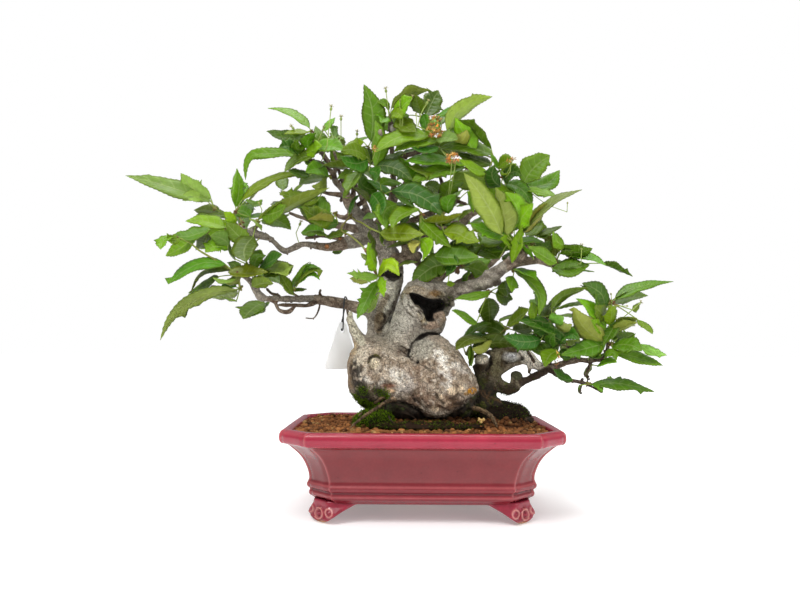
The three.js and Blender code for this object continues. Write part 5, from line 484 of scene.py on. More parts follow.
# leaves of each node: hub, midrib, surface normal, width, kind, lobes, small teeth
LEAVES = {
    "leaf_cluster_01": [
        ([-226.7, -14, 324.3], [[-228.7, -17.6, 330.9], [-257.2, -25.4, 340.7], [-285.4, -32.2, 348.7], [-314.5, -38.1, 354]], [0.32, -0.67, 0.67], 26.3, "S", [], [[0.71, -1, 3.8], [0.86, -1, 2.4]]),
        ([-226.7, -14, 324.3], [[-229.6, -15.6, 334.8], [-242, -18, 340.6], [-252.4, -21, 349.2], [-260.5, -24.5, 360.2]], [0.19, 0.81, 0.55], 21.4, "S", [[0.46, 1, 15.1], [0.76, -1, 12.3]], []),
        ([-226.7, -14, 324.3], [[-234.5, -16.7, 333.1], [-241.2, -21.9, 335.6], [-248.4, -26.9, 334.2], [-255.6, -31.7, 328.8]], [0.50, -0.68, 0.54], 19, "P", [], []),
        ([-226.7, -14, 324.3], [[-221.2, -11.1, 320.9], [-232.8, -6, 323.9], [-243.5, -0.6, 325.7], [-254.9, 5.2, 325.8]], [-0.18, -0.66, 0.73], 18.4, "D", [[0.6, -1, 12.2]], []),
    ],
    "leaf_cluster_02": [
        ([-207.8, -26, 299.3], [[-209.4, -27, 300.7], [-222.4, -30.4, 305.4], [-236.2, -33.4, 307.2], [-250.7, -35.8, 306]], [0.31, -0.73, 0.61], 22.8, "L", [[0.79, 1, 7.7]], []),
        ([-207.8, -26, 299.3], [[-208.6, -29.1, 300.6], [-203, -34.9, 306.2], [-202.5, -40.8, 310.5], [-207.3, -47, 313.9]], [-0.52, 0.47, 0.72], 14.5, "L", [], []),
        ([-207.8, -26, 299.3], [[-205, -29.9, 281.9], [-209.6, -37, 286.8], [-213.9, -44.4, 288.4], [-219.2, -52.1, 287.8]], [-0.61, 0.54, 0.58], 18.1, "S", [], []),
        ([-207.8, -26, 299.3], [[-206.7, -28.6, 276.3], [-213.4, -33.7, 280.3], [-220.4, -38.5, 278.7], [-226.7, -43.2, 271.6]], [0.45, -0.69, 0.57], 17.7, "L", [[0.44, 1, 13.2], [0.77, -1, 10.9]], []),
        ([-178.8, -18, 256.1], [[-199.6, -23.7, 266.7], [-205.5, -19.4, 273.1], [-209.1, -15, 280.3], [-210.5, -10.5, 288.7]], [0.78, -0.22, 0.59], 11.1, "D", [], []),
    ],
    "leaf_cluster_03": [
        ([-205.1, -4, 321.9], [[-206.1, -2.4, 327.9], [-203.7, 0.2, 343.1], [-204.1, 3.2, 358], [-207.6, 6.6, 373.9]], [0.84, -0.53, 0.10], 21.7, "M", [[0.59, -1, 14.7]], []),
        ([-205.1, -4, 321.9], [[-200.3, -1.1, 335.1], [-180.8, 3.4, 354.5], [-156.4, 8.9, 366.9], [-129.1, 15.5, 370.2]], [-0.21, -0.71, 0.67], 24.5, "M", [[0.5, -1, 6.4], [0.57, 1, 11.0]], []),
        ([-205.1, -4, 321.9], [[-193.8, -6.1, 334.9], [-185.9, -10, 330.2], [-179, -13.9, 329.6], [-173, -17.9, 333.1]], [0.18, 0.37, 0.91], 12.5, "S", [], []),
        ([-205.1, -4, 321.9], [[-190.2, 0, 316.9], [-198.3, 7.1, 324.6], [-208, 14.6, 327.7], [-216.6, 22.8, 324.4]], [-0.52, -0.78, 0.36], 17.6, "M", [[0.54, 1, 13.1]], []),
    ],
    "leaf_cluster_04": [
        ([-227.8, -38, 293], [[-222.9, -40.6, 297.3], [-235.7, -43.7, 291.6], [-247.7, -46.3, 288.7], [-261.1, -48.5, 288]], [0.03, -0.75, 0.66], 21.4, "B", [], []),
        ([-227.8, -38, 293], [[-235.3, -36.4, 293.5], [-247.8, -34.1, 284.9], [-260.4, -31.1, 276.9], [-273.8, -27.4, 269.8]], [-0.37, -0.88, 0.30], 22.2, "M", [], []),
        ([-227.8, -38, 293], [[-227.5, -34.4, 292.8], [-231.7, -27.3, 287.6], [-237.8, -20.5, 282.8], [-245.8, -13.9, 278.1]], [-0.23, 0.50, 0.83], 15.5, "D", [[0.5, -1, 11.6]], []),
    ],
    "leaf_cluster_05": [
        ([-253.6, -52, 286.4], [[-254.5, -55.5, 286.4], [-259.9, -62.5, 284.7], [-262.6, -69.1, 279.2], [-261.7, -75.5, 270.3]], [-0.12, -0.60, 0.79], 14.4, "L", [[0.57, -1, 10.7]], []),
        ([-253.6, -52, 286.4], [[-249.9, -53.8, 285.1], [-255.1, -57.3, 283.1], [-258.3, -60.7, 284.1], [-259.9, -64.1, 288.4]], [0.79, -0.52, 0.32], 11.4, "L", [], []),
        ([-192.2, -42, 248.3], [[-204.2, -44.4, 259], [-225.3, -49.7, 260.6], [-244.3, -54.2, 251.7], [-259.7, -58, 237.2]], [-0.11, -0.65, 0.75], 24.5, "B", [[1.0, -1, 14.1]], []),
        ([-192.2, -42, 248.3], [[-201.2, -40, 253.7], [-221, -36.7, 254], [-237.1, -32.9, 246.1], [-246.1, -28.6, 230]], [-0.47, -0.50, 0.73], 22.3, "D", [], []),
        ([-192.2, -42, 248.3], [[-213.8, -37.8, 247.1], [-226.3, -30.5, 240.2], [-238.5, -22.6, 235.4], [-253.1, -14.1, 231.2]], [-0.60, -0.67, 0.43], 21, "D", [[0.46, 1, 14.3]], []),
        ([-192.2, -42, 248.3], [[-193.6, -44.5, 243.9], [-200.4, -49.2, 240.6], [-206.9, -54, 240.6], [-213.8, -58.9, 243.9]], [-0.27, 0.21, 0.94], 12.6, "S", [], []),
        ([-192.2, -42, 248.3], [[-196.4, -39.3, 251.9], [-197.1, -34.6, 258.3], [-201.2, -29.5, 262.3], [-208.7, -24.2, 263.5]], [-0.06, -0.66, 0.75], 11.8, "D", [], []),
        ([-191.9, -34, 235.3], [[-195, -37.9, 233.4], [-214.3, -42.2, 231.6], [-231.7, -46.6, 224.1], [-247.6, -51, 214], [-259, -55.4, 198.6], [-265.7, -59.7, 179.9]], [-0.64, 0.51, 0.58], 16.1, "S", [[0.64, -1, 16.7], [0.43, -1, 9.7]], []),
        ([-191.9, -34, 235.3], [[-196, -29.8, 233.5], [-210, -21.6, 231.9], [-224.3, -13.7, 229.9], [-239.2, -5.9, 227.5]], [0.14, 0.49, 0.86], 25.5, "O", [[0.29, -1, 12.9]], []),
        ([-191.9, -34, 235.3], [[-196.6, -32, 236.5], [-203.1, -28.4, 240.4], [-210, -24.6, 240.2], [-216.6, -20.6, 235.7]], [-0.37, -0.75, 0.55], 13.1, "D", [], []),
        ([-167.2, -30, 225.3], [[-167.4, -29.4, 221.7], [-177.7, -20.5, 217.5], [-187.2, -11.8, 211.5], [-195.5, -3.2, 203.6]], [-0.15, 0.48, 0.86], 25.1, "O", [[0.66, 1, 19.3]], []),
        ([-176.5, -33, 236.8], [[-178.5, -38.1, 236.7], [-170.3, -42.4, 240], [-161.7, -46.9, 240.8], [-153.2, -51.4, 238.8]], [0.27, 0.57, 0.77], 17, "O", [], []),
    ],
    "leaf_cluster_06": [
        ([-175.9, -30, 306.3], [[-172.4, -25.1, 308.7], [-162.6, -15.5, 312.1], [-153, -6.3, 310.1], [-145.1, 2.6, 303.6]], [-0.32, 0.49, 0.81], 23.2, "O", [], []),
        ([-175.9, -30, 306.3], [[-174.2, -33, 308.9], [-148.3, -38.5, 320.1], [-122.7, -44.2, 329.9], [-96.8, -50.3, 338.9]], [-0.26, 0.30, 0.92], 26.3, "S", [], []),
        ([-175.9, -30, 306.3], [[-178.5, -34.5, 290.1], [-183.7, -43.6, 281.4], [-184.1, -52.1, 271.2], [-179.8, -60.1, 259.8]], [0.04, -0.77, 0.64], 27, "O", [], []),
        ([-175.9, -30, 306.3], [[-170.5, -34.5, 313.3], [-158.7, -43.3, 312.4], [-148.4, -51.8, 314.1], [-139.7, -59.9, 318.5]], [-0.69, -0.70, 0.20], 24.2, "M", [[0.44, 1, 16.1]], []),
    ],
    "leaf_cluster_07": [
        ([-178.8, -18, 256.1], [[-174.7, -22.6, 257.6], [-165.2, -31.7, 262], [-155.5, -40.4, 265.8], [-145.3, -48.8, 269.1]], [-0.68, -0.65, 0.35], 23.5, "G", [], []),
        ([-178.8, -18, 256.1], [[-179, -21.4, 256.9], [-177.6, -27.6, 264.9], [-172.2, -34.1, 269.3], [-163.5, -40.9, 269.5]], [0.08, 0.56, 0.82], 14.6, "B", [[0.58, -1, 10.8]], []),
        ([-178.8, -18, 256.1], [[-172.8, -13.4, 257.2], [-162.9, -4.9, 258.9], [-153.7, 3.8, 261.4], [-143.4, 12.9, 264.7]], [0.43, -0.63, 0.65], 27, "D", [], []),
        ([-178.8, -18, 256.1], [[-165, -22, 257.9], [-155.5, -29.9, 258], [-146.6, -37.5, 254.6], [-140, -44.8, 247.2]], [-0.29, -0.60, 0.74], 21.3, "S", [[0.47, -1, 14.9], [0.78, 1, 12.5]], []),
        ([-178.8, -18, 256.1], [[-184.9, -20.3, 264.5], [-180.7, -24.9, 270.2], [-174.5, -29.3, 272.8], [-167.2, -33.4, 269.5]], [-0.65, -0.68, 0.33], 14.3, "M", [], []),
    ],
    "leaf_cluster_08": [
        ([-140.5, -16, 234.8], [[-142.1, -12.4, 236.6], [-153.8, -5, 246.2], [-167.9, 1.8, 252], [-183.6, 8.1, 253.7]], [0.52, 0.58, 0.62], 21, "O", [[0.45, 1, 16.1]], []),
        ([-140.5, -16, 234.8], [[-140.5, -12.6, 237.3], [-137.5, -6.6, 249.1], [-130.5, -0.2, 258.5], [-122.9, 6.5, 268]], [-0.62, -0.45, 0.64], 17.4, "M", [[0.54, 1, 13.4]], []),
        ([-140.5, -16, 234.8], [[-138, -17.5, 237.6], [-129.6, -20.8, 249], [-119.2, -23.7, 256.2], [-105.4, -26.1, 255]], [-0.56, -0.57, 0.60], 18.1, "M", [[1.0, -1, 14.0]], []),
        ([-140.5, -16, 234.8], [[-138, -14.2, 233.9], [-133.7, -10.9, 235.2], [-129.8, -7.5, 236.1], [-125.5, -3.9, 236.9]], [0.17, -0.47, 0.87], 8, "D", [], []),
    ],
    "leaf_cluster_09": [
        ([-130.4, 2, 385.4], [[-130, -0.8, 393.8], [-136.5, -6, 392], [-138.7, -11.4, 394.1], [-136.8, -16.9, 399.9]], [-0.35, 0.44, 0.83], 15, "B", [], []),
        ([-130.4, 2, 385.4], [[-125.5, -1.5, 393.5], [-127, -7.9, 399.6], [-123.3, -14.5, 403.6], [-114.9, -21.3, 405.8]], [-0.22, 0.47, 0.85], 14.9, "B", [[0.65, 1, 10.1]], []),
        ([-116.8, 8, 397.4], [[-119.5, 7.5, 395.8], [-115.1, 14.8, 406.6], [-116.1, 22.7, 418.3], [-123, 31, 430.4]], [0.54, -0.70, 0.47], 19.2, "M", [], []),
        ([-130.4, 2, 385.4], [[-136.5, -2, 386.6], [-140.5, -9.8, 392.1], [-146.8, -17.4, 392.9], [-154.6, -24.6, 389]], [0.75, -0.57, 0.33], 17.5, "G", [[0.65, 1, 12.4], [0.75, -1, 10.1]], []),
        ([-130.4, 2, 385.4], [[-133.1, 5.1, 382.9], [-141, 11.2, 385.4], [-146.3, 16.9, 384], [-149.4, 22.4, 378.2]], [0.71, 0.70, 0.09], 12.7, "D", [[0.57, 1, 8.6], [0.68, -1, 6.9]], []),
        ([-130.4, 2, 385.4], [[-128.8, -1.9, 388.9], [-119.6, -9.7, 390.2], [-116, -17.1, 391.5], [-108.2, -24.2, 390.3]], [-0.73, -0.66, 0.17], 20.8, "L", [[0.54, 1, 14.1]], []),
        ([-130.4, 2, 385.4], [[-124.4, -1.6, 392.3], [-111.1, -8.9, 395.2], [-97.2, -15.8, 393.2], [-83.9, -22.2, 386.1]], [-0.36, -0.78, 0.51], 26.2, "M", [[0.62, 1, 17.9]], []),
        ([-130.4, 2, 385.4], [[-137.6, 5.2, 386.3], [-152.3, 8.3, 391.9], [-167.8, 11.4, 392.4], [-183.1, 14.4, 393.2], [-195.2, 17.5, 390.1], [-200.8, 20.6, 378.4], [-201.8, 23.6, 364.3]], [-0.34, -0.89, 0.30], 14.1, "M", [], [[0.43, 1, 7.4]]),
        ([-125.2, 10, 417.5], [[-127, 11.9, 421.9], [-141.3, 14.8, 435.5], [-158.5, 18.4, 444.4], [-177.2, 22.6, 448.2]], [0.23, -0.64, 0.74], 23, "M", [[0.5, -1, 13.1]], []),
        ([-125.2, 10, 417.5], [[-131.1, 11.7, 416.9], [-146, 15.1, 411.9], [-162.1, 18.4, 414.7], [-178, 21.6, 420.9]], [0.09, 0.27, 0.96], 24.3, "O", [], []),
        ([-125.2, 10, 417.5], [[-127, 7.2, 415.5], [-135.5, 1.5, 414.8], [-143.7, -3.9, 412], [-152.5, -8.8, 408.4]], [0.11, -0.62, 0.78], 14.4, "M", [], []),
    ],
    "leaf_cluster_10": [
        ([-102.6, 6, 365], [[-103.3, 1.7, 362.8], [-108.7, -6.9, 368.5], [-116.8, -15.1, 368.1], [-125.9, -22.9, 361.6]], [0.71, -0.62, 0.32], 19.8, "B", [], []),
        ([-102.6, 6, 365], [[-107, 11, 365.6], [-119.1, 20.5, 368], [-131.1, 29.9, 366.9], [-142.6, 39, 362.4]], [0.22, 0.33, 0.92], 23.2, "O", [], []),
        ([-102.6, 6, 365], [[-106.4, 2, 362.1], [-108.3, -4.7, 352.4], [-112.6, -11.6, 347.9], [-119.8, -18.7, 347.9]], [-0.86, 0.50, 0.09], 14.2, "S", [[0.61, 1, 10.4], [0.72, -1, 8.6]], []),
        ([-110, -0.8, 345.9], [[-115.6, 4.4, 336.3], [-129.9, 0.7, 337.4], [-143.8, -2.4, 339.9], [-157.6, -4.9, 343.7]], [0.27, -0.80, 0.54], 22.3, "M", [[0.59, 1, 17.1], [0.74, -1, 13.6]], []),
    ],
    "leaf_cluster_11": [
        ([-94.7, -12, 318.6], [[-100.3, -7.2, 321.3], [-112, 1.2, 328.1], [-123.2, 10.3, 335.8], [-133.8, 20.1, 344.5]], [-0.43, -0.81, 0.39], 24.5, "M", [], []),
        ([-94.7, -12, 318.6], [[-96.4, -16.3, 313.4], [-107.8, -25, 312.1], [-117.7, -33.1, 314.7], [-126.5, -40.7, 321.5]], [0.63, -0.77, 0.06], 23.2, "B", [], []),
        ([-94.7, -12, 318.6], [[-96.3, -16.4, 310.1], [-104.5, -24.6, 310.9], [-112.3, -33, 309.9], [-119.9, -41.4, 307.6]], [-0.40, 0.30, 0.86], 21.5, "P", [[0.62, -1, 15.6], [0.68, 1, 13.9]], []),
        ([-105.6, -10, 294.6], [[-107.4, -7.8, 301.1], [-117.2, -0.1, 303], [-126.3, 7.9, 303.7], [-136, 16.3, 302.7]], [-0.56, -0.66, 0.50], 21.2, "D", [], []),
        ([-94.7, -12, 318.6], [[-90.9, -10, 308.5], [-97.5, -6.4, 308.9], [-103.4, -2.6, 307.5], [-108.2, 1.5, 304.3]], [-0.60, -0.79, 0.14], 13.3, "D", [], []),
        ([-81.2, 0, 290.7], [[-82.8, 4.8, 291.4], [-86.9, 11.5, 285.7], [-93.2, 18.5, 282.3], [-101.7, 25.8, 281.8]], [-0.79, -0.50, 0.35], 12.9, "D", [[0.56, -1, 9.5]], []),
    ],
    "leaf_cluster_12": [
        ([-98.4, 16, 403.2], [[-110.5, 18.2, 420], [-108, 22, 427.5], [-104.5, 26.1, 434.4], [-100.1, 30.6, 440.2]], [-0.18, -0.78, 0.60], 11.9, "M", [[0.5, 1, 8.5]], []),
        ([-98.4, 16, 403.2], [[-98.8, 18.6, 408.7], [-94.8, 23.4, 409.8], [-91, 28.4, 410.9], [-87.5, 33.6, 412]], [0.78, -0.61, 0.10], 9.7, "D", [], []),
        ([-98.4, 16, 403.2], [[-98.7, 18.5, 413.3], [-100.3, 23, 420.9], [-99.9, 27.7, 426.3], [-97, 32.6, 429.9]], [0.74, -0.60, 0.30], 12.2, "D", [], []),
        ([-98.4, 16, 403.2], [[-104.5, 19.9, 398.6], [-100.2, 27, 391.9], [-91.9, 34.3, 393], [-84.6, 42, 402]], [0.73, -0.64, 0.26], 21.2, "M", [], []),
    ],
    "leaf_cluster_13": [
        ([-55.9, -10, 375.7], [[-58.9, -14.9, 377.6], [-69, -24.8, 371.3], [-78.7, -34.1, 370.4], [-87.9, -42.9, 374.2]], [0.67, -0.72, 0.20], 22.4, "G", [[0.45, -1, 16.3]], []),
        ([-55.9, -10, 375.7], [[-51, -11.6, 372.4], [-36.1, -15.3, 371], [-22.6, -18.3, 364.8], [-10.5, -20.6, 353.9]], [-0.07, -0.92, 0.39], 21.6, "G", [[0.45, 1, 14.6], [0.75, -1, 14.2]], []),
        ([-55.9, -10, 375.7], [[-58.2, -12.8, 366.2], [-51.1, -18.5, 363.9], [-48.7, -23.9, 358.3], [-50.5, -29, 349.6]], [-0.64, -0.68, 0.35], 14.3, "G", [[0.61, -1, 10.2]], []),
        ([-69.8, -6.5, 366.8], [[-66.8, -5.5, 367.6], [-67.1, 2.6, 357.5], [-59.2, 11, 351.7], [-49.1, 19.8, 353.2]], [0.78, -0.63, 0.02], 24.8, "D", [], []),
        ([-55.9, -10, 375.7], [[-59.9, -14.7, 381], [-67.5, -24, 384.5], [-75.8, -32.9, 384.4], [-85, -41.5, 381.6]], [0.74, -0.62, 0.25], 21.2, "M", [[0.47, 1, 14.6]], []),
        ([-69.8, -6.5, 366.8], [[-68.7, -14.4, 366.8], [-73.5, -23, 357.6], [-77.4, -31.3, 347.8], [-80.4, -39.1, 337.5]], [-0.27, -0.62, 0.74], 20, "O", [], []),
    ],
    "leaf_cluster_14": [
        ([-60.4, 10, 399.3], [[-57, 7.6, 405], [-54, 4.2, 425.8], [-56.6, -0.3, 446.2], [-64.8, -5.8, 465.6]], [0.25, 0.94, 0.22], 27, "B", [], [[0.79, -1, 8.1]]),
        ([-60.4, 10, 399.3], [[-65.8, 14.5, 406.9], [-74.8, 22.4, 403.3], [-84.4, 30.8, 401.8], [-94.3, 39.7, 402.5]], [-0.57, -0.70, 0.43], 20.5, "M", [], []),
    ],
    "leaf_cluster_15": [
        ([-35.1, 8, 432], [[-34.6, 6, 442.8], [-20.5, 2.4, 453.5], [-8.2, -1.3, 460.3], [8.9, -5.2, 459.4]], [-0.29, 0.24, 0.93], 25.5, "S", [[0.64, 1, 16.4]], []),
        ([-35.1, 8, 432], [[-33.1, 3.3, 436.3], [-24.5, -5.8, 438.4], [-18.7, -14.7, 440.9], [-11.2, -23.1, 444.8]], [-0.76, -0.65, 0.04], 26.3, "L", [], []),
        ([-35.1, 8, 432], [[-36.8, 6, 439.4], [-38.2, 2.1, 444.2], [-42.5, -1.7, 446.5], [-49.8, -5.3, 446]], [0.76, -0.65, 0.11], 10.9, "M", [], []),
        ([-35.1, 8, 432], [[-35.5, 4.7, 430.9], [-32.3, -1.9, 434.5], [-26.8, -8.3, 432.2], [-21.8, -14.3, 424.9]], [-0.62, -0.65, 0.45], 17, "L", [[0.49, -1, 11.0], [0.72, 1, 11.2]], []),
        ([-35.1, 8, 432], [[-37.7, 4.5, 432], [-44.5, -2.3, 429.6], [-41.8, -8.8, 425.9], [-45.6, -15.1, 419.1]], [0.45, -0.59, 0.67], 18.3, "M", [], []),
        ([-35.1, 8, 432], [[-26.2, 3.7, 432.3], [-20, -4.8, 421.4], [-14.5, -12.9, 413.5], [-6.4, -20.6, 407.3]], [-0.17, -0.73, 0.66], 23.7, "M", [], []),
    ],
    "leaf_cluster_16": [
        ([-0.5, 16, 435.9], [[5.3, 20.9, 438.8], [10.4, 29.5, 452.5], [15.5, 38.8, 465.6], [21, 48.8, 479.4]], [0.52, -0.77, 0.36], 24.7, "D", [[0.47, -1, 17.8], [0.77, 1, 15.5]], []),
        ([-0.5, 16, 435.9], [[1.7, 12.1, 438.1], [-2.5, 5.1, 442.6], [-5.2, -2.2, 447.3], [-6.5, -9.7, 452.2]], [0.01, 0.50, 0.86], 17.9, "M", [], []),
        ([-0.5, 16, 435.9], [[-2.8, 18, 442.4], [-4.6, 21.4, 452.3], [-15.2, 25.1, 456], [-16.9, 29.1, 447.3]], [-0.60, -0.76, 0.26], 12.7, "D", [], []),
    ],
    "leaf_cluster_17": [
        ([20.1, -6, 411.7], [[27.7, -8.3, 412.1], [37.7, -12.2, 431.1], [55.6, -16.7, 442.2], [76.2, -21.7, 446.1]], [-0.36, 0.56, 0.75], 26.3, "P", [[0.71, -1, 12.1]], []),
        ([20.1, -6, 411.7], [[22.2, -1.8, 423], [27.4, 5.6, 433.2], [34.1, 13.4, 442.3], [42.1, 21.7, 450.2]], [-0.10, -0.76, 0.64], 22.2, "D", [[0.43, 1, 17.0]], []),
        ([20.1, -6, 411.7], [[8.9, -8.5, 407], [-13.7, -14, 406.7], [-35, -18.7, 398], [-53.1, -22.5, 383.3]], [-0.08, -0.78, 0.62], 26.3, "B", [], []),
        ([20.1, -6, 411.7], [[15.5, -9.9, 402.6], [22.8, -17.8, 402.4], [30.4, -25.2, 399.6], [37.8, -32.3, 395.3]], [-0.40, -0.67, 0.62], 17.2, "S", [[0.43, 1, 12.9]], []),
        ([20.1, -6, 411.7], [[30.2, -4.2, 413.4], [35.5, -1.1, 414.7], [39.8, 2.2, 418.1], [43.6, 5.8, 424]], [0.31, -0.81, 0.49], 11.1, "M", [], []),
        ([20.1, -6, 411.7], [[35.1, -9.3, 401.4], [41.6, -15.5, 399.3], [45.6, -21.8, 401.3], [48.1, -28.1, 407.3]], [0.26, 0.32, 0.91], 17.4, "P", [], []),
    ],
    "leaf_cluster_18": [
        ([77.1, -18, 379.4], [[75.1, -19.9, 389.5], [63, -23.2, 402.1], [53.3, -26.8, 413.1], [38.1, -30.5, 417.6]], [0.53, 0.23, 0.81], 22.3, "O", [[0.44, -1, 16.2], [0.72, 1, 13.4]], []),
        ([77.1, -18, 379.4], [[77.7, -15.6, 384.1], [57.3, -13.4, 391.7], [38.7, -10.4, 396.2], [17.9, -6.8, 392.4]], [-0.08, -0.80, 0.60], 26.2, "M", [[0.6, -1, 19.3]], []),
        ([77.1, -18, 379.4], [[76.2, -16.4, 372.1], [62.2, -13.9, 378.2], [49.7, -10.8, 383.2], [36.2, -7.1, 389.5]], [0.13, -0.79, 0.60], 22.1, "D", [[0.62, -1, 15.9]], []),
        ([77.1, -18, 379.4], [[71.3, -22.4, 362.6], [58.7, -31.1, 363.4], [47.9, -39.3, 365.6], [37.2, -47.1, 369.9]], [0.59, -0.65, 0.48], 23.2, "L", [], []),
    ],
    "leaf_cluster_19": [
        ([49.7, 4, 374], [[47.8, 1.7, 373.5], [26.1, -3.5, 371.2], [5.9, -7.9, 364.4], [-12.9, -11.4, 353.2]], [-0.06, -0.77, 0.63], 25.5, "O", [[0.44, 1, 19.6], [0.71, -1, 16.0]], []),
        ([49.7, 4, 374], [[41.1, 1.8, 378.4], [21, -3.2, 382.2], [0.6, -7.5, 381], [-19.6, -10.9, 377.7]], [0.17, -0.77, 0.61], 25.5, "B", [[0.48, -1, 19.0]], []),
        ([49.7, 4, 374], [[34, 2.2, 373.5], [17.4, -1.8, 369.7], [1, -5.2, 369.5], [-15.2, -8, 372.9]], [0.14, -0.72, 0.68], 24.5, "O", [[0.6, 1, 18.2], [0.82, -1, 15.0]], []),
        ([6, 1, 393.7], [[6.4, 5.6, 396.5], [21.1, 8.1, 398.6], [35.6, 11.2, 399.3], [50.7, 14.7, 395.2]], [0.17, -0.89, 0.42], 27, "D", [], []),
    ],
    "leaf_cluster_20": [
        ([-42.3, -14, 339.3], [[-54.3, -18.2, 339.5], [-48.8, -26.7, 331.6], [-44.8, -34.7, 322.3], [-42.7, -42.2, 312.1]], [-0.61, -0.72, 0.34], 24, "G", [], []),
        ([-42.3, -14, 339.3], [[-33.6, -16.3, 343.2], [-11.8, -21.2, 340.8], [7.4, -25.1, 330.4], [22.4, -27.8, 313.8]], [-0.07, -0.95, 0.30], 25.5, "G", [[0.44, -1, 16.9], [0.72, 1, 15.4]], []),
        ([-42.3, -14, 339.3], [[-45.5, -18.1, 350.4], [-37, -25.6, 351.8], [-30.1, -33.2, 349.6], [-21.3, -41, 346]], [0.35, 0.28, 0.89], 17.8, "O", [[0.55, -1, 11.5], [0.68, 1, 9.7]], []),
        ([-35, -9, 333.2], [[-26.9, -18.9, 328.3], [-37.3, -28.6, 322], [-40.9, -37.8, 309.5], [-37.3, -46.4, 296.2]], [0.58, -0.72, 0.39], 22.6, "M", [[0.63, -1, 15.2]], []),
    ],
    "leaf_cluster_21": [
        ([-1, -24, 316.6], [[-3.3, -27.8, 321.8], [-16.4, -35.3, 317.7], [-26.2, -42.4, 310.2], [-32, -48.9, 296.7]], [-0.16, -0.66, 0.73], 22.5, "B", [[0.42, -1, 16.6]], []),
        ([-1, -24, 316.6], [[-2.2, -25.7, 311.9], [8, -29.5, 300.3], [18.8, -32.6, 289.5], [30.4, -35.2, 279]], [0.36, -0.78, 0.51], 22.8, "B", [[0.59, 1, 16.9], [0.74, -1, 13.6]], []),
        ([-1, -24, 316.6], [[2.1, -26.1, 308.7], [16.5, -29, 308.3], [29.5, -32.1, 310.2], [43, -35.5, 315.7]], [-0.01, 0.41, 0.91], 21.2, "O", [[0.53, -1, 14.9]], []),
        ([21.5, -14, 325.2], [[28, -27.7, 316.3], [26.5, -34.6, 324.4], [28.8, -41.6, 329.9], [34.6, -48.9, 332.4]], [-0.10, 0.51, 0.85], 16.6, "M", [], []),
    ],
    "leaf_cluster_22": [
        ([16.4, 8, 343.1], [[26.1, 3.5, 338.7], [28.6, -4.8, 347.1], [35.1, -13.4, 351.7], [45.1, -22.3, 352.3]], [-0.06, 0.51, 0.86], 20.9, "B", [], []),
        ([16.4, 8, 343.1], [[4.2, 11.5, 357.5], [10.7, 18.3, 357.9], [16.7, 24.8, 355.8], [21.9, 31.2, 351.5]], [-0.28, 0.42, 0.86], 14.8, "O", [[0.59, 1, 10.3], [0.71, -1, 8.4]], []),
        ([28.6, 9, 339.7], [[31.3, 12.9, 342], [37.1, 18.4, 340.8], [37.7, 23.7, 337.9], [33.1, 28.9, 332.9]], [-0.43, 0.55, 0.72], 13.9, "D", [], []),
    ],
    "leaf_cluster_23": [
        ([-45.8, -30, 296], [[-44.6, -31.7, 294.7], [-29, -35.7, 294.5], [-13.3, -38.9, 293.5], [2.3, -41.5, 291.6]], [-0.11, -0.84, 0.53], 24.2, "L", [], []),
        ([-1, -24, 316.6], [[-1.7, -34, 287.8], [4.5, -41.8, 280], [4.4, -49.3, 271.1], [-1.1, -56.4, 261.9]], [-0.65, -0.60, 0.47], 17.8, "L", [], []),
        ([-1, -24, 316.6], [[-2.2, -33, 286.1], [-7.7, -38.8, 283.6], [-10.3, -44.4, 278.3], [-9.7, -49.7, 270.6]], [0.00, -0.64, 0.77], 12.4, "P", [], []),
    ],
    "leaf_cluster_24": [
        ([-47.2, -38, 248.2], [[-48.1, -42.8, 254], [-51.9, -51.5, 262.6], [-54.3, -60.5, 271.1], [-55.2, -69.9, 279.4]], [-0.84, 0.47, 0.26], 21.5, "L", [[0.47, -1, 14.2], [0.77, 1, 13.3]], []),
        ([-47.2, -38, 248.2], [[-46.5, -41.7, 247.3], [-39.6, -49.1, 258.2], [-30.9, -56.2, 257.4], [-23.4, -62.9, 245.9]], [-0.54, -0.60, 0.58], 17, "L", [[0.35, 1, 12.0], [0.5, -1, 12.5], [0.7, 1, 9]], []),
        ([-47.2, -38, 248.2], [[-45.4, -42.8, 248.1], [-56.5, -52.2, 246.3], [-65.6, -61.2, 246.4], [-76, -69.9, 248]], [0.57, -0.61, 0.54], 15, "S", [[0.45, 1, 12.5], [0.52, -1, 12.0], [0.72, -1, 9.5], [0.8, 1, 9.6]], []),
        ([-47.2, -38, 248.2], [[-44.8, -41.8, 246.8], [-42.1, -49.4, 239.2], [-40, -56.7, 232.2], [-39, -63.6, 224.5]], [-0.70, -0.60, 0.38], 12, "L", [[0.5, 1, 11.5], [0.6, -1, 11.5], [0.8, 1, 7]], []),
        ([-47.2, -38, 248.2], [[-46.9, -39.7, 243], [-54.2, -43.6, 229.9], [-60.5, -46.8, 216.5], [-67, -49.2, 202.7]], [-0.20, -0.93, 0.30], 16, "B", [[0.34, -1, 14.5], [0.42, 1, 13.0], [0.6, -1, 11.5], [0.66, 1, 10.0]], []),
        ([-47.2, -38, 248.2], [[-51.3, -41.4, 258.5], [-54.2, -47.7, 263.7], [-58.1, -54.2, 266.6], [-62.7, -60.9, 269.4]], [0.27, 0.40, 0.88], 14, "S", [], []),
    ],
    "leaf_cluster_25": [
        ([30, -26, 264.7], [[30.4, -24.2, 262.3], [14, -21.7, 260.8], [0.2, -18.3, 252.2], [-11.4, -14, 241]], [-0.28, -0.95, 0.09], 26.6, "D", [], []),
        ([30, -26, 264.7], [[12.9, -27.8, 270.9], [28.9, -31.7, 270.4], [43.4, -35.1, 269.2], [59.6, -38, 268.7]], [-0.15, -0.80, 0.58], 27, "B", [], []),
        ([30, -26, 264.7], [[27, -22, 279.2], [40.4, -15.5, 280.7], [53.2, -8.7, 282.7], [67.4, -1.5, 286]], [0.31, -0.71, 0.63], 26.2, "D", [[0.61, 1, 18.2]], []),
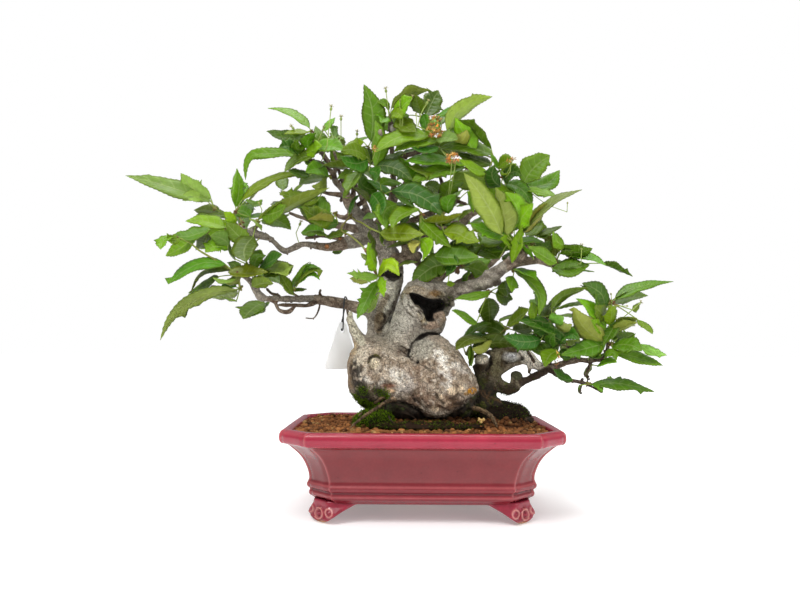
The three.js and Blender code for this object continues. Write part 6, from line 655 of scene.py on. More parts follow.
        ([15.5, -14, 321.9], [[22.8, -27.6, 297.2], [36, -31.1, 296.3], [46.7, -34.2, 290.2], [60.8, -36.8, 284.7]], [0.01, -0.83, 0.56], 26.2, "L", [[0.58, -1, 19.9], [0.73, 1, 16.2]], []),
        ([30, -26, 264.7], [[34.2, -21.3, 286.5], [44.3, -12.7, 291.8], [54.4, -3.8, 292.5], [64.3, 5.4, 289.5]], [0.49, -0.66, 0.57], 25.7, "D", [[0.59, 1, 17.4], [0.71, -1, 14.3]], []),
        ([30, -26, 264.7], [[27.8, -27.3, 244.3], [29.3, -29.9, 241.4], [31.6, -32.4, 240.1], [34.7, -34.7, 240.5]], [-0.50, -0.71, 0.49], 6.8, "B", [], []),
    ],
    "leaf_cluster_26": [
        ([45.6, 8, 264.3], [[49.3, 12.7, 260.3], [61, 21.1, 266.1], [69.9, 29.9, 271.5], [81.9, 39.2, 276.2]], [0.15, -0.61, 0.78], 23.2, "M", [], []),
        ([45.6, 8, 264.3], [[54.4, -4.1, 259.5], [49.3, -6.3, 254.1], [46.9, -8.2, 247.9], [45.7, -10, 240.2]], [-0.66, -0.32, 0.68], 15.1, "B", [], []),
        ([45.6, 8, 264.3], [[52.8, 9.3, 263.9], [66, 14, 259.8], [76.8, 19.1, 252], [86, 24.7, 242.6]], [0.53, -0.79, 0.30], 26.2, "M", [[0.49, 1, 17.5]], []),
        ([56.5, 16, 252.9], [[64.8, 10.3, 255.7], [62, 16.3, 252.9], [60, 22.1, 249.3], [58.7, 27.7, 244.8]], [0.18, 0.59, 0.79], 12.6, "D", [], []),
        ([45.6, 8, 264.3], [[38.2, 10, 269.3], [45.5, 13.5, 267.5], [49.3, 17.3, 267.4], [55.8, 21.3, 270.4]], [0.45, -0.78, 0.44], 13, "D", [], []),
    ],
    "leaf_cluster_27": [
        ([98.1, -40, 282.3], [[82.8, -42.8, 291.5], [71.5, -46.7, 313.8], [57.9, -52, 334.1], [42, -58.5, 352.4]], [-0.19, 0.97, 0.12], 27, "S", [], []),
        ([98.1, -40, 282.3], [[88.9, -41.9, 290.8], [87.6, -45.1, 308.1], [83, -48.7, 324.2], [75, -52.8, 339.2]], [0.75, 0.55, 0.36], 26.3, "S", [], []),
        ([98.1, -40, 282.3], [[95.5, -43.6, 298.5], [98.9, -49.8, 311.5], [94.2, -56.6, 323.7], [83.2, -64, 331.9]], [0.32, 0.75, 0.58], 23, "L", [[0.5, 1, 16.6], [0.8, -1, 12.7]], []),
        ([98.1, -40, 282.3], [[100.5, -44.7, 297.2], [102.6, -53.5, 306.4], [105.7, -62.4, 312.2], [110.6, -71.6, 318.8]], [0.89, 0.42, 0.16], 22, "L", [], []),
        ([98.1, -40, 282.3], [[99.8, -43.1, 289.2], [116, -49.6, 311], [137.1, -55.6, 326.4], [162.1, -60.9, 335.4]], [-0.60, -0.41, 0.69], 23, "S", [], [[0.57, 1, 2.5]]),
        ([98.1, -40, 282.3], [[105.4, -41.6, 293.8], [113.2, -44.2, 304.7], [121.5, -47.2, 315], [130.6, -50.4, 324.6]], [-0.49, 0.61, 0.62], 23.3, "S", [[0.46, -1, 15.8]], []),
        ([92.9, -26, 286.4], [[91.5, -27.6, 291.7], [76.8, -31.1, 295.7], [64.2, -34.1, 299.5], [50.9, -36.6, 304.4]], [0.40, -0.74, 0.54], 21.6, "B", [[0.66, 1, 14.3], [0.73, -1, 11.7]], []),
        ([92.9, -26, 286.4], [[90.4, -21.1, 288.2], [80.8, -12.2, 290.6], [71.7, -3, 295], [62.7, 6.6, 301.8]], [-0.37, -0.63, 0.68], 26.2, "D", [[0.6, 1, 19.4]], []),
        ([92.9, -26, 286.4], [[91.1, -23.9, 296.4], [92, -20.1, 305.5], [86.6, -16.1, 311.9], [78.8, -11.8, 309.3]], [-0.13, -0.78, 0.61], 13.7, "D", [[0.53, 1, 10.2], [0.72, -1, 7.8]], []),
        ([92.9, -26, 286.4], [[94.7, -21, 278.5], [85.7, -11.7, 283.8], [76.3, -2.1, 286.5], [66.8, 8, 286.9]], [-0.42, -0.62, 0.66], 21.9, "M", [[0.64, -1, 15.8], [0.72, 1, 12.7]], []),
        ([92.9, -26, 286.4], [[83.4, -21.2, 269.4], [75.5, -12.4, 276.7], [66.3, -3.2, 281.4], [56.6, 6.2, 283.2]], [-0.32, -0.64, 0.70], 27, "D", [], []),
        ([92.9, -26, 286.4], [[96.6, -29.3, 277.4], [93.9, -35.8, 283.8], [88.2, -41.9, 287], [80.5, -47.8, 286.5]], [0.74, -0.66, 0.10], 14.2, "L", [], []),
        ([92.9, -26, 286.4], [[95, -23, 299.5], [100.4, -17.6, 307.3], [101.2, -11.9, 314.1], [97.6, -5.9, 319.1]], [0.23, -0.71, 0.67], 15.5, "D", [], []),
    ],
    "leaf_cluster_28": [
        ([87.3, -22, 356.5], [[83.8, -26.1, 346.4], [75.5, -33.5, 350.8], [72.1, -41.3, 357.2], [74.6, -49.5, 363.7]], [-0.43, 0.66, 0.62], 18.1, "G", [[0.6, 1, 13.5], [0.76, -1, 9.8]], []),
        ([87.3, -22, 356.5], [[90, -25.7, 348], [89.6, -33, 355.3], [96.1, -40, 359.4], [103.5, -46.8, 352.6]], [-0.85, -0.50, 0.19], 16.5, "G", [], []),
        ([87.3, -22, 356.5], [[88.7, -23.5, 350.2], [101.5, -27, 346.5], [111, -29.9, 337.1], [116.5, -32, 324.1]], [0.10, -0.92, 0.38], 20.5, "B", [[0.53, -1, 15.7]], []),
        ([87.3, -22, 356.5], [[81.5, -25.5, 367.6], [84.7, -32.2, 370.7], [89.5, -38.7, 371.2], [95.1, -45, 369.5]], [-0.84, -0.49, 0.24], 16.6, "M", [], []),
        ([87.3, -22, 356.5], [[83.5, -24.3, 363], [89.6, -28.9, 363.5], [94.2, -33.3, 365.9], [99.9, -37.4, 367.7]], [-0.63, -0.73, 0.27], 15.9, "M", [], []),
    ],
    "leaf_cluster_29": [
        ([109.8, -16, 349.2], [[109.6, -17.6, 351], [116, -21.3, 363.2], [125.6, -24.4, 372.8], [137.1, -26.7, 380.5]], [-0.33, -0.94, 0.02], 27, "M", [[0.86, -1, 13.1]], []),
        ([109.8, -16, 349.2], [[111.9, -14.4, 350.1], [127.5, -12.1, 350.6], [141.7, -9.2, 357.2], [152.2, -5.5, 369.8]], [-0.05, -0.85, 0.52], 22.1, "M", [], []),
        ([109.8, -16, 349.2], [[112.5, -20.4, 346.5], [122.4, -29, 341.5], [131.8, -37.3, 336.3], [141.1, -45.2, 331]], [-0.01, -0.50, 0.87], 19.1, "M", [[0.51, 1, 13.3], [0.74, -1, 11.0]], []),
        ([109.8, -16, 349.2], [[112.5, -13.2, 344.4], [110.5, -7.6, 339.6], [113.3, -2.3, 336], [120.8, 2.9, 334.5]], [-0.59, 0.62, 0.51], 14.3, "D", [], []),
    ],
    "leaf_cluster_30": [
        ([117.8, -24, 284.7], [[124.8, -21.1, 293.8], [134.2, -16, 299.5], [143.9, -10.6, 303.5], [154.3, -5, 307.5]], [-0.18, -0.42, 0.89], 14.6, "D", [], []),
        ([117.8, -24, 284.7], [[111.5, -21.4, 294.5], [121.1, -16.8, 299.7], [126.6, -11.9, 306.5], [130.5, -6.9, 317]], [-0.28, -0.66, 0.70], 18.2, "M", [], []),
        ([117.8, -24, 284.7], [[120.1, -21.1, 296.6], [127.2, -15.8, 296.3], [132.4, -10.3, 300.4], [136.1, -4.5, 309]], [0.40, -0.72, 0.57], 15, "M", [], []),
        ([144.1, -20, 265.9], [[144.2, -19.8, 272.4], [144.2, -12.2, 282.5], [141, -4.3, 291.1], [135.2, 4, 297.3]], [-0.84, -0.50, 0.23], 19.1, "O", [], []),
        ([144.1, -20, 265.9], [[152.4, -27.7, 281.8], [143.1, -34.3, 284.7], [137.7, -41.2, 288.4], [135, -48.5, 294.7]], [-0.72, 0.67, 0.19], 16.3, "L", [], []),
        ([117.8, -24, 284.7], [[122, -20.9, 284.5], [131, -15.2, 282.1], [138.7, -9.3, 285.1], [142.3, -3, 292.6]], [0.31, -0.73, 0.61], 16.4, "D", [], []),
        ([117.8, -24, 284.7], [[112.7, -20.8, 277.2], [116.4, -15, 286.1], [123.5, -8.9, 290.3], [131.7, -2.5, 287.8]], [0.32, -0.68, 0.66], 16.4, "M", [[0.55, 1, 10.8]], []),
    ],
    "leaf_cluster_31": [
        ([144.1, -20, 265.9], [[147.8, -23.3, 279.5], [158, -29.5, 276], [167.8, -35.9, 275.5], [177.4, -42.3, 277.7]], [0.29, 0.38, 0.87], 23, "O", [[0.21, 1, 9.4]], []),
        ([152.8, -17.5, 263.5], [[160.4, -23.7, 273.1], [171.2, -31, 270.8], [180.3, -37.9, 266.7], [190.3, -44.4, 259.8]], [0.01, -0.58, 0.81], 19.7, "B", [[0.61, -1, 12.8]], []),
        ([152.8, -17.5, 263.5], [[193.5, -23.3, 264.6], [202.8, -29.6, 260.5], [210.7, -35.9, 255.2], [218.8, -42.2, 248.7]], [0.63, 0.04, 0.78], 17.1, "O", [[0.49, 1, 11.3], [0.82, -1, 9.5]], []),
        ([136.6, -25, 263.4], [[137.7, -29.8, 257.3], [150.4, -32.7, 257.4], [163, -35.2, 258.7], [175.5, -37.4, 261.1]], [-0.22, -0.74, 0.64], 25.6, "M", [], []),
        ([144.1, -20, 265.9], [[139.4, -21.7, 256], [153.8, -24.8, 256.5], [168.1, -27.9, 256.2], [182.1, -31.2, 254.6]], [0.06, 0.13, 0.99], 20, "O", [], []),
        ([144.1, -20, 265.9], [[144, -18.8, 255.5], [147.3, -16.4, 254.7], [149.3, -14, 252.9], [150.2, -11.8, 250.6]], [0.35, 0.45, 0.82], 4.6, "D", [], []),
        ([144.1, -20, 265.9], [[138.9, -16.5, 264.7], [147.6, -10.2, 263.4], [154.1, -3.6, 264.4], [161.9, 3.3, 267.2]], [0.49, -0.67, 0.55], 18, "D", [[0.56, -1, 12.9]], []),
        ([144.1, -20, 265.9], [[128.4, -16.7, 276.4], [134.5, -10.7, 272.8], [141.7, -4.4, 271.3], [149.1, 2.2, 273]], [0.66, -0.73, 0.18], 17, "D", [[0.63, 1, 13.1], [0.71, -1, 9.8]], []),
    ],
    "leaf_cluster_32": [
        ([98.4, -24, 256.7], [[97.5, -29.6, 257.1], [105.5, -39.1, 254.5], [110.8, -48.4, 249.5], [117.5, -57.2, 243]], [0.02, -0.45, 0.89], 20.7, "B", [], []),
        ([98.4, -24, 256.7], [[98.9, -26.2, 255.7], [115.5, -31.1, 244.5], [125.3, -35.3, 227.6], [121.4, -38.8, 207.2]], [0.56, -0.67, 0.49], 23, "B", [[0.21, -1, 6.3]], []),
        ([98.4, -24, 256.7], [[96.9, -27.3, 249.8], [95, -33.9, 242.2], [93.1, -40.1, 238.7], [92.7, -46.2, 231.4]], [0.59, -0.60, 0.54], 15.9, "M", [], []),
        ([73.2, -12, 233.9], [[81, -20.2, 237.9], [90.7, -13.5, 237.4], [94.5, -6.3, 237.8], [101.3, 1.2, 235]], [0.74, -0.66, 0.11], 16.4, "D", [[0.59, 1, 12.0]], []),
        ([73.2, -12, 233.9], [[79.2, -20.2, 231.5], [87.1, -13.2, 229.1], [92.8, -5.9, 229.9], [101.3, 1.6, 227.3]], [0.72, -0.62, 0.32], 20.2, "D", [[0.52, 1, 14.6]], []),
        ([98.4, -24, 256.7], [[91.6, -20.9, 262.4], [94.5, -15.3, 269], [99.1, -9.4, 274.5], [105.3, -3.4, 278.1]], [0.05, -0.61, 0.79], 15.5, "D", [[0.44, -1, 10.1], [0.71, 1, 9.8]], []),
    ],
    "leaf_cluster_33": [
        ([73.2, -12, 233.9], [[71, -29.7, 233.6], [58.4, -38.8, 229.2], [45.8, -47.7, 225.7], [33.1, -56.3, 223.3]], [-0.05, -0.35, 0.94], 19.7, "M", [], []),
        ([73.2, -12, 233.9], [[72.2, -7.2, 227.7], [74.5, 2.3, 218.4], [76.2, 11.4, 208.3], [77.6, 19.8, 197.5]], [-0.17, 0.74, 0.66], 23.4, "D", [[0.57, 1, 14.0]], []),
        ([73.2, -12, 233.9], [[59.9, -16.8, 200.8], [50.2, -26.1, 204.8], [40.5, -35.1, 208.7], [30.8, -43.9, 212.4]], [0.63, -0.35, 0.70], 18.9, "M", [], []),
    ],
    "leaf_cluster_34": [
        ([92.9, -2, 194.1], [[92.9, -6.9, 198], [99.7, -15.3, 204.6], [105.4, -23.6, 209.6], [112.8, -31.8, 214.7]], [-0.87, -0.36, 0.35], 21.9, "O", [[0.57, 1, 14.4]], []),
        ([92.9, -2, 194.1], [[92.1, 2.2, 188.2], [81.7, 9.6, 195.6], [70.3, 17.5, 197.2], [58.1, 25.8, 192.8]], [-0.35, -0.66, 0.67], 22.5, "D", [[0.57, 1, 15.0]], []),
        ([67.4, 5, 169.8], [[69.9, -13.2, 183.5], [56.5, -24.5, 184.4], [44.3, -35.5, 180], [34.9, -46.2, 171.4]], [-0.04, -0.43, 0.90], 23.2, "O", [], []),
        ([92.9, -2, 194.1], [[77.1, -6, 182], [70.8, -13.4, 175.1], [62.7, -21.1, 171.7], [52.9, -29, 172.6]], [-0.75, 0.62, 0.25], 13, "P", [], []),
        ([92.9, -2, 194.1], [[85.5, 0.6, 185.3], [85.8, 5.8, 180.4], [84.5, 10.8, 176.3], [81.7, 15.6, 173.4]], [0.77, 0.55, 0.32], 11.3, "O", [], []),
        ([92.9, -2, 194.1], [[85.7, 0, 203.1], [92, 3.8, 205.5], [98, 7.6, 207.6], [103.9, 11.6, 210]], [-0.22, -0.33, 0.92], 10.3, "M", [], []),
    ],
    "leaf_cluster_35": [
        ([131.8, -20, 189.7], [[127.5, -21.5, 182.7], [113, -25.1, 180.1], [99.5, -27.9, 181.4], [85.5, -30.1, 186.6]], [0.21, -0.93, 0.31], 20.6, "G", [[0.6, 1, 13.5], [0.71, -1, 13.5]], []),
        ([131.8, -20, 189.7], [[146.4, -21.8, 189.7], [131.9, -25.6, 197.1], [117.6, -28.9, 201.3], [100.7, -31.8, 202.5]], [0.29, -0.62, 0.73], 24.8, "G", [], []),
        ([131.3, -16.5, 200.4], [[119.7, -22.6, 203.4], [118.4, -27, 209.9], [116.5, -31.6, 215.9], [114.1, -36.5, 221.8]], [-0.52, 0.76, 0.39], 15, "M", [], []),
        ([131.3, -16.5, 200.4], [[127.1, -15.4, 206.4], [131, -7.1, 218.2], [130.3, 1.6, 228.5], [125.4, 10.6, 236.9]], [0.55, -0.56, 0.62], 21.6, "M", [], []),
        ([141.2, -10.8, 175.3], [[143.8, -23.9, 171.7], [135.4, -31.5, 168], [129.6, -38.9, 161.9], [126.3, -45.8, 154.4]], [-0.01, -0.64, 0.77], 19.5, "M", [], []),
        ([140, -11.5, 178], [[139.6, -23, 174.8], [135.7, -28.4, 180.8], [134.9, -34.1, 184.6], [137.1, -40, 189.4]], [0.47, 0.53, 0.70], 14.6, "G", [], []),
        ([92.9, -2, 194.1], [[98.3, -16.3, 192.8], [107.1, -9.5, 193.7], [114, -2.5, 194.7], [122.6, 4.7, 196.6]], [0.40, -0.59, 0.70], 19.3, "D", [[0.44, 1, 12.7]], []),
        ([131.8, -20, 189.7], [[126.7, -18, 179], [127.7, -14.1, 175.6], [126.3, -10.2, 174], [122.8, -6.5, 174.3]], [0.84, 0.41, 0.36], 10.7, "D", [], []),
        ([139, -22, 208.9], [[137.8, -23.8, 215.2], [146.7, -26.8, 227.7], [160.1, -30.2, 233.8], [174.4, -34, 237.4]], [-0.36, 0.41, 0.84], 22.9, "O", [[0.36, -1, 5.6]], []),
        ([139, -22, 208.9], [[144.4, -18.4, 216], [158.5, -11.4, 219.9], [173.1, -4.6, 222], [188.3, 2, 222.7]], [-0.20, 0.20, 0.96], 19.5, "O", [], []),
        ([139, -22, 208.9], [[140.6, -19.5, 205.7], [137.7, -15, 209], [138.5, -10.4, 212.9], [143, -5.5, 218.1]], [-0.04, -0.63, 0.78], 14.6, "D", [], []),
        ([139, -22, 208.9], [[135.1, -25.1, 205.5], [139.8, -30.9, 204.3], [142.9, -36.8, 204.2], [146.9, -42.8, 206]], [0.65, 0.45, 0.61], 16.1, "S", [], []),
        ([139, -22, 208.9], [[141.7, -24.2, 202.4], [145.5, -28.3, 197], [151.5, -32.6, 195.6], [156.6, -37, 198.9]], [0.62, 0.58, 0.53], 15.2, "P", [], []),
        ([135.8, -14, 188.7], [[147.7, -23.5, 190.3], [149.6, -26.1, 193.2], [152, -28.9, 194.7], [154.6, -31.9, 194.9]], [0.50, 0.65, 0.57], 8.6, "P", [], []),
        ([139, -22, 208.9], [[128.9, -19.8, 206.8], [132, -15.8, 213.5], [136.9, -11.6, 218.6], [142.7, -7.4, 223.9]], [-0.65, -0.31, 0.69], 12.3, "D", [], []),
    ],
    "leaf_cluster_36": [
        ([157, -8, 177], [[149.5, -12.3, 174.8], [149.1, -20.6, 185.7], [157.2, -28.8, 189.1], [164.7, -36.9, 182.8]], [-0.82, -0.28, 0.50], 19.7, "G", [], []),
        ([154.3, 4, 176.3], [[153.3, 4.4, 173.8], [163.4, 10.9, 175.3], [171.4, 17.6, 178.5], [180.5, 24.4, 183.1]], [0.19, -0.56, 0.80], 20.3, "M", [[0.56, 1, 14.8], [0.82, -1, 12.3]], []),
        ([177.6, -5.5, 171.6], [[186.5, -3.3, 189.1], [179.3, 5.3, 192.7], [173.6, 14.1, 194.2], [165.1, 23.3, 192.7]], [-0.55, -0.45, 0.70], 21.8, "D", [], []),
        ([177.6, -5.5, 171.6], [[186, -4.9, 185.8], [184.6, 1.1, 180.2], [182, 6.9, 178.6], [175.2, 12.5, 178.8]], [0.46, 0.58, 0.68], 13.1, "O", [], []),
        ([157, -8, 177], [[149.8, -10.2, 172.1], [155.3, -14.6, 167.3], [160.3, -18.8, 167.5], [166.6, -22.8, 172.2]], [-0.46, -0.65, 0.60], 15.1, "G", [], []),
        ([139.2, -1.5, 148.5], [[139.3, -1, 149.1], [151.8, 7.8, 145.7], [163.4, 16.8, 141.1], [174.8, 26.2, 135.1]], [0.61, -0.38, 0.69], 20.9, "D", [[0.62, 1, 14.4]], []),
    ],
    "leaf_cluster_37": [
        ([197.2, -22, 184.6], [[193.5, -23.8, 181.4], [178.9, -27, 190.3], [167.7, -30.4, 201.9], [159.2, -33.9, 216.8]], [0.49, 0.54, 0.68], 27, "P", [[1.0, -1, 8.5]], []),
        ([197.2, -22, 184.6], [[195.8, -23.7, 193.1], [188, -27.5, 207.1], [176.4, -30.8, 218.3], [161.8, -33.5, 225.8]], [0.63, -0.61, 0.48], 22.5, "L", [], []),
        ([197.2, -22, 184.6], [[198.9, -25.7, 198.4], [198.1, -32.4, 205.7], [196.9, -39.5, 212.6], [194.8, -46.9, 219]], [-0.19, 0.71, 0.68], 15.3, "L", [[0.47, -1, 11.6], [0.81, 1, 8.8]], []),
        ([197.2, -22, 184.6], [[192.1, -25.2, 191.9], [186.5, -31.7, 195.4], [180.8, -37.8, 199.3], [174.3, -43.5, 203.4]], [0.70, -0.69, 0.16], 13.9, "L", [], []),
        ([197.2, -22, 184.6], [[192.2, -25.4, 201.5], [189.9, -31.6, 208.9], [184.9, -38.1, 212.3], [178.1, -44.9, 217.7]], [-0.58, 0.70, 0.42], 17.7, "M", [[0.44, 1, 12.4], [0.79, -1, 10.3]], []),
        ([197.2, -22, 184.6], [[204.3, -26.4, 190.7], [209, -34.5, 196.3], [214.3, -42.9, 199.7], [219.9, -51.4, 200.4]], [0.11, 0.45, 0.89], 19.7, "S", [[0.56, 1, 14.7]], []),
        ([197.2, -22, 184.6], [[205.5, -26.1, 198.5], [211.5, -33.6, 201.5], [215.2, -41.4, 203.5], [220.1, -49.3, 205.1]], [0.18, 0.41, 0.89], 18.9, "S", [], []),
        ([200.2, -26, 178.3], [[199.8, -30.9, 176.2], [207.5, -40.5, 178.6], [215, -49.8, 176.9], [221.5, -58.8, 171.4]], [-0.44, -0.47, 0.76], 22.5, "B", [[0.53, 1, 17.1], [0.71, -1, 13.5]], []),
        ([200.2, -26, 178.3], [[202.5, -21.3, 183.1], [215.7, -12.7, 183.7], [228.6, -3.8, 182], [240.9, 5.4, 177.9]], [0.46, -0.67, 0.58], 25.7, "M", [[0.6, 1, 19.3], [0.79, -1, 16.0]], []),
        ([200.2, -26, 178.3], [[202.7, -28, 169.9], [218.8, -32.3, 166.5], [234.3, -36.1, 161.8], [249.6, -39.4, 156.4]], [0.08, -0.62, 0.78], 26.3, "M", [], []),
        ([200.2, -26, 178.3], [[207.9, -22.6, 184.2], [216.3, -16.4, 185.3], [224.5, -10, 187.3], [232.2, -3.4, 190.4]], [0.32, -0.59, 0.75], 17.9, "D", [], []),
        ([200.2, -26, 178.3], [[229.7, -29, 178.5], [236.2, -35, 173], [242, -40.7, 169.2], [251, -46.2, 167.2]], [0.09, -0.55, 0.83], 18.2, "P", [[0.42, 1, 11.9], [0.82, -1, 10.3]], []),
        ([202.5, -20, 222.1], [[227.3, -29.8, 204.1], [230.6, -37.2, 199.4], [233, -44.3, 194.4], [235, -51.2, 188.7]], [0.14, -0.50, 0.85], 13.9, "L", [[0.61, -1, 10.5]], []),
        ([195, -18, 164.4], [[191.8, -28.9, 162.5], [193.7, -34.6, 168.8], [199.7, -40.1, 168.8], [199.3, -45.5, 160.9]], [-0.70, -0.37, 0.60], 12, "B", [[0.53, 1, 9.2]], []),
        ([202.5, -20, 222.1], [[223.7, -23.5, 214.5], [229, -19.1, 216.6], [233.5, -14.4, 219.4], [237.1, -9.4, 222.8]], [0.66, -0.73, 0.16], 8.6, "M", [], []),
    ],
    "leaf_cluster_38": [
        ([202.5, -20, 222.1], [[196.1, -21.6, 215.4], [192.5, -25.2, 228.6], [182.9, -28.1, 236.9], [169.1, -30.3, 242.5]], [0.43, -0.89, 0.16], 22.3, "G", [], []),
        ([202.5, -20, 222.1], [[207.6, -17.5, 226.5], [228.9, -13.3, 238.7], [251.4, -8.6, 244.5], [276.1, -3.3, 247.1]], [-0.18, -0.41, 0.89], 23, "M", [], []),
        ([202.5, -20, 222.1], [[204.1, -16.5, 224.9], [219.3, -9.5, 228.2], [234.4, -2.8, 230.5], [250.5, 3.4, 231.8]], [-0.33, 0.40, 0.85], 19.1, "O", [[0.44, 1, 13.2]], []),
    ],
    "leaf_cluster_39": [
        ([180.3, -16, 135.5], [[180.9, -18.6, 135.1], [202.3, -23.9, 137.3], [222.2, -28.8, 134.7], [242.9, -33.3, 128.8]], [0.08, -0.34, 0.94], 21.6, "B", [[0.46, 1, 16.6], [0.79, -1, 13.8]], []),
        ([180.3, -16, 135.5], [[179.6, -18, 135.1], [184.4, -21.9, 135.7], [188.1, -25.7, 132.4], [189.6, -29.4, 127.1]], [-0.07, -0.42, 0.91], 9.2, "M", [], []),
        ([180.3, -16, 135.5], [[169, -14.6, 134.3], [169.8, -11.6, 131], [170.8, -8.9, 127.6], [172, -6.3, 124.1]], [-0.64, 0.68, 0.36], 5.8, "D", [], []),
        ([180.8, -15, 156.2], [[182.4, -13.2, 155.7], [180.3, -9.3, 150.8], [179.4, -5.5, 146], [180.9, -2.1, 140.1]], [-0.48, 0.69, 0.55], 9.2, "D", [], []),
        ([180.8, -15, 156.2], [[186.9, -19.8, 154.8], [191, -27, 158.8], [195.6, -34.1, 160.4], [201.7, -41.1, 159.5]], [-0.65, -0.17, 0.74], 15.6, "L", [], []),
        ([186.7, -15.2, 161.9], [[183.9, -18.1, 168.2], [186.6, -22, 172.6], [187.9, -25.9, 171.6], [187.7, -29.7, 165.3]], [-0.78, -0.36, 0.52], 11, "B", [], []),
    ],
    "leaf_cluster_40": [
        ([-161.8, 92, 339.3], [[-166.5, 101.7, 339.3], [-173, 115.4, 341.8], [-179.5, 129, 340.4], [-186, 142.6, 334.5]], [-0.15, -0.06, 0.99], 19.6, "D", [[0.63, -1, 13.4]], []),
        ([-165.7, 96.7, 348.5], [[-162.9, 110.6, 352.6], [-160.6, 122.5, 358.6], [-158, 135, 361.1], [-155.4, 148.2, 359.7]], [-0.39, -0.19, 0.90], 20.3, "M", [], []),
        ([-165.7, 96.7, 348.5], [[-154.8, 104.5, 348.6], [-140.4, 114.9, 351.7], [-126, 125.2, 350.3], [-111.5, 135.6, 343.5]], [-0.19, 0.26, 0.95], 19.3, "M", [[0.46, 1, 14.0]], []),
        ([-169.6, 101.4, 357.6], [[-174.8, 115.2, 358.8], [-180.8, 131.1, 363.1], [-186.9, 147.1, 363], [-193.1, 163.5, 357.6]], [-0.35, -0.21, 0.91], 22.3, "D", [], []),
        ([-169.6, 101.4, 357.6], [[-161.1, 105.6, 366], [-152.4, 109.8, 378.4], [-142.3, 114.7, 387.3], [-130.3, 120.5, 392.1]], [-0.45, -0.53, 0.72], 17.5, "O", [[0.46, 1, 11.4]], []),
        ([-173.2, 105.7, 365.9], [[-175.2, 113, 372.7], [-178, 122.9, 386.2], [-181.2, 134.5, 395.9], [-185, 148.3, 401.2]], [0.26, -0.62, 0.74], 17.9, "D", [], []),
        ([-173.2, 105.7, 365.9], [[-171.8, 114.5, 367.9], [-169.9, 126.9, 373.1], [-167.8, 139.8, 374.8], [-165.7, 153.2, 372.5]], [-0.12, -0.20, 0.97], 21.2, "M", [], []),
        ([-173.2, 105.7, 365.9], [[-161.6, 102.4, 363.8], [-145.7, 97.8, 363.7], [-130.1, 93.4, 359.5], [-115.1, 89.1, 350.4]], [0.13, -0.18, 0.98], 19.4, "M", [[0.63, 1, 13.8]], []),
    ],
    "leaf_cluster_41": [
        ([-210.5, 52, 312.4], [[-210.6, 66.1, 313.5], [-210.6, 82.8, 317.7], [-210.7, 99.8, 317.6], [-210.7, 117, 312.3]], [-0.40, -0.07, 0.91], 17.1, "O", [], []),
        ([-213.9, 58.1, 320.9], [[-213.7, 68.6, 329.1], [-213.5, 79.3, 341.1], [-213.2, 91.4, 349.5], [-212.9, 105.6, 353.6]], [0.40, -0.57, 0.72], 17.3, "D", [[0.53, -1, 11.8], [0.77, 1, 10.2]], []),
        ([-213.9, 58.1, 320.9], [[-222.8, 69.8, 321.5], [-233, 83.2, 325.1], [-243.2, 96.8, 324.3], [-253.5, 110.4, 318.4]], [0.00, -0.05, 1.00], 21.4, "M", [], []),
        ([-217.3, 64.1, 329.4], [[-208.4, 73.7, 330.5], [-196.6, 86.5, 335], [-184.6, 99.5, 335], [-172.5, 112.6, 329.5]], [0.17, -0.26, 0.95], 19.9, "O", [], []),
        ([-217.3, 64.1, 329.4], [[-227.4, 66.3, 330], [-244.7, 70, 334], [-262.1, 73.7, 333.5], [-279.7, 77.5, 327.5]], [0.14, 0.41, 0.90], 21, "M", [[0.58, -1, 14.7]], []),
        ([-220.4, 69.7, 337.2], [[-221.4, 83.2, 335.3], [-222.6, 98.9, 335.9], [-223.7, 114.4, 332.5], [-224.8, 129.4, 324.5]], [-0.35, 0.10, 0.93], 21.2, "O", [], []),
        ([-220.4, 69.7, 337.2], [[-222, 77.8, 348.3], [-223.5, 85.1, 364], [-225.3, 94.5, 376.2], [-227.8, 106.7, 384.4]], [0.23, -0.77, 0.60], 21.4, "M", [[0.53, 1, 16.2], [0.74, -1, 11.8]], []),
        ([-220.4, 69.7, 337.2], [[-212, 72.5, 346.4], [-203.8, 75.4, 360.1], [-193.9, 78.8, 370.3], [-181.7, 83, 376.5]], [-0.64, -0.36, 0.68], 21.6, "O", [[0.64, 1, 16.6]], []),
    ],
    "leaf_cluster_42": [
        ([27.1, 104, 325.8], [[27.8, 118.8, 325.9], [28.5, 134.1, 328.7], [29.2, 149.5, 327.6], [29.9, 164.8, 321.8]], [0.22, -0.02, 0.98], 20.4, "M", [], []),
        ([29.7, 108.5, 335.4], [[29.3, 121.3, 342.9], [29, 132, 352.2], [28.6, 143.8, 358], [28.1, 157, 360]], [0.31, -0.47, 0.82], 19.5, "D", [[0.46, 1, 12.6]], []),
        ([29.7, 108.5, 335.4], [[38.3, 118.8, 336.8], [48.4, 130.7, 341.1], [58.6, 142.8, 341.4], [69, 155.2, 336.8]], [-0.36, 0.18, 0.92], 19.1, "B", [[0.46, 1, 12.6], [0.69, -1, 11.3]], []),
        ([32.3, 113.1, 345.1], [[22.3, 120.9, 343.5], [10.2, 130.4, 344.1], [-1.7, 139.7, 341], [-13.3, 148.8, 333.2]], [-0.08, 0.10, 0.99], 20.5, "B", [[0.52, 1, 15.5], [0.66, -1, 12.8]], []),
        ([32.3, 113.1, 345.1], [[39.1, 121.5, 355.5], [44.6, 128.3, 367.8], [51.1, 136.4, 376.9], [58.9, 146.1, 382.1]], [-0.64, -0.33, 0.69], 21, "B", [[0.55, -1, 14.5], [0.69, 1, 13.1]], []),
        ([34.7, 117.2, 353.9], [[31, 125.2, 362], [26.9, 134.3, 375.6], [22, 145, 385.4], [16.2, 157.8, 391]], [-0.12, -0.73, 0.67], 21.5, "D", [], []),
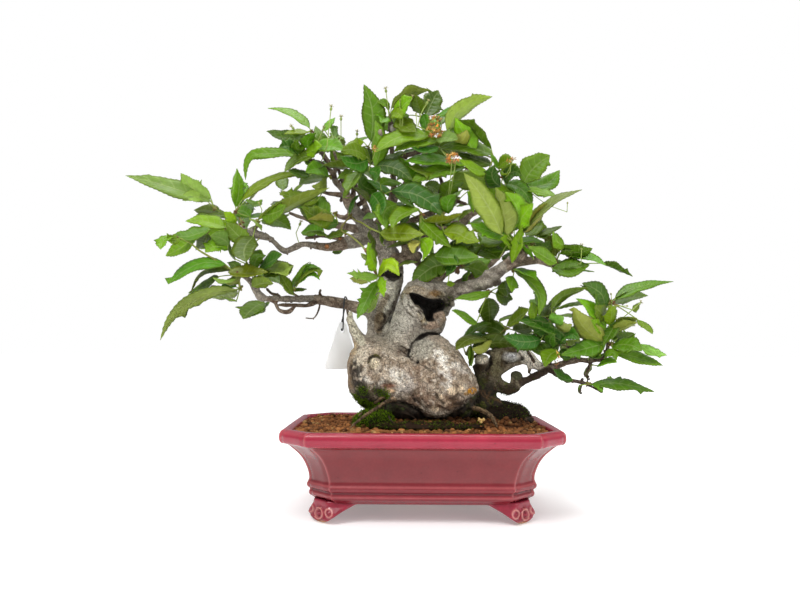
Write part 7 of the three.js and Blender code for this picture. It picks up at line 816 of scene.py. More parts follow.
        ([34.7, 117.2, 353.9], [[22.5, 123.4, 359.5], [9.4, 130.1, 368.7], [-4.6, 137.2, 373.8], [-19.8, 144.9, 373.7]], [0.48, 0.18, 0.86], 20.6, "D", [], []),
        ([34.7, 117.2, 353.9], [[48.3, 121.9, 354.9], [64.2, 127.5, 359], [80.2, 133.1, 358.7], [96.5, 138.7, 353.3]], [0.00, -0.21, 0.98], 20.8, "D", [[0.45, -1, 13.7], [0.68, 1, 13.1]], []),
    ],
    "leaf_cluster_43": [
        ([108.5, 68, 302.8], [[107.5, 82.6, 303.7], [106.4, 99.3, 307.5], [105.4, 116.1, 307], [104.3, 133.1, 301.3]], [-0.18, -0.07, 0.98], 19.7, "M", [], []),
        ([110.5, 72.6, 312.7], [[115.6, 84.3, 316.6], [121.6, 98.1, 324.4], [127.9, 112.6, 327.9], [134.6, 128, 326.4]], [-0.49, -0.08, 0.87], 19.1, "M", [[0.44, -1, 12.9]], []),
        ([110.5, 72.6, 312.7], [[103, 82.2, 316.6], [94.3, 93.3, 324], [85.3, 105, 327.5], [75.6, 117.4, 326.3]], [-0.12, -0.46, 0.88], 18.1, "M", [], []),
        ([112.5, 77.1, 322.5], [[110.6, 86.8, 329.2], [108.3, 98.5, 341.1], [105.7, 111.6, 349.1], [102.7, 126.5, 352.5]], [0.38, -0.48, 0.79], 22.2, "M", [], []),
        ([112.5, 77.1, 322.5], [[120.8, 80.6, 320.6], [137.3, 87.6, 320.1], [153.3, 94.3, 315.1], [168.6, 100.8, 305]], [0.02, 0.43, 0.90], 19.9, "M", [], []),
        ([114.4, 81.2, 331.4], [[121.4, 89.9, 338], [128.4, 98.6, 347.7], [136.1, 108.1, 353.8], [144.8, 118.8, 355.9]], [-0.17, -0.51, 0.85], 21, "M", [[0.65, 1, 13.5]], []),
        ([114.4, 81.2, 331.4], [[111.5, 91.8, 329.3], [107, 109, 329], [102.5, 125.7, 324.4], [98.2, 141.7, 314.5]], [0.15, 0.23, 0.96], 19.3, "D", [], []),
        ([114.4, 81.2, 331.4], [[104.9, 84.1, 336.6], [92, 88, 347], [78.1, 92.3, 353.3], [62.6, 96.9, 354.8]], [0.49, 0.05, 0.87], 17.5, "M", [], []),
    ],
    "leaf_cluster_44": [
        ([4.7, 78, 398], [[5.2, 90.9, 397.5], [5.8, 106.1, 399.5], [6.4, 121.2, 397.6], [7, 136.2, 391.2]], [0.12, 0.03, 0.99], 21.5, "M", [], []),
        ([6.9, 82.5, 407.8], [[7.3, 90.7, 411.8], [8, 104.9, 422], [8.7, 120.1, 428], [9.5, 136.9, 429]], [0.10, -0.44, 0.89], 21.3, "M", [], []),
        ([6.9, 82.5, 407.8], [[16, 92.5, 407.9], [26.2, 103.8, 410.5], [36.5, 115.1, 409.2], [46.7, 126.4, 403.3]], [0.02, -0.02, 1.00], 19.4, "M", [], []),
        ([9.1, 87.1, 417.6], [[-0.1, 97.5, 416.8], [-10.7, 109.6, 418.6], [-21.2, 121.6, 416.4], [-31.7, 133.5, 409.3]], [-0.14, -0.05, 0.99], 17.8, "M", [[0.56, 1, 13.3]], []),
        ([9.1, 87.1, 417.6], [[17.1, 97.2, 424.4], [25.6, 107.9, 435], [34.9, 119.5, 441.5], [45.2, 132.4, 443.1]], [-0.37, -0.29, 0.88], 20.4, "M", [], []),
        ([11, 91.2, 426.5], [[5.9, 100, 432.5], [-0.3, 110.6, 443.1], [-7.1, 122.2, 449.9], [-14.7, 135.3, 452.1]], [0.18, -0.48, 0.86], 19.2, "M", [], []),
        ([11, 91.2, 426.5], [[14.5, 96.6, 437.5], [17.4, 101, 453.3], [21.5, 107.3, 465.9], [27.2, 116, 475]], [-0.43, -0.75, 0.50], 20.8, "M", [[0.47, -1, 15.4]], []),
        ([11, 91.2, 426.5], [[13.5, 103.5, 422.4], [16.9, 120.6, 419.9], [20.1, 137, 413.1], [23.2, 152.4, 401.2]], [0.23, 0.26, 0.94], 20.5, "B", [], []),
    ],
    "leaf_cluster_45": [
        ([-88.7, 64, 386.7], [[-90, 73.3, 387.1], [-92.3, 90.5, 390.9], [-94.7, 107.8, 390.3], [-97.1, 125.3, 384.3]], [-0.05, -0.05, 1.00], 18, "O", [], []),
        ([-90.8, 67.5, 396.9], [[-89.6, 79.5, 402.5], [-88.1, 94, 412.8], [-86.6, 109.7, 418.8], [-84.9, 126.8, 419.7]], [0.32, -0.43, 0.85], 19.3, "M", [], []),
        ([-90.8, 67.5, 396.9], [[-82.7, 76.3, 394.8], [-70.5, 89.4, 394.5], [-58.6, 102.3, 389.9], [-47.2, 114.7, 380]], [0.01, 0.23, 0.97], 17.2, "O", [[0.46, 1, 13.1]], []),
        ([-92.8, 71.1, 407.1], [[-101.7, 83, 406.8], [-110.9, 95.1, 409], [-119.9, 107.2, 407.4], [-129, 119.2, 401.2]], [-0.31, -0.21, 0.93], 21.6, "B", [[0.56, -1, 15.3]], []),
        ([-92.8, 71.1, 407.1], [[-96.3, 76.8, 414], [-101.3, 84.8, 428.6], [-107.2, 94.5, 439.4], [-114.5, 106.3, 445.9]], [0.21, -0.70, 0.68], 17.4, "M", [], []),
        ([-94.7, 74.3, 416.4], [[-83.5, 81.7, 423.1], [-74.1, 87.9, 431.5], [-63.9, 94.6, 436.6], [-52.6, 102, 437.6]], [-0.23, -0.44, 0.87], 18.7, "D", [], []),
        ([-94.7, 74.3, 416.4], [[-107.9, 79.9, 419.2], [-123.2, 86.4, 425.4], [-138.9, 93, 427.2], [-155.2, 99.9, 423.7]], [0.21, 0.01, 0.98], 20.8, "M", [[0.62, -1, 15.4]], []),
        ([-94.7, 74.3, 416.4], [[-100.5, 86.8, 419.8], [-107.2, 101.2, 426.8], [-114.2, 116.2, 429.5], [-121.5, 132, 427]], [0.15, -0.19, 0.97], 17.4, "D", [[0.56, -1, 11.9]], []),
    ],
    "leaf_cluster_46": [
        ([142.7, 62, 188.5], [[142, 75.8, 189.6], [141.1, 91, 193.6], [140.3, 106.5, 193.5], [139.4, 122.2, 188.8]], [0.16, -0.07, 0.98], 20.5, "M", [[0.61, 1, 14.6], [0.81, -1, 13.2]], []),
        ([147.2, 66.6, 197.4], [[151.6, 75, 199.6], [159.2, 89.2, 206.5], [167, 103.9, 209.1], [175.2, 119.3, 206.4]], [0.21, -0.36, 0.91], 16.9, "D", [[0.54, -1, 13.0], [0.81, 1, 10.9]], []),
        ([147.2, 66.6, 197.4], [[137.7, 77.1, 201.9], [127.6, 88.2, 209.6], [117.1, 99.8, 213.2], [105.8, 112.2, 211.8]], [0.08, -0.33, 0.94], 20.9, "D", [[0.52, -1, 16.0], [0.72, 1, 13.3]], []),
        ([151.7, 71.2, 206.3], [[149.2, 82, 213.9], [146.8, 92.2, 224.3], [144.2, 103.5, 231.3], [141.1, 116.6, 234.3]], [-0.09, -0.59, 0.80], 19.3, "M", [], []),
        ([151.7, 71.2, 206.3], [[158.5, 76.1, 214.2], [165.8, 81.3, 226.4], [174.3, 87.3, 235.2], [184.5, 94.6, 240.3]], [-0.54, -0.41, 0.73], 22.1, "D", [[0.58, 1, 14.4]], []),
        ([155.7, 75.5, 214.4], [[166.5, 79.5, 212.9], [180.4, 84.8, 213.5], [194, 89.9, 210.3], [207.3, 94.9, 202.8]], [0.11, 0.08, 0.99], 21, "M", [[0.43, -1, 15.0]], []),
        ([155.7, 75.5, 214.4], [[157.9, 86.6, 217.3], [160.8, 102.3, 224.6], [164, 118.7, 227.5], [167.2, 136, 225.2]], [-0.14, -0.23, 0.96], 18.4, "B", [[0.58, 1, 13.5], [0.82, -1, 11.3]], []),
        ([155.7, 75.5, 214.4], [[149.7, 79.5, 226.2], [145, 82.7, 242], [138.4, 87.1, 254.6], [129.4, 93.1, 263.6]], [0.76, -0.39, 0.52], 17.5, "M", [[0.5, 1, 11.7]], []),
    ],
}
SHOOTS = {
    "leaf_cluster_05": [[[-191.1, -38, 247.6, 1.1], [-209.2, -42, 259.8, 1.1], [-231, -47, 272.7, 1], [-240.6, -50, 280.6, 0.9], [-253.6, -52, 286.4, 0.8]], [[-192.2, -42, 248.3, 1.3], [-192, -38, 241.8, 1.3], [-191.9, -34, 235.3, 1.3]]],
    "leaf_cluster_09": [[[-130.4, 2, 385.4, 1.2], [-127.8, 6, 400, 1.2], [-125.2, 10, 417.5, 1.2]]],
    "leaf_cluster_23": [[[-80.7, 4, 321.7, 0.9], [-73.1, -8, 312.8, 0.9], [-64.8, -16, 308.1, 1], [-55.7, -24, 301.3, 1], [-45.8, -30, 296, 1]]],
    "leaf_cluster_24": [[[-77.1, 0, 320.9, 0.9], [-87.2, -20, 300.7, 0.9], [-75.9, -26, 292.2, 1], [-62.5, -32, 279.6, 1.1], [-53.7, -36, 263.2, 1.2], [-47.2, -38, 248.2, 1.3]]],
    "leaf_cluster_27": [[[98.1, -40, 282.3, 1.2], [95.5, -33, 282.9, 1.2], [92.9, -26, 286.4, 1.2]]],
    "leaf_cluster_35": [[[131.8, -20, 189.7, 1.2], [135.4, -21, 197.8, 1.2], [139, -22, 208.9, 1.2]]],
    "leaf_cluster_37": [[[197.2, -22, 184.6, 1.2], [198.7, -24, 180, 1.2], [200.2, -26, 178.3, 1.2]]],
    "leaf_cluster_40": [[[-161.8, 92, 339.3, 1.1], [-165.7, 96.7, 348.5, 1], [-169.6, 101.4, 357.6, 0.8], [-173.2, 105.7, 365.9, 0.7]]],
    "leaf_cluster_41": [[[-210.5, 52, 312.4, 1.1], [-213.9, 58.1, 320.9, 1], [-217.3, 64.1, 329.4, 0.8], [-220.4, 69.7, 337.2, 0.7]]],
    "leaf_cluster_42": [[[27.1, 104, 325.8, 1.1], [29.7, 108.5, 335.4, 1], [32.3, 113.1, 345.1, 0.8], [34.7, 117.2, 353.9, 0.7]]],
    "leaf_cluster_43": [[[108.5, 68, 302.8, 1.1], [110.5, 72.6, 312.7, 1], [112.5, 77.1, 322.5, 0.8], [114.4, 81.2, 331.4, 0.7]]],
    "leaf_cluster_44": [[[4.7, 78, 398, 1.1], [6.9, 82.5, 407.8, 1], [9.1, 87.1, 417.6, 0.8], [11, 91.2, 426.5, 0.7]]],
    "leaf_cluster_45": [[[-88.7, 64, 386.7, 1.1], [-90.8, 67.5, 396.9, 1], [-92.8, 71.1, 407.1, 0.8], [-94.7, 74.3, 416.4, 0.7]]],
    "leaf_cluster_46": [[[142.7, 62, 188.5, 1.1], [147.2, 66.6, 197.4, 1], [151.7, 71.2, 206.3, 0.8], [155.7, 75.5, 214.4, 0.7]]],
}
# leaves further in, by no node of their own
INNER_LEAVES = [
    ([-55.9, -10, 375.7], [[-51.3, -12.5, 370.6], [-46.6, -13.8, 387.5], [-45.8, -15.2, 405], [-51.5, -16.5, 421.5]], [-0.67, 0.74, 0.06], 22, "B", [], []),
    ([20.1, -6, 411.7], [[18.9, -8.5, 402], [1, -9.8, 401.7], [-16.4, -11.2, 397.4], [-31, -12.6, 387.1]], [-0.05, -0.91, 0.41], 22, "M", [[0.49, 1, 14.4], [0.77, -1, 13.0]], []),
    ([198.6, -20, 179.6], [[196, -22.4, 179.3], [179.6, -23.7, 175], [163.2, -25, 170.6], [146.9, -26.3, 166.3]], [-0.13, -0.70, 0.70], 22, "O", [[0.58, -1, 14.0], [0.69, 1, 12.4]], []),
    ([23, 7.8, 356.1], [[33.8, 16.8, 364.6], [51.5, 15.7, 364.4], [69.2, 14.5, 364.2], [86.7, 13.3, 364]], [-0.06, -0.99, 0.10], 24.1, "S", [], []),
    ([-192.2, -42, 248.3], [[-202.1, -44.4, 251.1], [-188, -45.4, 251.1], [-173.8, -46.5, 251], [-159.8, -47.6, 251]], [-0.04, -0.60, 0.80], 19.2, "O", [[0.42, 1, 14.0]], []),
    ([-173.2, -21.8, 292.5], [[-182.7, -31.2, 279.3], [-190.7, -33.9, 287.4], [-198.7, -36.5, 295.5], [-206.6, -39.2, 303.5]], [0.04, 0.94, 0.35], 20.5, "M", [[0.44, 1, 13.6], [0.82, -1, 12.0]], []),
    ([16.4, 8, 343.1], [[-1.6, 4.9, 346.9], [-9.1, 3.7, 359.7], [-16.6, 2.6, 372.4], [-24.1, 1.4, 385.2]], [0.25, -0.97, 0.06], 20.5, "B", [], []),
    ([157, -8, 177], [[153.5, -22.6, 179.1], [138.9, -23.9, 187.3], [124.3, -25.2, 195.6], [109.8, -26.5, 203.8]], [0.16, 0.90, 0.42], 22.9, "G", [[0.54, 1, 14.6], [0.67, -1, 13.5]], []),
    ([-70.5, -5.9, 364.6], [[-71.3, -8.7, 373.7], [-83.6, -11.2, 373], [-95.8, -13.7, 372.3], [-107.9, -16.2, 371.6]], [-0.13, 0.38, 0.91], 19.8, "O", [], []),
    ([77.1, -18, 379.4], [[67.8, -13.2, 358.6], [80.7, -9.3, 346.7], [96.1, -5.5, 337.9], [114.1, -1.6, 335.2]], [0.09, 0.81, 0.59], 23.1, "L", [[0.58, 1, 15.9], [0.69, -1, 13.2]], []),
    ([53.3, 0.9, 165.1], [[55.6, -3, 174.2], [72.5, -4.4, 179.1], [89.9, -5.8, 180], [106.2, -7.2, 174.5]], [0.06, 0.77, 0.64], 22, "D", [[0.45, 1, 14.9], [0.74, -1, 14.2]], []),
    ([-113.3, 8.2, 393.6], [[-114.1, -3.6, 389.6], [-128.7, -4.8, 385.3], [-142, -5.9, 377.9], [-151.6, -7.1, 366.1]], [-0.31, -0.74, 0.60], 21, "O", [], []),
    ([77.1, -18, 379.4], [[58.3, -10.5, 388.1], [50.9, -11.5, 400.6], [43.5, -12.4, 413.2], [36.1, -13.4, 425.7]], [0.43, 0.84, 0.32], 24.8, "L", [[0.48, 1, 18.6]], []),
    ([-0.5, 16, 435.9], [[-14.2, 23.2, 440.7], [-25.8, 28.9, 435.5], [-38.9, 34.5, 433.1], [-52.8, 40.2, 435.8]], [0.40, 0.92, 0.05], 22, "M", [[0.43, -1, 13.9]], []),
    ([202.5, -20, 222.1], [[206.5, -26.9, 202.6], [200.6, -30.1, 194], [194.6, -33.2, 185.4], [188.8, -36.3, 177]], [-0.65, -0.44, 0.61], 19, "M", [], []),
    ([-137.5, -11.3, 230.2], [[-137.7, -22.3, 229], [-142.3, -25.4, 237.4], [-146.9, -28.6, 245.7], [-151.4, -31.7, 254]], [0.80, -0.56, 0.22], 19.1, "O", [[0.65, 1, 13.3], [0.74, -1, 12.1]], []),
    ([13, -13, 321.1], [[14.4, -15.7, 308.4], [21, -18.1, 308.1], [27.4, -20.4, 306.3], [32.7, -22.8, 302.2]], [-0.04, -0.71, 0.70], 13.5, "D", [], []),
    ([30, -26, 264.7], [[31.9, -28.9, 272.9], [31.8, -31.7, 264.1], [29.9, -34.5, 255.6], [25.1, -37.2, 248.4]], [-0.54, -0.74, 0.40], 16.4, "G", [[0.64, -1, 10.4]], []),
    ([134.3, -26, 264.1], [[140.3, -41.9, 262.2], [129.6, -44.7, 267.8], [118.9, -47.4, 273.3], [108.3, -50.2, 278.8]], [0.39, -0.86, 0.32], 19.8, "B", [], []),
    ([141.2, -10.8, 175.3], [[147.1, -18.1, 175.9], [134.5, -20.5, 172.5], [121.6, -22.9, 171.8], [109.5, -25.3, 175.7]], [0.14, -0.77, 0.62], 19.8, "D", [], []),
    ([52.7, 23.7, 321.3], [[56.7, 18.8, 312.4], [65.1, 15.9, 309.6], [72.7, 13, 305.1], [78.2, 10.1, 297.9]], [-0.02, -0.87, 0.50], 17.3, "M", [], []),
    ([-118.5, 66.5, 323.4], [[-122.6, 60.6, 317.7], [-130.2, 57.5, 325.1], [-137.7, 54.5, 332.5], [-145.2, 51.5, 339.8]], [0.68, -0.56, 0.47], 19.8, "D", [], []),
    ([202.5, -20, 222.1], [[196.7, -24.9, 212.2], [190, -27.7, 217.9], [184.7, -30.5, 224.8], [182.4, -33.3, 232.7]], [0.70, -0.68, 0.21], 16.5, "M", [[0.51, -1, 11.1]], []),
    ([144.1, -20, 265.9], [[147.4, -24.6, 275], [155.4, -26.5, 274.7], [163.2, -28.3, 276.3], [169.7, -30.2, 280.7]], [-0.15, 0.35, 0.92], 13.9, "M", [], []),
    ([10.6, 13.7, 301.6], [[10.7, 2, 298.1], [10.6, -1.3, 287.2], [10.5, -4.5, 276.4], [10.4, -7.7, 265.7]], [0.91, -0.40, 0.11], 19.6, "M", [], []),
    ([-6.9, 7.6, 289], [[-8.2, -5.3, 291.3], [-18.1, -8.5, 288.1], [-27.9, -11.8, 285], [-37.6, -15, 281.8]], [-0.36, 0.23, 0.90], 19.5, "D", [], []),
    ([5.6, 12, 298.6], [[3.7, -11.8, 295.9], [-2.4, -13.6, 301.8], [-9.7, -15.5, 306.1], [-18.1, -17.4, 307.4]], [0.50, -0.55, 0.67], 14.1, "D", [], []),
    ([-16.4, 10.4, 389.8], [[-20.8, 4.2, 393.2], [-29.8, 0.9, 386.9], [-38.7, -2.3, 380.7], [-47.5, -5.6, 374.6]], [-0.23, -0.69, 0.69], 19.7, "D", [], []),
    ([-47.2, -38, 248.2], [[-58, -31.8, 241.4], [-64.1, -25.2, 245.3], [-70.9, -18.6, 247.9], [-78.1, -12, 248.1]], [-0.36, -0.61, 0.71], 13.2, "S", [], []),
    ([-60.4, 10, 399.3], [[-65.8, 5.3, 399], [-62.1, 3.7, 392.5], [-59.8, 2.1, 385.4], [-60.1, 0.4, 378]], [0.75, -0.57, 0.33], 11.6, "B", [], []),
    ([-160.5, -26.3, 224.3], [[-165.2, -13.2, 221.9], [-172.2, -7.8, 216], [-180.6, -2.5, 211.5], [-190.3, 2.8, 210]], [-0.61, -0.49, 0.62], 14, "S", [[0.56, 1, 9.3], [0.77, -1, 8.9]], []),
    ([49.3, 0, 166.5], [[44.6, -4.8, 181.8], [53.3, -7, 190.9], [63.7, -9.3, 197.8], [75.8, -11.5, 200.3]], [-0.53, -0.41, 0.74], 19.8, "D", [], []),
    ([-53.1, 12.2, 306.3], [[-57.8, -5.4, 301.1], [-54.9, -8.6, 290.6], [-52, -11.8, 280.3], [-49.2, -15, 270]], [0.87, -0.35, 0.35], 19.5, "O", [[0.48, 1, 12.3]], []),
    ([-205.8, -18.5, 310.6], [[-211.6, -8.2, 311.1], [-222.6, -5, 301.2], [-233.8, -1.7, 291.2], [-245, 1.5, 281.1]], [0.17, 0.98, 0.12], 24.9, "L", [], []),
    ([18.2, -3.3, 394.4], [[34.4, -7.9, 378.7], [42.4, -9.8, 376], [50.3, -11.6, 373.3], [58.2, -13.4, 370.7]], [0.10, -0.65, 0.75], 13.7, "L", [], []),
    ([-0.5, 16, 435.9], [[1.6, 11.2, 437.8], [3.5, 8.8, 430.1], [3.8, 6.4, 422.2], [1.5, 4, 414.8]], [-0.65, -0.72, 0.23], 13.9, "M", [], []),
    ([57.3, 1.8, 163.6], [[53.4, -14.6, 153.9], [53.2, -16.4, 162.2], [53.1, -18.3, 170.4], [52.9, -20.1, 178.6]], [-0.85, 0.51, 0.10], 13.6, "O", [], []),
    ([-188.9, -34, 248], [[-189.4, -40.5, 246.4], [-194.4, -42.8, 242.8], [-199.9, -45.1, 240.6], [-205.7, -47.4, 240.8]], [-0.48, 0.61, 0.64], 13.1, "S", [], []),
    ([162.5, -8.6, 138.7], [[162.3, -15.5, 139.6], [153.7, -17.4, 141.8], [145.8, -19.3, 145.7], [140, -21.1, 152]], [0.51, -0.48, 0.71], 14, "G", [[0.43, -1, 9.0], [0.7, 1, 8.7]], []),
    ([-116.1, 5.1, 379.2], [[-124.3, 0.2, 363.5], [-132.2, -2.6, 365], [-140, -5.4, 366.5], [-147.7, -8.1, 368]], [0.36, -0.64, 0.68], 16.5, "D", [], []),
    ([-177.3, -33, 238.6], [[-168.4, -27.8, 248], [-163.5, -25.5, 251.9], [-157.5, -23.1, 253.6], [-151.2, -20.8, 253.8]], [0.14, -0.81, 0.58], 13.4, "O", [], []),
    ([28.6, 18.6, 309.5], [[27.7, 8.4, 302.6], [34.3, 6, 300.3], [41, 3.6, 299.6], [47.3, 1.2, 301.5]], [0.22, 0.45, 0.87], 13.9, "M", [], []),
    ([21.1, 12, 344], [[17.4, 3.9, 340], [9.9, 1.1, 343.7], [2.4, -1.7, 347.3], [-5, -4.5, 351]], [0.52, -0.65, 0.56], 16.6, "D", [], []),
    ([-191.9, -34, 235.3], [[-193.7, -38.5, 221.3], [-199.4, -40, 222.8], [-205.1, -41.5, 224.3], [-210.7, -43, 225.8]], [0.13, 0.41, 0.90], 10.7, "O", [], []),
    ([-69.8, -6.5, 366.6], [[-75.7, -9, 368.1], [-81.2, -10.5, 364.3], [-86.8, -12.1, 360.6], [-92.3, -13.6, 356.9]], [-0.21, -0.75, 0.62], 11, "D", [], []),
    ([-3.2, -5.9, 315.5], [[-12.8, -11, 319], [-17.6, -12.6, 314], [-21.2, -14.2, 307.9], [-22.5, -15.8, 301.1]], [-0.60, -0.63, 0.49], 11.3, "G", [], []),
    ([-33.2, 21, 335.4], [[-29.6, 12.9, 336.1], [-22.8, 11.2, 334], [-16.6, 9.6, 330.5], [-12, 8, 324.9]], [0.24, -0.69, 0.68], 11.7, "G", [], []),
    ([-36.4, 11.7, 285.4], [[-43.4, -3.4, 287], [-43.3, -5.3, 295.5], [-45.2, -7.2, 303.8], [-49.9, -9.1, 310.7]], [0.90, -0.42, 0.14], 14.2, "O", [], []),
    ([42.2, 21.4, 312.8], [[42.6, 13, 318.1], [47.4, 11.4, 322.9], [53.1, 9.8, 326.4], [59.7, 8.2, 327.5]], [-0.52, -0.51, 0.69], 11.7, "O", [], []),
    ([98.1, -40, 282.3], [[103.3, -40.3, 284.4], [111.6, -37.5, 287.5], [120.4, -34.8, 287.5], [129, -32, 285.7]], [0.15, -0.59, 0.79], 16.3, "B", [], []),
    ([202.5, -20, 222.1], [[185.4, -24.5, 231.3], [179.5, -26, 234.4], [173.6, -27.6, 237.4], [167.7, -29.1, 240.5]], [0.49, -0.58, 0.65], 10.8, "B", [], []),
    ([190.9, -16.4, 128.1], [[201, -3.9, 137], [209.7, 2.9, 136.7], [218.4, 9.7, 135], [226.2, 16.4, 130.8]], [0.62, -0.63, 0.47], 13.7, "M", [[0.43, 1, 10.1]], []),
    ([-66.8, 21, 216.4], [[-58.6, 1.4, 211.1], [-54.3, -0.5, 218.3], [-50, -2.4, 225.6], [-45.8, -4.2, 232.8]], [-0.80, -0.49, 0.35], 13.9, "P", [], []),
    ([-76.4, 3, 339.5], [[-86.3, -10.4, 336.6], [-81.9, -12.3, 343.8], [-76, -14.2, 349.9], [-68.2, -16, 353.3]], [-0.64, -0.60, 0.49], 14.1, "O", [], []),
    ([-108.5, 6.7, 375.5], [[-107.2, -3.7, 374.9], [-115.8, -5.6, 374.3], [-124.1, -7.5, 375.7], [-131.1, -9.3, 380]], [0.30, -0.60, 0.74], 14.2, "D", [], []),
    ([-103, -9.1, 294.3], [[-102.2, -20.2, 294.1], [-110.3, -22.1, 296.1], [-118.5, -24, 296.2], [-126.2, -25.8, 293.2]], [0.09, -0.55, 0.83], 13.9, "O", [], []),
    ([20.1, -6, 411.7], [[17.6, -10.6, 428.2], [24.8, -12.4, 431.8], [32, -14.3, 435.5], [39.1, -16.1, 439.1]], [-0.47, -0.64, 0.60], 13.7, "B", [], []),
    ([-105, -9.8, 294.6], [[-103.7, -16.5, 292.5], [-95.4, -19.3, 294.3], [-87.2, -22, 296], [-79, -24.7, 297.8]], [-0.35, -0.63, 0.69], 16.2, "D", [[0.48, 1, 10.3], [0.79, -1, 10.0]], []),
    ([-4.2, -5.6, 266.9], [[-6.1, -13.5, 266.1], [-12.8, -15, 265.9], [-19.3, -16.6, 264.3], [-24.8, -18.2, 260.4]], [-0.13, -0.50, 0.86], 11.3, "S", [], []),
    ([-120, 67.5, 323.8], [[-128, 55.7, 326.5], [-120.7, 54.1, 326.2], [-113.3, 52.4, 325.9], [-106, 50.8, 325.7]], [-0.10, -0.58, 0.81], 11.9, "O", [], []),
    ([-1, -24, 316.6], [[-7.5, -26.6, 323.7], [-14.7, -28.4, 327.4], [-21.8, -30.2, 331.1], [-28.8, -32, 334.9]], [0.49, -0.58, 0.65], 13.4, "G", [], []),
    ([40.3, 4.2, 336.8], [[51.7, 1.6, 347.5], [53.8, -0.3, 338.8], [55.8, -2.1, 330.1], [57.8, -4, 321.5]], [0.94, 0.29, 0.16], 13.9, "L", [[0.6, -1, 8.9], [0.71, 1, 8.9]], []),
    ([57.3, 1.8, 163.6], [[51.3, -14.5, 153.9], [52.8, -16.1, 160.2], [54.3, -17.6, 166.4], [55.8, -19.1, 172.6]], [-0.94, -0.32, 0.15], 11, "S", [], []),
    ([-82.5, 4.6, 318.6], [[-80, -5.1, 319.9], [-77.7, -7, 328.1], [-73.7, -8.9, 335.5], [-67.1, -10.8, 340.9]], [-0.76, -0.56, 0.32], 14.2, "G", [], []),
    ([89.8, 15, 188.8], [[74.7, 10.5, 188.7], [67.9, 8.9, 188.6], [61.1, 7.3, 188.6], [54.3, 5.7, 188.5]], [0.09, -0.43, 0.90], 11.3, "G", [], []),
    ([-42.6, -6, 335.5], [[-45.8, -3.7, 319.2], [-52.6, -5.3, 318.9], [-59.2, -6.9, 317.2], [-64.7, -8.5, 313.1]], [-0.05, -0.70, 0.71], 11.4, "S", [], []),
    ([-21.9, 13.4, 389.2], [[-20.8, -4, 389.7], [-14.4, -5.5, 391], [-8, -7.1, 392.3], [-1.6, -8.7, 393.6]], [-0.30, -0.64, 0.71], 11.1, "G", [], []),
    ([-55.9, -10, 375.7], [[-55.7, -12.5, 372.8], [-55.6, -14.1, 379.2], [-57, -15.7, 385.5], [-60.7, -17.3, 390.7]], [0.90, -0.42, 0.14], 11.3, "D", [], []),
    ([71.3, 27.4, 333], [[74.4, 34.2, 328], [69.9, 38.9, 323.6], [64.3, 43.6, 320.5], [57.7, 48.3, 319.9]], [-0.25, 0.24, 0.94], 11.9, "M", [], []),
    ([179.5, -13.1, 161], [[177, -25.7, 164.5], [183.1, -27.2, 164.5], [189, -28.8, 165.9], [194, -30.3, 169.5]], [-0.35, -0.31, 0.88], 11.1, "D", [], []),
    ([96.5, -36, 263.8], [[92.7, -46.9, 261.5], [96.2, -48, 274.7], [99.6, -49.1, 288], [103.1, -50.1, 301.2]], [-0.77, -0.62, 0.15], 19.1, "M", [[0.53, 1, 13.6], [0.77, -1, 11.7]], []),
    ([-29.9, 30.5, 344.5], [[-29.4, 29.4, 347.6], [-40.6, 22.6, 352.7], [-51.6, 15.8, 357.6], [-62.4, 9, 362.4]], [0.60, -0.55, 0.58], 19.8, "G", [], []),
    ([-5.8, 8, 290], [[-2.9, -12.5, 294.6], [-6.3, -14.9, 288.4], [-8.4, -17.2, 281.6], [-8, -19.6, 274.7]], [-0.53, -0.75, 0.40], 13.6, "S", [], []),
    ([87.3, -22, 356.5], [[82.4, -26.5, 365.1], [79, -28, 370.4], [75.6, -29.6, 375.6], [72.2, -31.1, 380.8]], [0.73, -0.62, 0.29], 10.8, "M", [], []),
    ([117.3, -31.7, 266.1], [[114.4, -47.2, 267.8], [108.5, -48.9, 273.1], [102.7, -50.7, 278.5], [96.8, -52.5, 283.8]], [0.62, 0.22, 0.75], 13.1, "M", [], []),
    ([20.2, -4, 394.3], [[18.8, -10.4, 393.6], [8.5, -13.6, 389.7], [-2.1, -16.8, 388.3], [-12, -20.1, 390.7]], [0.11, -0.59, 0.80], 19.8, "G", [[0.44, 1, 13.9], [0.81, -1, 10.7]], []),
    ([-74.6, -2.3, 352.8], [[-75.5, -9.3, 349.1], [-67.7, -11.2, 344.4], [-61.2, -13, 338.1], [-57.2, -14.9, 329.9]], [0.54, -0.51, 0.67], 14.1, "D", [], []),
    ([-175.9, -30, 306.3], [[-183.6, -33.9, 309.8], [-177.5, -35.5, 306.3], [-172.2, -37, 301.6], [-168.9, -38.6, 295.5]], [0.50, -0.53, 0.69], 11, "S", [], []),
    ([2.6, 2.2, 393.2], [[3.6, -2.5, 406], [5.2, -4.9, 411.8], [6.9, -7.2, 417.6], [8.5, -9.5, 423.3]], [0.78, 0.63, 0.04], 13.4, "M", [], []),
    ([49.3, 0, 166.5], [[51.3, -14.5, 175.4], [52.9, -16.1, 169], [53.1, -17.7, 162.4], [50.8, -19.3, 156.2]], [-0.87, -0.47, 0.14], 11.3, "S", [], []),
]

# ------------------------------------------------------------------- the trunk
# A signed distance field on a grid: blobs and limbs melted into each other, then carved.
LO, HI, STEP = np.array([-118.0, -72.0, 72.0]), np.array([158.0, 76.0, 346.0]), 1.3
DIMS = np.ceil((HI - LO) / STEP).astype(int)


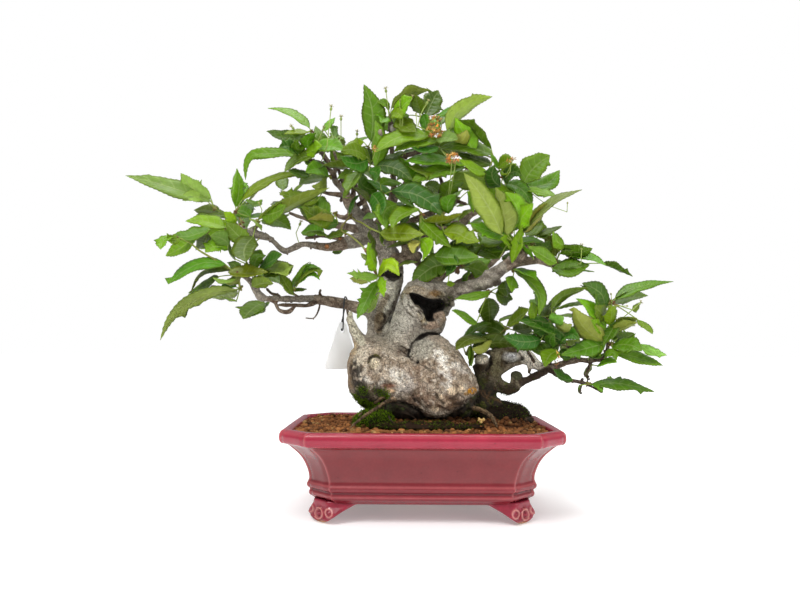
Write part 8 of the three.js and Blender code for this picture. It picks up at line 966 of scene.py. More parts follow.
class Field:
    def __init__(self):
        self.d = np.full(DIMS, 30.0, np.float32)

    def block(self, lo, hi):
        a = np.clip(np.floor((np.asarray(lo) - LO) / STEP).astype(int), 0, DIMS)
        b = np.clip(np.ceil((np.asarray(hi) - LO) / STEP).astype(int) + 1, 0, DIMS)
        if (b <= a).any():
            return None, None
        ax = [LO[i] + STEP * np.arange(a[i], b[i]) for i in range(3)]
        p = np.stack(np.meshgrid(*ax, indexing="ij"), -1)
        return tuple(slice(a[i], b[i]) for i in range(3)), p

    def merge(self, s, d, k):
        o = self.d[s]
        if k > 0:
            h = np.maximum(k - np.abs(o - d), 0) / k
            self.d[s] = np.minimum(o, d) - h * h * k * 0.25
        else:
            self.d[s] = np.minimum(o, d)

    def carve(self, s, d, k):
        o, d = self.d[s], -d
        h = np.maximum(k - np.abs(o - d), 0) / k
        self.d[s] = np.maximum(o, d) + h * h * k * 0.25

    def limb(self, stations, k, cut=False, grow=0.0):
        st = np.asarray(stations, float)
        for a, b in zip(st[:-1], st[1:]):
            r = max(a[3], b[3]) + grow
            m = r + k + 4
            s, p = self.block(np.minimum(a[:3], b[:3]) - m, np.maximum(a[:3], b[:3]) + m)
            if s is None:
                continue
            ab = b[:3] - a[:3]
            t = np.clip(((p - a[:3]) @ ab) / max(ab @ ab, 1e-6), 0, 1)
            d = np.linalg.norm(p - a[:3] - t[..., None] * ab, axis=-1) - (a[3] + (b[3] - a[3]) * t) - grow
            (self.carve if cut else self.merge)(s, d.astype(np.float32), k)

    def blob(self, c, r, tilt=0.0, k=8.0, cut=False, turn=0.0):
        c, r = np.asarray(c, float), np.asarray(r, float)
        m = r.max() + k + 4
        s, p = self.block(c - m, c + m)
        if s is None:
            return
        q = p - c
        a = math.radians(tilt)
        x = q[..., 0] * math.cos(a) - q[..., 2] * math.sin(a)
        z = q[..., 0] * math.sin(a) + q[..., 2] * math.cos(a)
        y = q[..., 1]
        if turn:
            b = math.radians(turn)
            x, y = x * math.cos(b) + y * math.sin(b), -x * math.sin(b) + y * math.cos(b)
        q = np.stack([x, y, z], -1)
        k0 = np.linalg.norm(q / r, axis=-1)
        k1 = np.maximum(np.linalg.norm(q / (r * r), axis=-1), 1e-6)
        d = (k0 * (k0 - 1) / k1).astype(np.float32)
        (self.carve if cut else self.merge)(s, d, k)

    def value(self, p):
        i = np.clip(((np.asarray(p) - LO) / STEP), 0, DIMS - 1.001)
        b = i.astype(int)
        f = i - b
        out = 0
        for dx in (0, 1):
            for dy in (0, 1):
                for dz in (0, 1):
                    w = (f[..., 0] if dx else 1 - f[..., 0]) * (f[..., 1] if dy else 1 - f[..., 1]) * (f[..., 2] if dz else 1 - f[..., 2])
                    out = out + w * self.d[b[..., 0] + dx, b[..., 1] + dy, b[..., 2] + dz]
        return out

    def seen(self, px, py, deeper=0.0):
        """The first point of the wood that the ray through a place in the frame meets."""
        d = ray(px, py)
        t = np.arange(640, 840, 0.5)
        p = EYE + d * t[:, None]
        ok = ((p > LO) & (p < HI)).all(1)
        v = np.where(ok, self.value(p), 30)
        hit = np.nonzero(v < 0)[0]
        q = p[hit[0]] if len(hit) else p[np.argmin(v)]
        return q + d * deeper


wood = Field()
MM = 1.1  # millimetres to one step of the frame, at the depth of the trunk
RIGHT_OWN = ("rt", "rta", "rtk", "rtlo", "rtv")
GIRTH = {"llow": 1.16, "llow5": 0.55, "lmid": 1.08, "dead": 0.82, "dead2": 0.9, "root1": 0.72, "root2": 0.8, "root3": 0.8}
WOOD = [(name, [[*row[:3], row[3] * GIRTH.get(name, 1.0)] for row in st]) for name, st in WOOD if name != "root4"]
NEARER = {"front": 3.5, "stem": 3.5}
for name, c, r, tilt in BLOBS:
    if name in ("bulb", "bulb2", "knob"):
        continue
    wood.blob(c, r, tilt, k=9)


scratch = Field()


def limb_once(field, dense, k):
    """One limb, melted into the rest once, so that its own joints add nothing to its girth."""
    dense = np.asarray(dense, float)
    scratch.limb(dense, 0)
    m_ = dense[:, 3].max() + 10
    a_ = np.clip(np.floor((dense[:, :3].min(0) - m_ - LO) / STEP).astype(int), 0, DIMS)
    b_ = np.clip(np.ceil((dense[:, :3].max(0) + m_ - LO) / STEP).astype(int) + 1, 0, DIMS)
    if (b_ <= a_).any():
        return
    s_ = tuple(slice(a_[i], b_[i]) for i in range(3))
    field.merge(s_, scratch.d[s_], k)
    scratch.d[s_] = 30.0


def limb_of(st, k, into=None):
    st = np.asarray(st, float)
    dense = catmull(st, max(3, int(np.linalg.norm(np.diff(st[:, :3], axis=0), axis=1).sum() / 6)))
    limb_once(into or wood, dense, k)


def placed(rows):
    return [[*at_depth(px, py, y), r] for px, py, y, r in rows]


slim = Field()
for name, st in WOOD:
    st = np.asarray(st, float)
    if name.startswith("root") or name in RIGHT_OWN:
        continue
    thick = st[:, 3].max()
    if thick < 3.4:
        continue
    limb_of(st, NEARER.get(name, 6 if thick > 7 else 3))
    fine_ = catmull(st, max(3, int(np.linalg.norm(np.diff(st[:, :3], axis=0), axis=1).sum() / 6)))
    thin_ = np.nonzero(fine_[:, 3] < 6.6)[0]
    if len(thin_) > 1:
        limb_once(slim, fine_[thin_[0] :], 2.0)

# the trunk swells to the right below its wound
wood.blob(at_depth(429, 323.5, -8), [16.0, 18, 15.4], tilt=10, k=6)
wood.blob(at_depth(437.0, 323, -7), [7.8, 13, 12.5], tilt=0, k=5)
wood.blob(at_depth(441, 306, 0), [6.5, 12, 12], tilt=0, k=5)
S = wood.seen


def along(pts, deeper=0.0):
    return [S(x, y, deeper) for x, y in pts]


def ridge(pts, radius, k=4.0, deeper=1.0):
    q = np.array(along(pts, deeper))
    rr = np.broadcast_to(np.asarray(radius, float), (len(q),))
    wood.limb(np.column_stack([q, rr]), k)


def groove(pts, radius, k=2.5, deeper=0.0):
    q = np.array(along(pts, deeper))
    rr = np.broadcast_to(np.asarray(radius, float), (len(q),))
    wood.limb(np.column_stack([q, rr]), k, cut=True)


def slit(pts, width, depth, k=1.2):
    """A narrow cut that runs deep into the wood behind a line on its surface."""
    q = np.array(along(pts))
    wd = np.broadcast_to(np.asarray(width, float), (len(q),))
    dp = np.broadcast_to(np.asarray(depth, float), (len(q),))
    for a_, b_, w0, w1, d0, d1 in zip(q[:-1], q[1:], wd[:-1], wd[1:], dp[:-1], dp[1:]):
        m_ = max(d0, d1) + 6
        s_, p_ = wood.block(np.minimum(a_, b_) - m_, np.maximum(a_, b_) + m_)
        if s_ is None:
            continue
        flat = np.array([1, 0.0, 1])
        ab = (b_ - a_) * flat
        t_ = np.clip(((p_ - a_) @ ab) / max(ab @ ab, 1e-6), 0, 1)
        c_ = a_ + t_[..., None] * (b_ - a_)
        e = p_ - c_
        w_, d_ = w0 + (w1 - w0) * t_, d0 + (d1 - d0) * t_
        across = np.hypot(e[..., 0], e[..., 2])
        taper = np.sqrt(np.clip(1 - (np.clip(e[..., 1] + 2, 0, None) / d_) ** 2, 0, 1))
        dist = np.maximum(across - w_ * np.maximum(taper, 0.05), e[..., 1] + 2 - d_)
        wood.carve(s_, dist.astype(np.float32), k)


def pixel_polygon(p, poly):
    """Signed distance, in millimetres, of points to an outline drawn in the frame."""
    x, y = pixel(p)
    poly = np.asarray(poly, float)
    d = np.full(x.shape, 1e9)
    inside = np.zeros(x.shape, bool)
    for a_, b_ in zip(poly, np.roll(poly, -1, axis=0)):
        ab = b_ - a_
        t_ = np.clip(((x - a_[0]) * ab[0] + (y - a_[1]) * ab[1]) / (ab @ ab), 0, 1)
        d = np.minimum(d, np.hypot(x - a_[0] - t_ * ab[0], y - a_[1] - t_ * ab[1]))
        cross = (a_[1] > y) != (b_[1] > y)
        with np.errstate(divide="ignore", invalid="ignore"):
            xi = a_[0] + (y - a_[1]) * ab[0] / ab[1]
        inside ^= cross & (x < xi)
    return np.where(inside, -d, d) * MM


# the egg-shaped bulb: melted into the burl below, but cleft from the trunk above
egg = Field()
egg.blob(at_depth(440.6, 377.0, -9), [46, 36, 33.0], tilt=60, k=0.1)
egg.blob(at_depth(433, 345.8, -14), [15.5, 17, 13.3], tilt=20, k=8)
egg.blob(at_depth(437, 393, -9), [31, 29, 26], tilt=20, k=9)
egg.blob(at_depth(459, 389, -8), [20, 26, 21], tilt=0, k=8)
melt = np.stack(np.meshgrid(*[LO[i] + STEP * np.arange(DIMS[i]) for i in range(3)], indexing="ij"), -1)
line_y = np.interp(pixel(melt)[0], [400, 416, 426, 440], [352, 361, 372, 396])
soft_k = 1.6 + 8.5 * smoothstep(-2, 14, pixel(melt)[1] - line_y)
h_ = np.maximum(soft_k - np.abs(wood.d - egg.d), 0) / soft_k
wood.d = (np.minimum(wood.d, egg.d) - h_ * h_ * soft_k * 0.25).astype(np.float32)
del melt, egg

CRACK = [(441, 334.4), (434, 333.6), (427, 333.6), (421.5, 336), (417.0, 339.6), (412.4, 343.6), (410, 349), (407.4, 355.0), (410.5, 359.2), (415, 361.4), (418, 362.0)]
crack_pts = np.array(along(CRACK))
slit(CRACK, [0.2, 0.2, 0.4, 1.3, 0.7, 0.3, 0.4, 0.9, 0.7, 0.6, 0.4], [2, 2, 4, 7, 4, 2, 3, 6, 5, 4, 3])
slit([(399.5, 349.2), (402.4, 351.6), (406.5, 354.5)], [0.6, 0.9, 1.2], [3, 4, 6])
groove([(399, 348.5), (404, 352)], [2.4, 3.6], k=5, deeper=-0.8)
# the folds that run from the crack down over the burl
groove([(418, 363), (425.7, 367), (434, 373.5), (438.5, 384), (441.5, 394)], [2.6, 2.6, 2.6, 2.0, 1.4], k=5, deeper=-0.7)
groove([(404, 360), (398, 372), (397, 384)], [2.0, 2.2, 1.5], k=6, deeper=-0.8)
groove([(389, 345), (398, 349), (404, 352)], [2.4, 2.8, 3.0], k=6, deeper=-1.0)
# seam between the left stem and the main trunk
SEAM = [(404.5, 286), (399.4, 290.5), (393.6, 302), (391, 312.5), (387.2, 322.5), (382.5, 328.5), (377, 331)]
slit(SEAM, [0.4, 0.5, 0.6, 0.7, 0.9, 0.8, 0.4], [4, 5, 5, 6, 6, 5, 3])
seam_pts = np.array(along(SEAM))
# the old wound in the front of the trunk: an irregular hollow
WOUND = [(409.2, 293.2), (413, 292.6), (420.2, 295.0), (426.9, 298.0), (433.6, 299.2), (440.3, 298.4), (444.2, 301.6), (445.4, 306.0), (443.2, 310.8), (437.5, 312.4), (433.6, 313.4), (432.9, 317.0), (433.4, 320.2), (430.0, 321.6), (426.4, 320.8), (423.8, 317.0), (422.9, 310.6), (419.2, 307.0), (414.8, 304.4), (412.0, 300.6), (409.8, 296.6)]
wound_pts = np.array([S(x, y) for x, y in WOUND])
s_, p_ = wood.block([-20, -50, 196], [46, 12, 250])
ragged = 0.9 * vnoise(p_, 3.6, 61) + 0.5 * vnoise(p_, 1.9, 62)
deep = -3.0 + 2.0 * vnoise(p_, 7.0, 63)
taper_ = 0.14 * np.clip(p_[..., 1] + 26, 0, 40)
hole_d = np.maximum(pixel_polygon(p_, WOUND) + ragged + taper_, p_[..., 1] - deep)
centre_w = wound_pts.mean(0)
# its callus: a thick lumpy lip on the left, a band over the top and a curl on the right
rng = np.random.default_rng(404)
LIP_LINE = [(409.6, 290.6), (405.6, 295.4), (406.2, 302.0), (410.4, 308.4), (415.6, 312.6), (420.0, 316.8), (424.0, 321.0)]
lip = np.array([S(x, y) for x, y in LIP_LINE])
wood.limb(np.column_stack([lip + [0.6, 0.2, 0], [3.2, 5.0, 6.0, 5.8, 5.2, 4.4, 3.4]]), 1.4)
lip_dense = catmull(np.column_stack([lip, np.zeros(len(lip))]), 22)[:, :3]
for q_ in lip_dense:
    for _ in range(2):
        c_ = q_ + rng.normal(0, 1, 3) * [2.6, 0.5, 2.6]
        wood.blob(c_ + [0, -1.1, 0], rng.uniform(1.8, 3.7, 3) * [1, 1.1, 1], k=0.35)
TOP_BAND = [(408, 289.4), (414, 288.8), (420.5, 290.4), (427, 293.4), (433.6, 295.2), (440.5, 295.4)]
band_t = np.array([S(x, y) for x, y in TOP_BAND])
wood.limb(np.column_stack([band_t + [0, 1.6, 0], [2.6, 3.2, 3.4, 3.2, 3.0, 2.6]]), 2.5)
for q_ in catmull(np.column_stack([band_t, np.zeros(len(band_t))]), 18)[:, :3]:
    wood.blob(q_ + rng.normal(0, 0.9, 3) * [1.4, 0.4, 1.4], rng.uniform(1.5, 2.7, 3), k=0.9)
wood.carve(s_, hole_d.astype(np.float32), 1.6)
curl = [at_depth(x, y, float(S(430, 326)[1]) + dy) for x, y, dy in [(424, 324.6, 2.0), (431, 325.4, 0.6), (438, 323.6, 0.8), (441.6, 318.6, 2.4), (441.2, 313.6, 4.0), (437.6, 312.8, 4.6), (435.8, 315.6, 5.4)]]
wood.limb(np.column_stack([curl, [3.4, 4.0, 4.4, 4.0, 3.0, 2.4, 1.9]]), 2.2)
for px_, py_, y_, r_ in ((445.6, 301, -3, 5.4), (448, 306, -1, 4.4), (444.6, 296.5, -8, 5.0), (450.4, 299, -8, 4.4), (452.6, 304.5, -5, 3.2), (447.6, 309.5, 0, 2.6), (446, 313, 2, 3.0)):
    wood.blob(at_depth(px_, py_, y_), [r_, r_, r_], k=1.6)
EDGE = catmull([[x, y, 0, 0] for x, y in ((404.6, 291.2), (401.6, 296.4), (402.0, 302.4), (405.4, 309.4), (411.0, 315.2), (417.6, 319.6), (422.4, 323.0))], 17)[:, :2]
EDGE = EDGE + rng.uniform(-0.9, 0.9, EDGE.shape)
slit([tuple(q_) for q_ in EDGE], rng.uniform(0.4, 1.4, len(EDGE)), rng.uniform(2.0, 4.6, len(EDGE)), k=0.6)
for _ in range(34):
    x_, y_ = LIP_LINE[rng.integers(len(LIP_LINE))]
    wood.blob(S(x_ + rng.uniform(-3.6, 3.6), y_ + rng.uniform(-3.6, 3.6), rng.uniform(-0.4, 0.6)), rng.uniform(0.9, 1.7, 3), k=0.5, cut=rng.random() < 0.6)
slit([(412.5, 306.6), (415.4, 310.0), (418.6, 311.6)], 0.7, 2.4, k=0.6)
slit([(409, 300), (408.4, 304.4), (411.2, 308)], 0.6, 2.2, k=0.6)
# the knot on the burl, like an eye: a raised pale oval in a dark-rimmed socket
slit([(368.4, 363.6), (368.8, 359.4), (371.4, 356.6), (375.4, 355.6), (379.0, 356.8), (380.6, 359.8)], [0.9, 1.5, 1.9, 2.0, 1.7, 0.9], [3, 4, 5, 5, 5, 3], k=1.2)
slit([(368.6, 364), (370.2, 368.2), (374, 370), (378.4, 367.2), (380.2, 362)], [0.6, 0.7, 0.8, 0.8, 0.6], [2, 2.4, 2.6, 2.6, 2], k=1.0)
ridge([(364.5, 353.5), (370, 349.6), (377, 350.0), (383.5, 354)], [1.8, 3.0, 3.0, 2.0], k=5, deeper=0.8)
wood.blob(S(373.8, 363.0, 1.6), [4.2, 3.4, 5.4], tilt=8, k=1.0)
ridge([(362.6, 375.4), (366, 379.6), (372, 379.8), (380, 375.0), (390, 371.5)], [2.2, 3.0, 3.0, 2.6, 1.6], k=5, deeper=0.8)
slit([(373.6, 375.4), (376.4, 373.6), (379.4, 371.2)], 0.7, 3, k=0.8)
# pink-brown scar and the bulges round it
groove([(384.5, 386.4), (390, 389.4), (395.5, 391)], [2.6, 3.2, 2.4], k=2.5, deeper=-0.4)
slit([(382, 383.6), (388, 383.8), (393.6, 383.6), (397.0, 386.6)], [0.7, 1.0, 0.9, 0.6], 3.4, k=1.0)
ridge([(378, 383.5), (386, 379.0), (396, 380.0), (403, 386.0)], [1.8, 2.6, 2.6, 1.8], k=4, deeper=0.6)
slit([(355.5, 362), (356.6, 371), (358.6, 380)], [0.6, 1.2, 0.8], 3.5, k=1.0)
# pale rounded bumps low on the bulb
for px_, py_, r_ in ((451.4, 391, 5.4), (461, 389, 4.6), (446, 403, 6.5), (430, 401, 8), (437, 410, 6), (422, 396, 6.5), (458, 399, 5)):
    wood.blob(S(px_, py_, 2.0), [r_, r_ * 0.8, r_ * 0.9], k=5)
slit([(436.4, 394.4), (438.4, 398.6), (443.2, 403.6)], [0.9, 1.2, 0.6], 3.5, k=1.2)
slit([(441.8, 390), (446.6, 386.6), (452, 384.8)], 0.7, 3, k=1.2)
# knot on the left stem
slit([(376.8, 320.5), (376.6, 316.0), (379.4, 312.6), (383.4, 313.8), (385.4, 318.2), (383.6, 322.4), (379.6, 323.4)], 0.8, 3.0, k=0.8)
wood.blob(S(380.6, 318.0, 1.6), [3.0, 2.4, 3.8], k=1.0)
# a hollow at the foot of the left stem's fork; its darkness is painted shade, laid on further down
s_, p_ = wood.block([-50, -30, 240], [20, 40, 290])
shade_poly = [(379.6, 272.8), (386, 271.0), (392, 270.4), (398, 271.2), (402.4, 274.0), (400.6, 278.4), (394, 281.4), (386.6, 280.6), (381.4, 277.2)]
cut_d = np.maximum(pixel_polygon(p_, shade_poly) + 1.3 * vnoise(p_, 4.0, 64) + 0.7 * vnoise(p_, 2.2, 65), p_[..., 1] - float(S(391, 276)[1]) - 8)
wood.carve(s_, cut_d.astype(np.float32), 2.6)
ridge([(379.5, 277.0), (384, 279.6), (392, 281.0), (400, 279.0)], [1.8, 2.4, 2.4, 1.8], k=3.5, deeper=0.8)
# rough underside where the right limb leaves the trunk
for px_, py_, y_, r_ in ((436, 291, -12, 4.5), (441, 296, -10, 4.8), (446, 301.5, -8, 4.4), (449.5, 297, -12, 4.2), (452.5, 303.5, -9, 3.0), (447, 307, -6, 2.8), (443, 305, -4, 4.0), (455, 297, -14, 3.4), (440, 287.5, -12, 5.5)):
    wood.blob(at_depth(px_, py_, y_), [r_, r_, r_], k=2.0)
# the line under which the dark root plate begins, and the overhang above it
LOWER = [(352, 396), (362, 404), (378, 399), (386.8, 397.5), (395, 399), (404, 401.5), (412, 404.5), (418, 408), (424, 414), (431, 418.0), (438, 418.6), (444, 416), (451, 411.5), (459, 407), (466, 401.5), (471, 397), (477, 390.5), (482, 386)]
slit([(392, 400.5), (404, 403.2), (412, 406.2), (418, 410.2), (424, 416.4), (431, 420.4), (439, 420.8), (446, 417.8), (453, 413.0), (461, 408.2), (468, 402.6), (474, 396.5)], 2.0, [6, 8, 9, 10, 10, 10, 10, 10, 10, 9, 8, 6], k=2.0)


# old knots and nodes along the right limb
KNOTS = ((470, 283.4, 4.0), (478, 283, 4.4), (484, 287.6, 3.6), (489, 283.4, 5.2), (496.8, 281.4, 5.2), (487, 273.4, 4.2), (493, 276, 5.0), (500, 271.4, 4.6), (504, 265, 4.2), (511, 258.8, 4.2), (517.6, 256.4, 3.8), (462, 292.4, 3.6), (448, 285.2, 3.4))
for px_, py_, r_ in KNOTS:
    wood.blob(S(px_, py_, 2.0), [r_, r_, r_ * 0.9], k=1.4)


# bark relief on what lies near the surface
def relief(field, seed, strength=1.0):
    idx = np.nonzero(np.abs(field.d) < 6.0)
    pts = LO + STEP * np.stack(idx, -1)
    low = 1 - smoothstep(196, 236, pts[:, 2])
    amp = 0.5 + 0.5 * low
    n = 1.3 * vnoise(pts, 19.0, seed) * low + 0.9 * amp * vnoise(pts, 8.5, seed + 1) + 0.7 * amp * vnoise(pts, 4.4, seed + 2)
    n += 0.55 * vnoise(pts, np.array([2.7, 2.7, 3.6]), seed + 3)
    n += 0.55 * (1 - low) * vnoise(pts, np.array([4.0, 4.0, 14.0]), seed + 4)
    # short wrinkles that run round the limbs
    n += 0.30 * (1 - low) * np.sin(pts[:, 2] * 1.3 + 3.2 * vnoise(pts, 9.0, seed + 6))
    pit = vnoise(pts, 3.4, seed + 5)
    n -= 1.0 * smoothstep(0.42, 0.85, pit) * (0.5 + low)
    # fine cracks: where two slow waves cross zero
    crack = np.abs(vnoise(pts, np.array([7.5, 7.5, 5.5]), seed + 8) + 0.35 * vnoise(pts, 3.0, seed + 9))
    n -= 0.8 * (1 - smoothstep(0.03, 0.13, crack)) * (0.3 + 0.7 * low)
    field.d[idx] -= (strength * n * np.clip(1.2 - np.abs(field.d[idx]) / 12, 0.3, 1)).astype(np.float32)


relief(wood, 1)
relief(slim, 51, 0.36)
h_ = np.maximum(2.0 - np.abs(wood.d - slim.d), 0) / 2.0
wood.d = (np.minimum(wood.d, slim.d) - h_ * h_ * 2.0 * 0.25).astype(np.float32)

# ------------------------------------------- the second trunk, low on the right
small = Field()
SLOPE = [(476, 396, 12, 15), (483, 402, 11, 12.5), (490, 405.5, 10, 10.6), (498.5, 408.5, 8, 9.0), (506, 413.5, 6, 7.2), (514, 418.5, 3, 5.6), (523, 421.0, 0, 4.4), (532, 420, -2, 3.2)]
limb_once(small, catmull(placed(SLOPE), 20), 3)
small.limb(placed([(462, 412, 6, 9), (471, 408, 8, 10), (480, 404, 8, 11)]), 4)
limb_once(small, catmull(placed([(484, 404, 14, 13.5), (486.5, 392, 14, 10.4), (491.2, 380, 13, 9.0), (493.6, 368, 12, 9.0), (495.6, 357, 11, 8.0), (498, 350, 11, 7.4), (500, 344, 12, 6.4)]), 16), 3)
small.blob(at_depth(481.6, 360.0, 2), [8.8, 8.4, 7.0], tilt=-12, k=2)
small.blob(at_depth(479.4, 368.4, 8), [8.2, 7.6, 7.4], k=3)
small.blob(at_depth(482, 378, 11), [10, 9, 10], k=4)
small.blob(at_depth(484, 390, 11), [11, 10, 11], k=4)
small.blob(at_depth(502.8, 363.6, 12), [4.4, 3.6, 4.2], k=2)
small.limb(placed([(482, 366, 8, 6), (488, 376, 12, 8)]), 3)
small.blob(at_depth(490, 352.5, 9), [5.0, 5, 4.2], k=2.5)
# over the top and down into the limb that runs right
limb_once(small, catmull(placed([(499.5, 347, 12, 6.4), (507, 345.4, 10, 5.8), (515, 345.4, 8, 5.4), (521.5, 348.4, 7, 6.2), (526.4, 354.0, 6, 6.5), (531.0, 360.2, 4, 6.3), (536.8, 365.2, 2, 5.2), (542, 367.6, 1, 4.6), (548, 367.6, -1, 4.4), (553, 366.5, -3, 4.0), (562, 364, -6, 3.4), (573, 361, -9, 3.0)]), 26), 2)
# a sheet of old wood inside the arch, with its lower lip
small.blob(at_depth(512.5, 356.8, 13), [15.6, 4.8, 11.2], k=2)
limb_once(small, catmull(placed([(500.5, 371.5, 11, 4.2), (505.6, 368.0, 9, 3.9), (512, 365.0, 8, 3.6), (519, 362.4, 7, 3.5), (526, 361.6, 6, 3.6)]), 14), 2)
# the short limb under it: out, round and up to its cut end
limb_once(small, catmull(placed([(493, 379, 13, 8.0), (498.6, 384.4, 10, 6.9), (505, 387.8, 7, 6.4), (511, 388.8, 4, 6.2), (515.2, 386.2, 2, 6.2), (516.6, 381, 0.6, 6.3), (516.6, 376.2, 0, 6.4)]), 24), 1.6)
limb_once(small, catmull(placed([(518.4, 383.4, 3, 4.6), (524, 381.4, 3, 4.1), (531, 378.2, 2, 3.8), (538, 374.8, 1, 4.0), (545.5, 371.6, 0, 4.4)]), 14), 1.6)
small.limb(placed([(529.0, 372.6, 3, 1.6), (529.0, 366.0, 3, 1.7)]), 1.0)
# the sawn face of the short limb, tipped up and to the front
stub_at = at_depth(516.6, 375.6, -3.4)
stub_n = unit([0.08, -0.80, 0.60])
s_, p_ = small.block(stub_at - 11, stub_at + 11)
plane = -((p_ - stub_at) @ stub_n)
near_ = np.linalg.norm(p_ - stub_at, axis=-1) - 9.5
small.carve(s_, np.maximum(plane, near_).astype(np.float32), 0.8)
S_main = S
S = small.seen
keep_wood, wood = wood, small
slit([(501.8, 352.4), (502.2, 356), (502.0, 360.0)], [0.7, 1.0, 0.6], 4, k=0.8)
slit([(507.4, 363.4), (511.6, 361.8), (516.6, 360.2)], [0.6, 1.1, 0.7], 4.5, k=0.8)
slit([(485.5, 371), (487.6, 367.6), (490.4, 362.6)], [0.8, 1.2, 0.8], 5, k=1.0)
small_seen = {n_: S(*q_) for n_, q_ in {"knob": (481.6, 357.6), "dark": (480, 367), "column": (494.5, 361), "wound": (511.6, 356.0), "arch": (527, 357), "stub": (507, 387), "under": (512, 393), "moss": (515, 350), "slope": (497, 400), "slope2": (512, 408), "foot": (488, 396)}.items()}
wood, S = keep_wood, S_main
relief(small, 31, 0.75)
idx = np.nonzero((small.d < 8))
pts = LO + STEP * np.stack(idx, -1)
rough_low = 1 - smoothstep(112, 132, pts[:, 2])
small.d[idx] -= (rough_low * (1.9 * vnoise(pts, 6.5, 71) + 1.3 * vnoise(pts, 3.2, 72))).astype(np.float32)
o_, d_ = wood.d.copy(), small.d
h_ = np.maximum(1.8 - np.abs(o_ - d_), 0) / 1.8
wood.d = (np.minimum(o_, d_) - h_ * h_ * 1.8 * 0.25).astype(np.float32)
# the rough plate of roots and peat that both trunks stand on
idx = np.nonzero(np.abs(wood.d) < 7)
pts = LO + STEP * np.stack(idx, -1)
px_, py_ = pixel(pts)
below = smoothstep(0.5, 3.5, py_ - np.interp(px_, *np.array(LOWER).T)) * (pts[:, 1] < 6) * (px_ < 480)
behind = (1 - smoothstep(104, 116, pts[:, 2])) * (pts[:, 1] >= 6)
k_ = np.maximum(below, behind)
wood.d[idx] -= (k_ * (1.7 * vnoise(pts, 6.5, 73) + 1.1 * vnoise(pts, 3.2, 74) - 0.6)).astype(np.float32)

# roots that show on the soil
for name, st in WOOD:
    if name.startswith("root"):
        wood.limb(catmull(st, 14), 2.5)

# the skin is drawn on a grid of its own, a little coarser in depth
STEP3 = np.array([1.32, 1.66, 1.32])
n3 = np.floor((HI - LO - 0.5) / STEP3).astype(int)
ax3 = [LO[k] + STEP3[k] * np.arange(n3[k]) for k in range(3)]
skin = np.empty(n3, np.float32)
yy, zz = np.meshgrid(ax3[1], ax3[2], indexing="ij")
for i in range(n3[0]):
    skin[i] = wood.value(np.stack([np.full_like(yy, ax3[0][i]), yy, zz], -1))
g = openvdb.FloatGrid()
g.copyFromArray(skin)
tv, tq = g.convertToQuads(isovalue=0.0)
tv = np.asarray(tv, float) * STEP3 + LO
tq = np.asarray(tq, np.int64)


def keep_largest(v, q):
    """Only the one shell with the most points."""
    label = np.arange(len(v))
    while True:
        m = label[q].min(1)
        new = label.copy()
        for k in range(q.shape[1]):
            np.minimum.at(new, q[:, k], m)
        new = new[new]
        if (new == label).all():
            break
        label = new
    ids, count = np.unique(label, return_counts=True)
    keep = label == ids[np.argmax(count)]
    index = np.cumsum(keep) - 1
    return v[keep], index[q[keep[q].all(1)]]


tv, tq = keep_largest(tv, tq)
e1, e2 = tv[tq[:, 2]] - tv[tq[:, 0]], tv[tq[:, 3]] - tv[tq[:, 1]]
if ((np.cross(e1, e2) * tv[tq[:, 0]]).sum()) < 0:
    tq = tq[:, ::-1]


def near(points, p, reach, soft):
    """1 close to a run of points, fading to 0 past reach."""
    p = np.asarray(p, float)
    out = np.full(len(points), 1e9)
    for a, b in zip(p[:-1], p[1:]):
        ab = b - a
        t = np.clip(((points - a) @ ab) / max(ab @ ab, 1e-6), 0, 1)
        out = np.minimum(out, np.linalg.norm(points - a - t[:, None] * ab, axis=1))
    return 1 - smoothstep(reach, reach + soft, out)


def spot(points, c, r, soft=0.5):
    d = np.linalg.norm((points - np.asarray(c)) / np.asarray(r, float), axis=1)
    return 1 - smoothstep(1 - soft * 0.5, 1 + soft * 0.5, d)


def hollow_shade(v):
    """How enclosed each point is, from the field a few millimetres out."""
    eps = 1.0
    gx = np.stack([wood.value(v + np.eye(3)[k] * eps) - wood.value(v - np.eye(3)[k] * eps) for k in range(3)], -1)
    nrm = unit(gx)
    out = np.zeros(len(v))
    for dist, w in ((2.5, 0.35), (6.0, 0.4), (12.0, 0.35)):
        q = v + nrm * dist
        inside = ((q > LO + 2) & (q < HI - 2)).all(1)
        val = np.where(inside, wood.value(q), dist)
        out += w * np.clip(1 - val / dist, 0, 1.2)
    return out, nrm


def lerp(a, b, t):
    return a + (b - a) * np.asarray(t)[:, None]


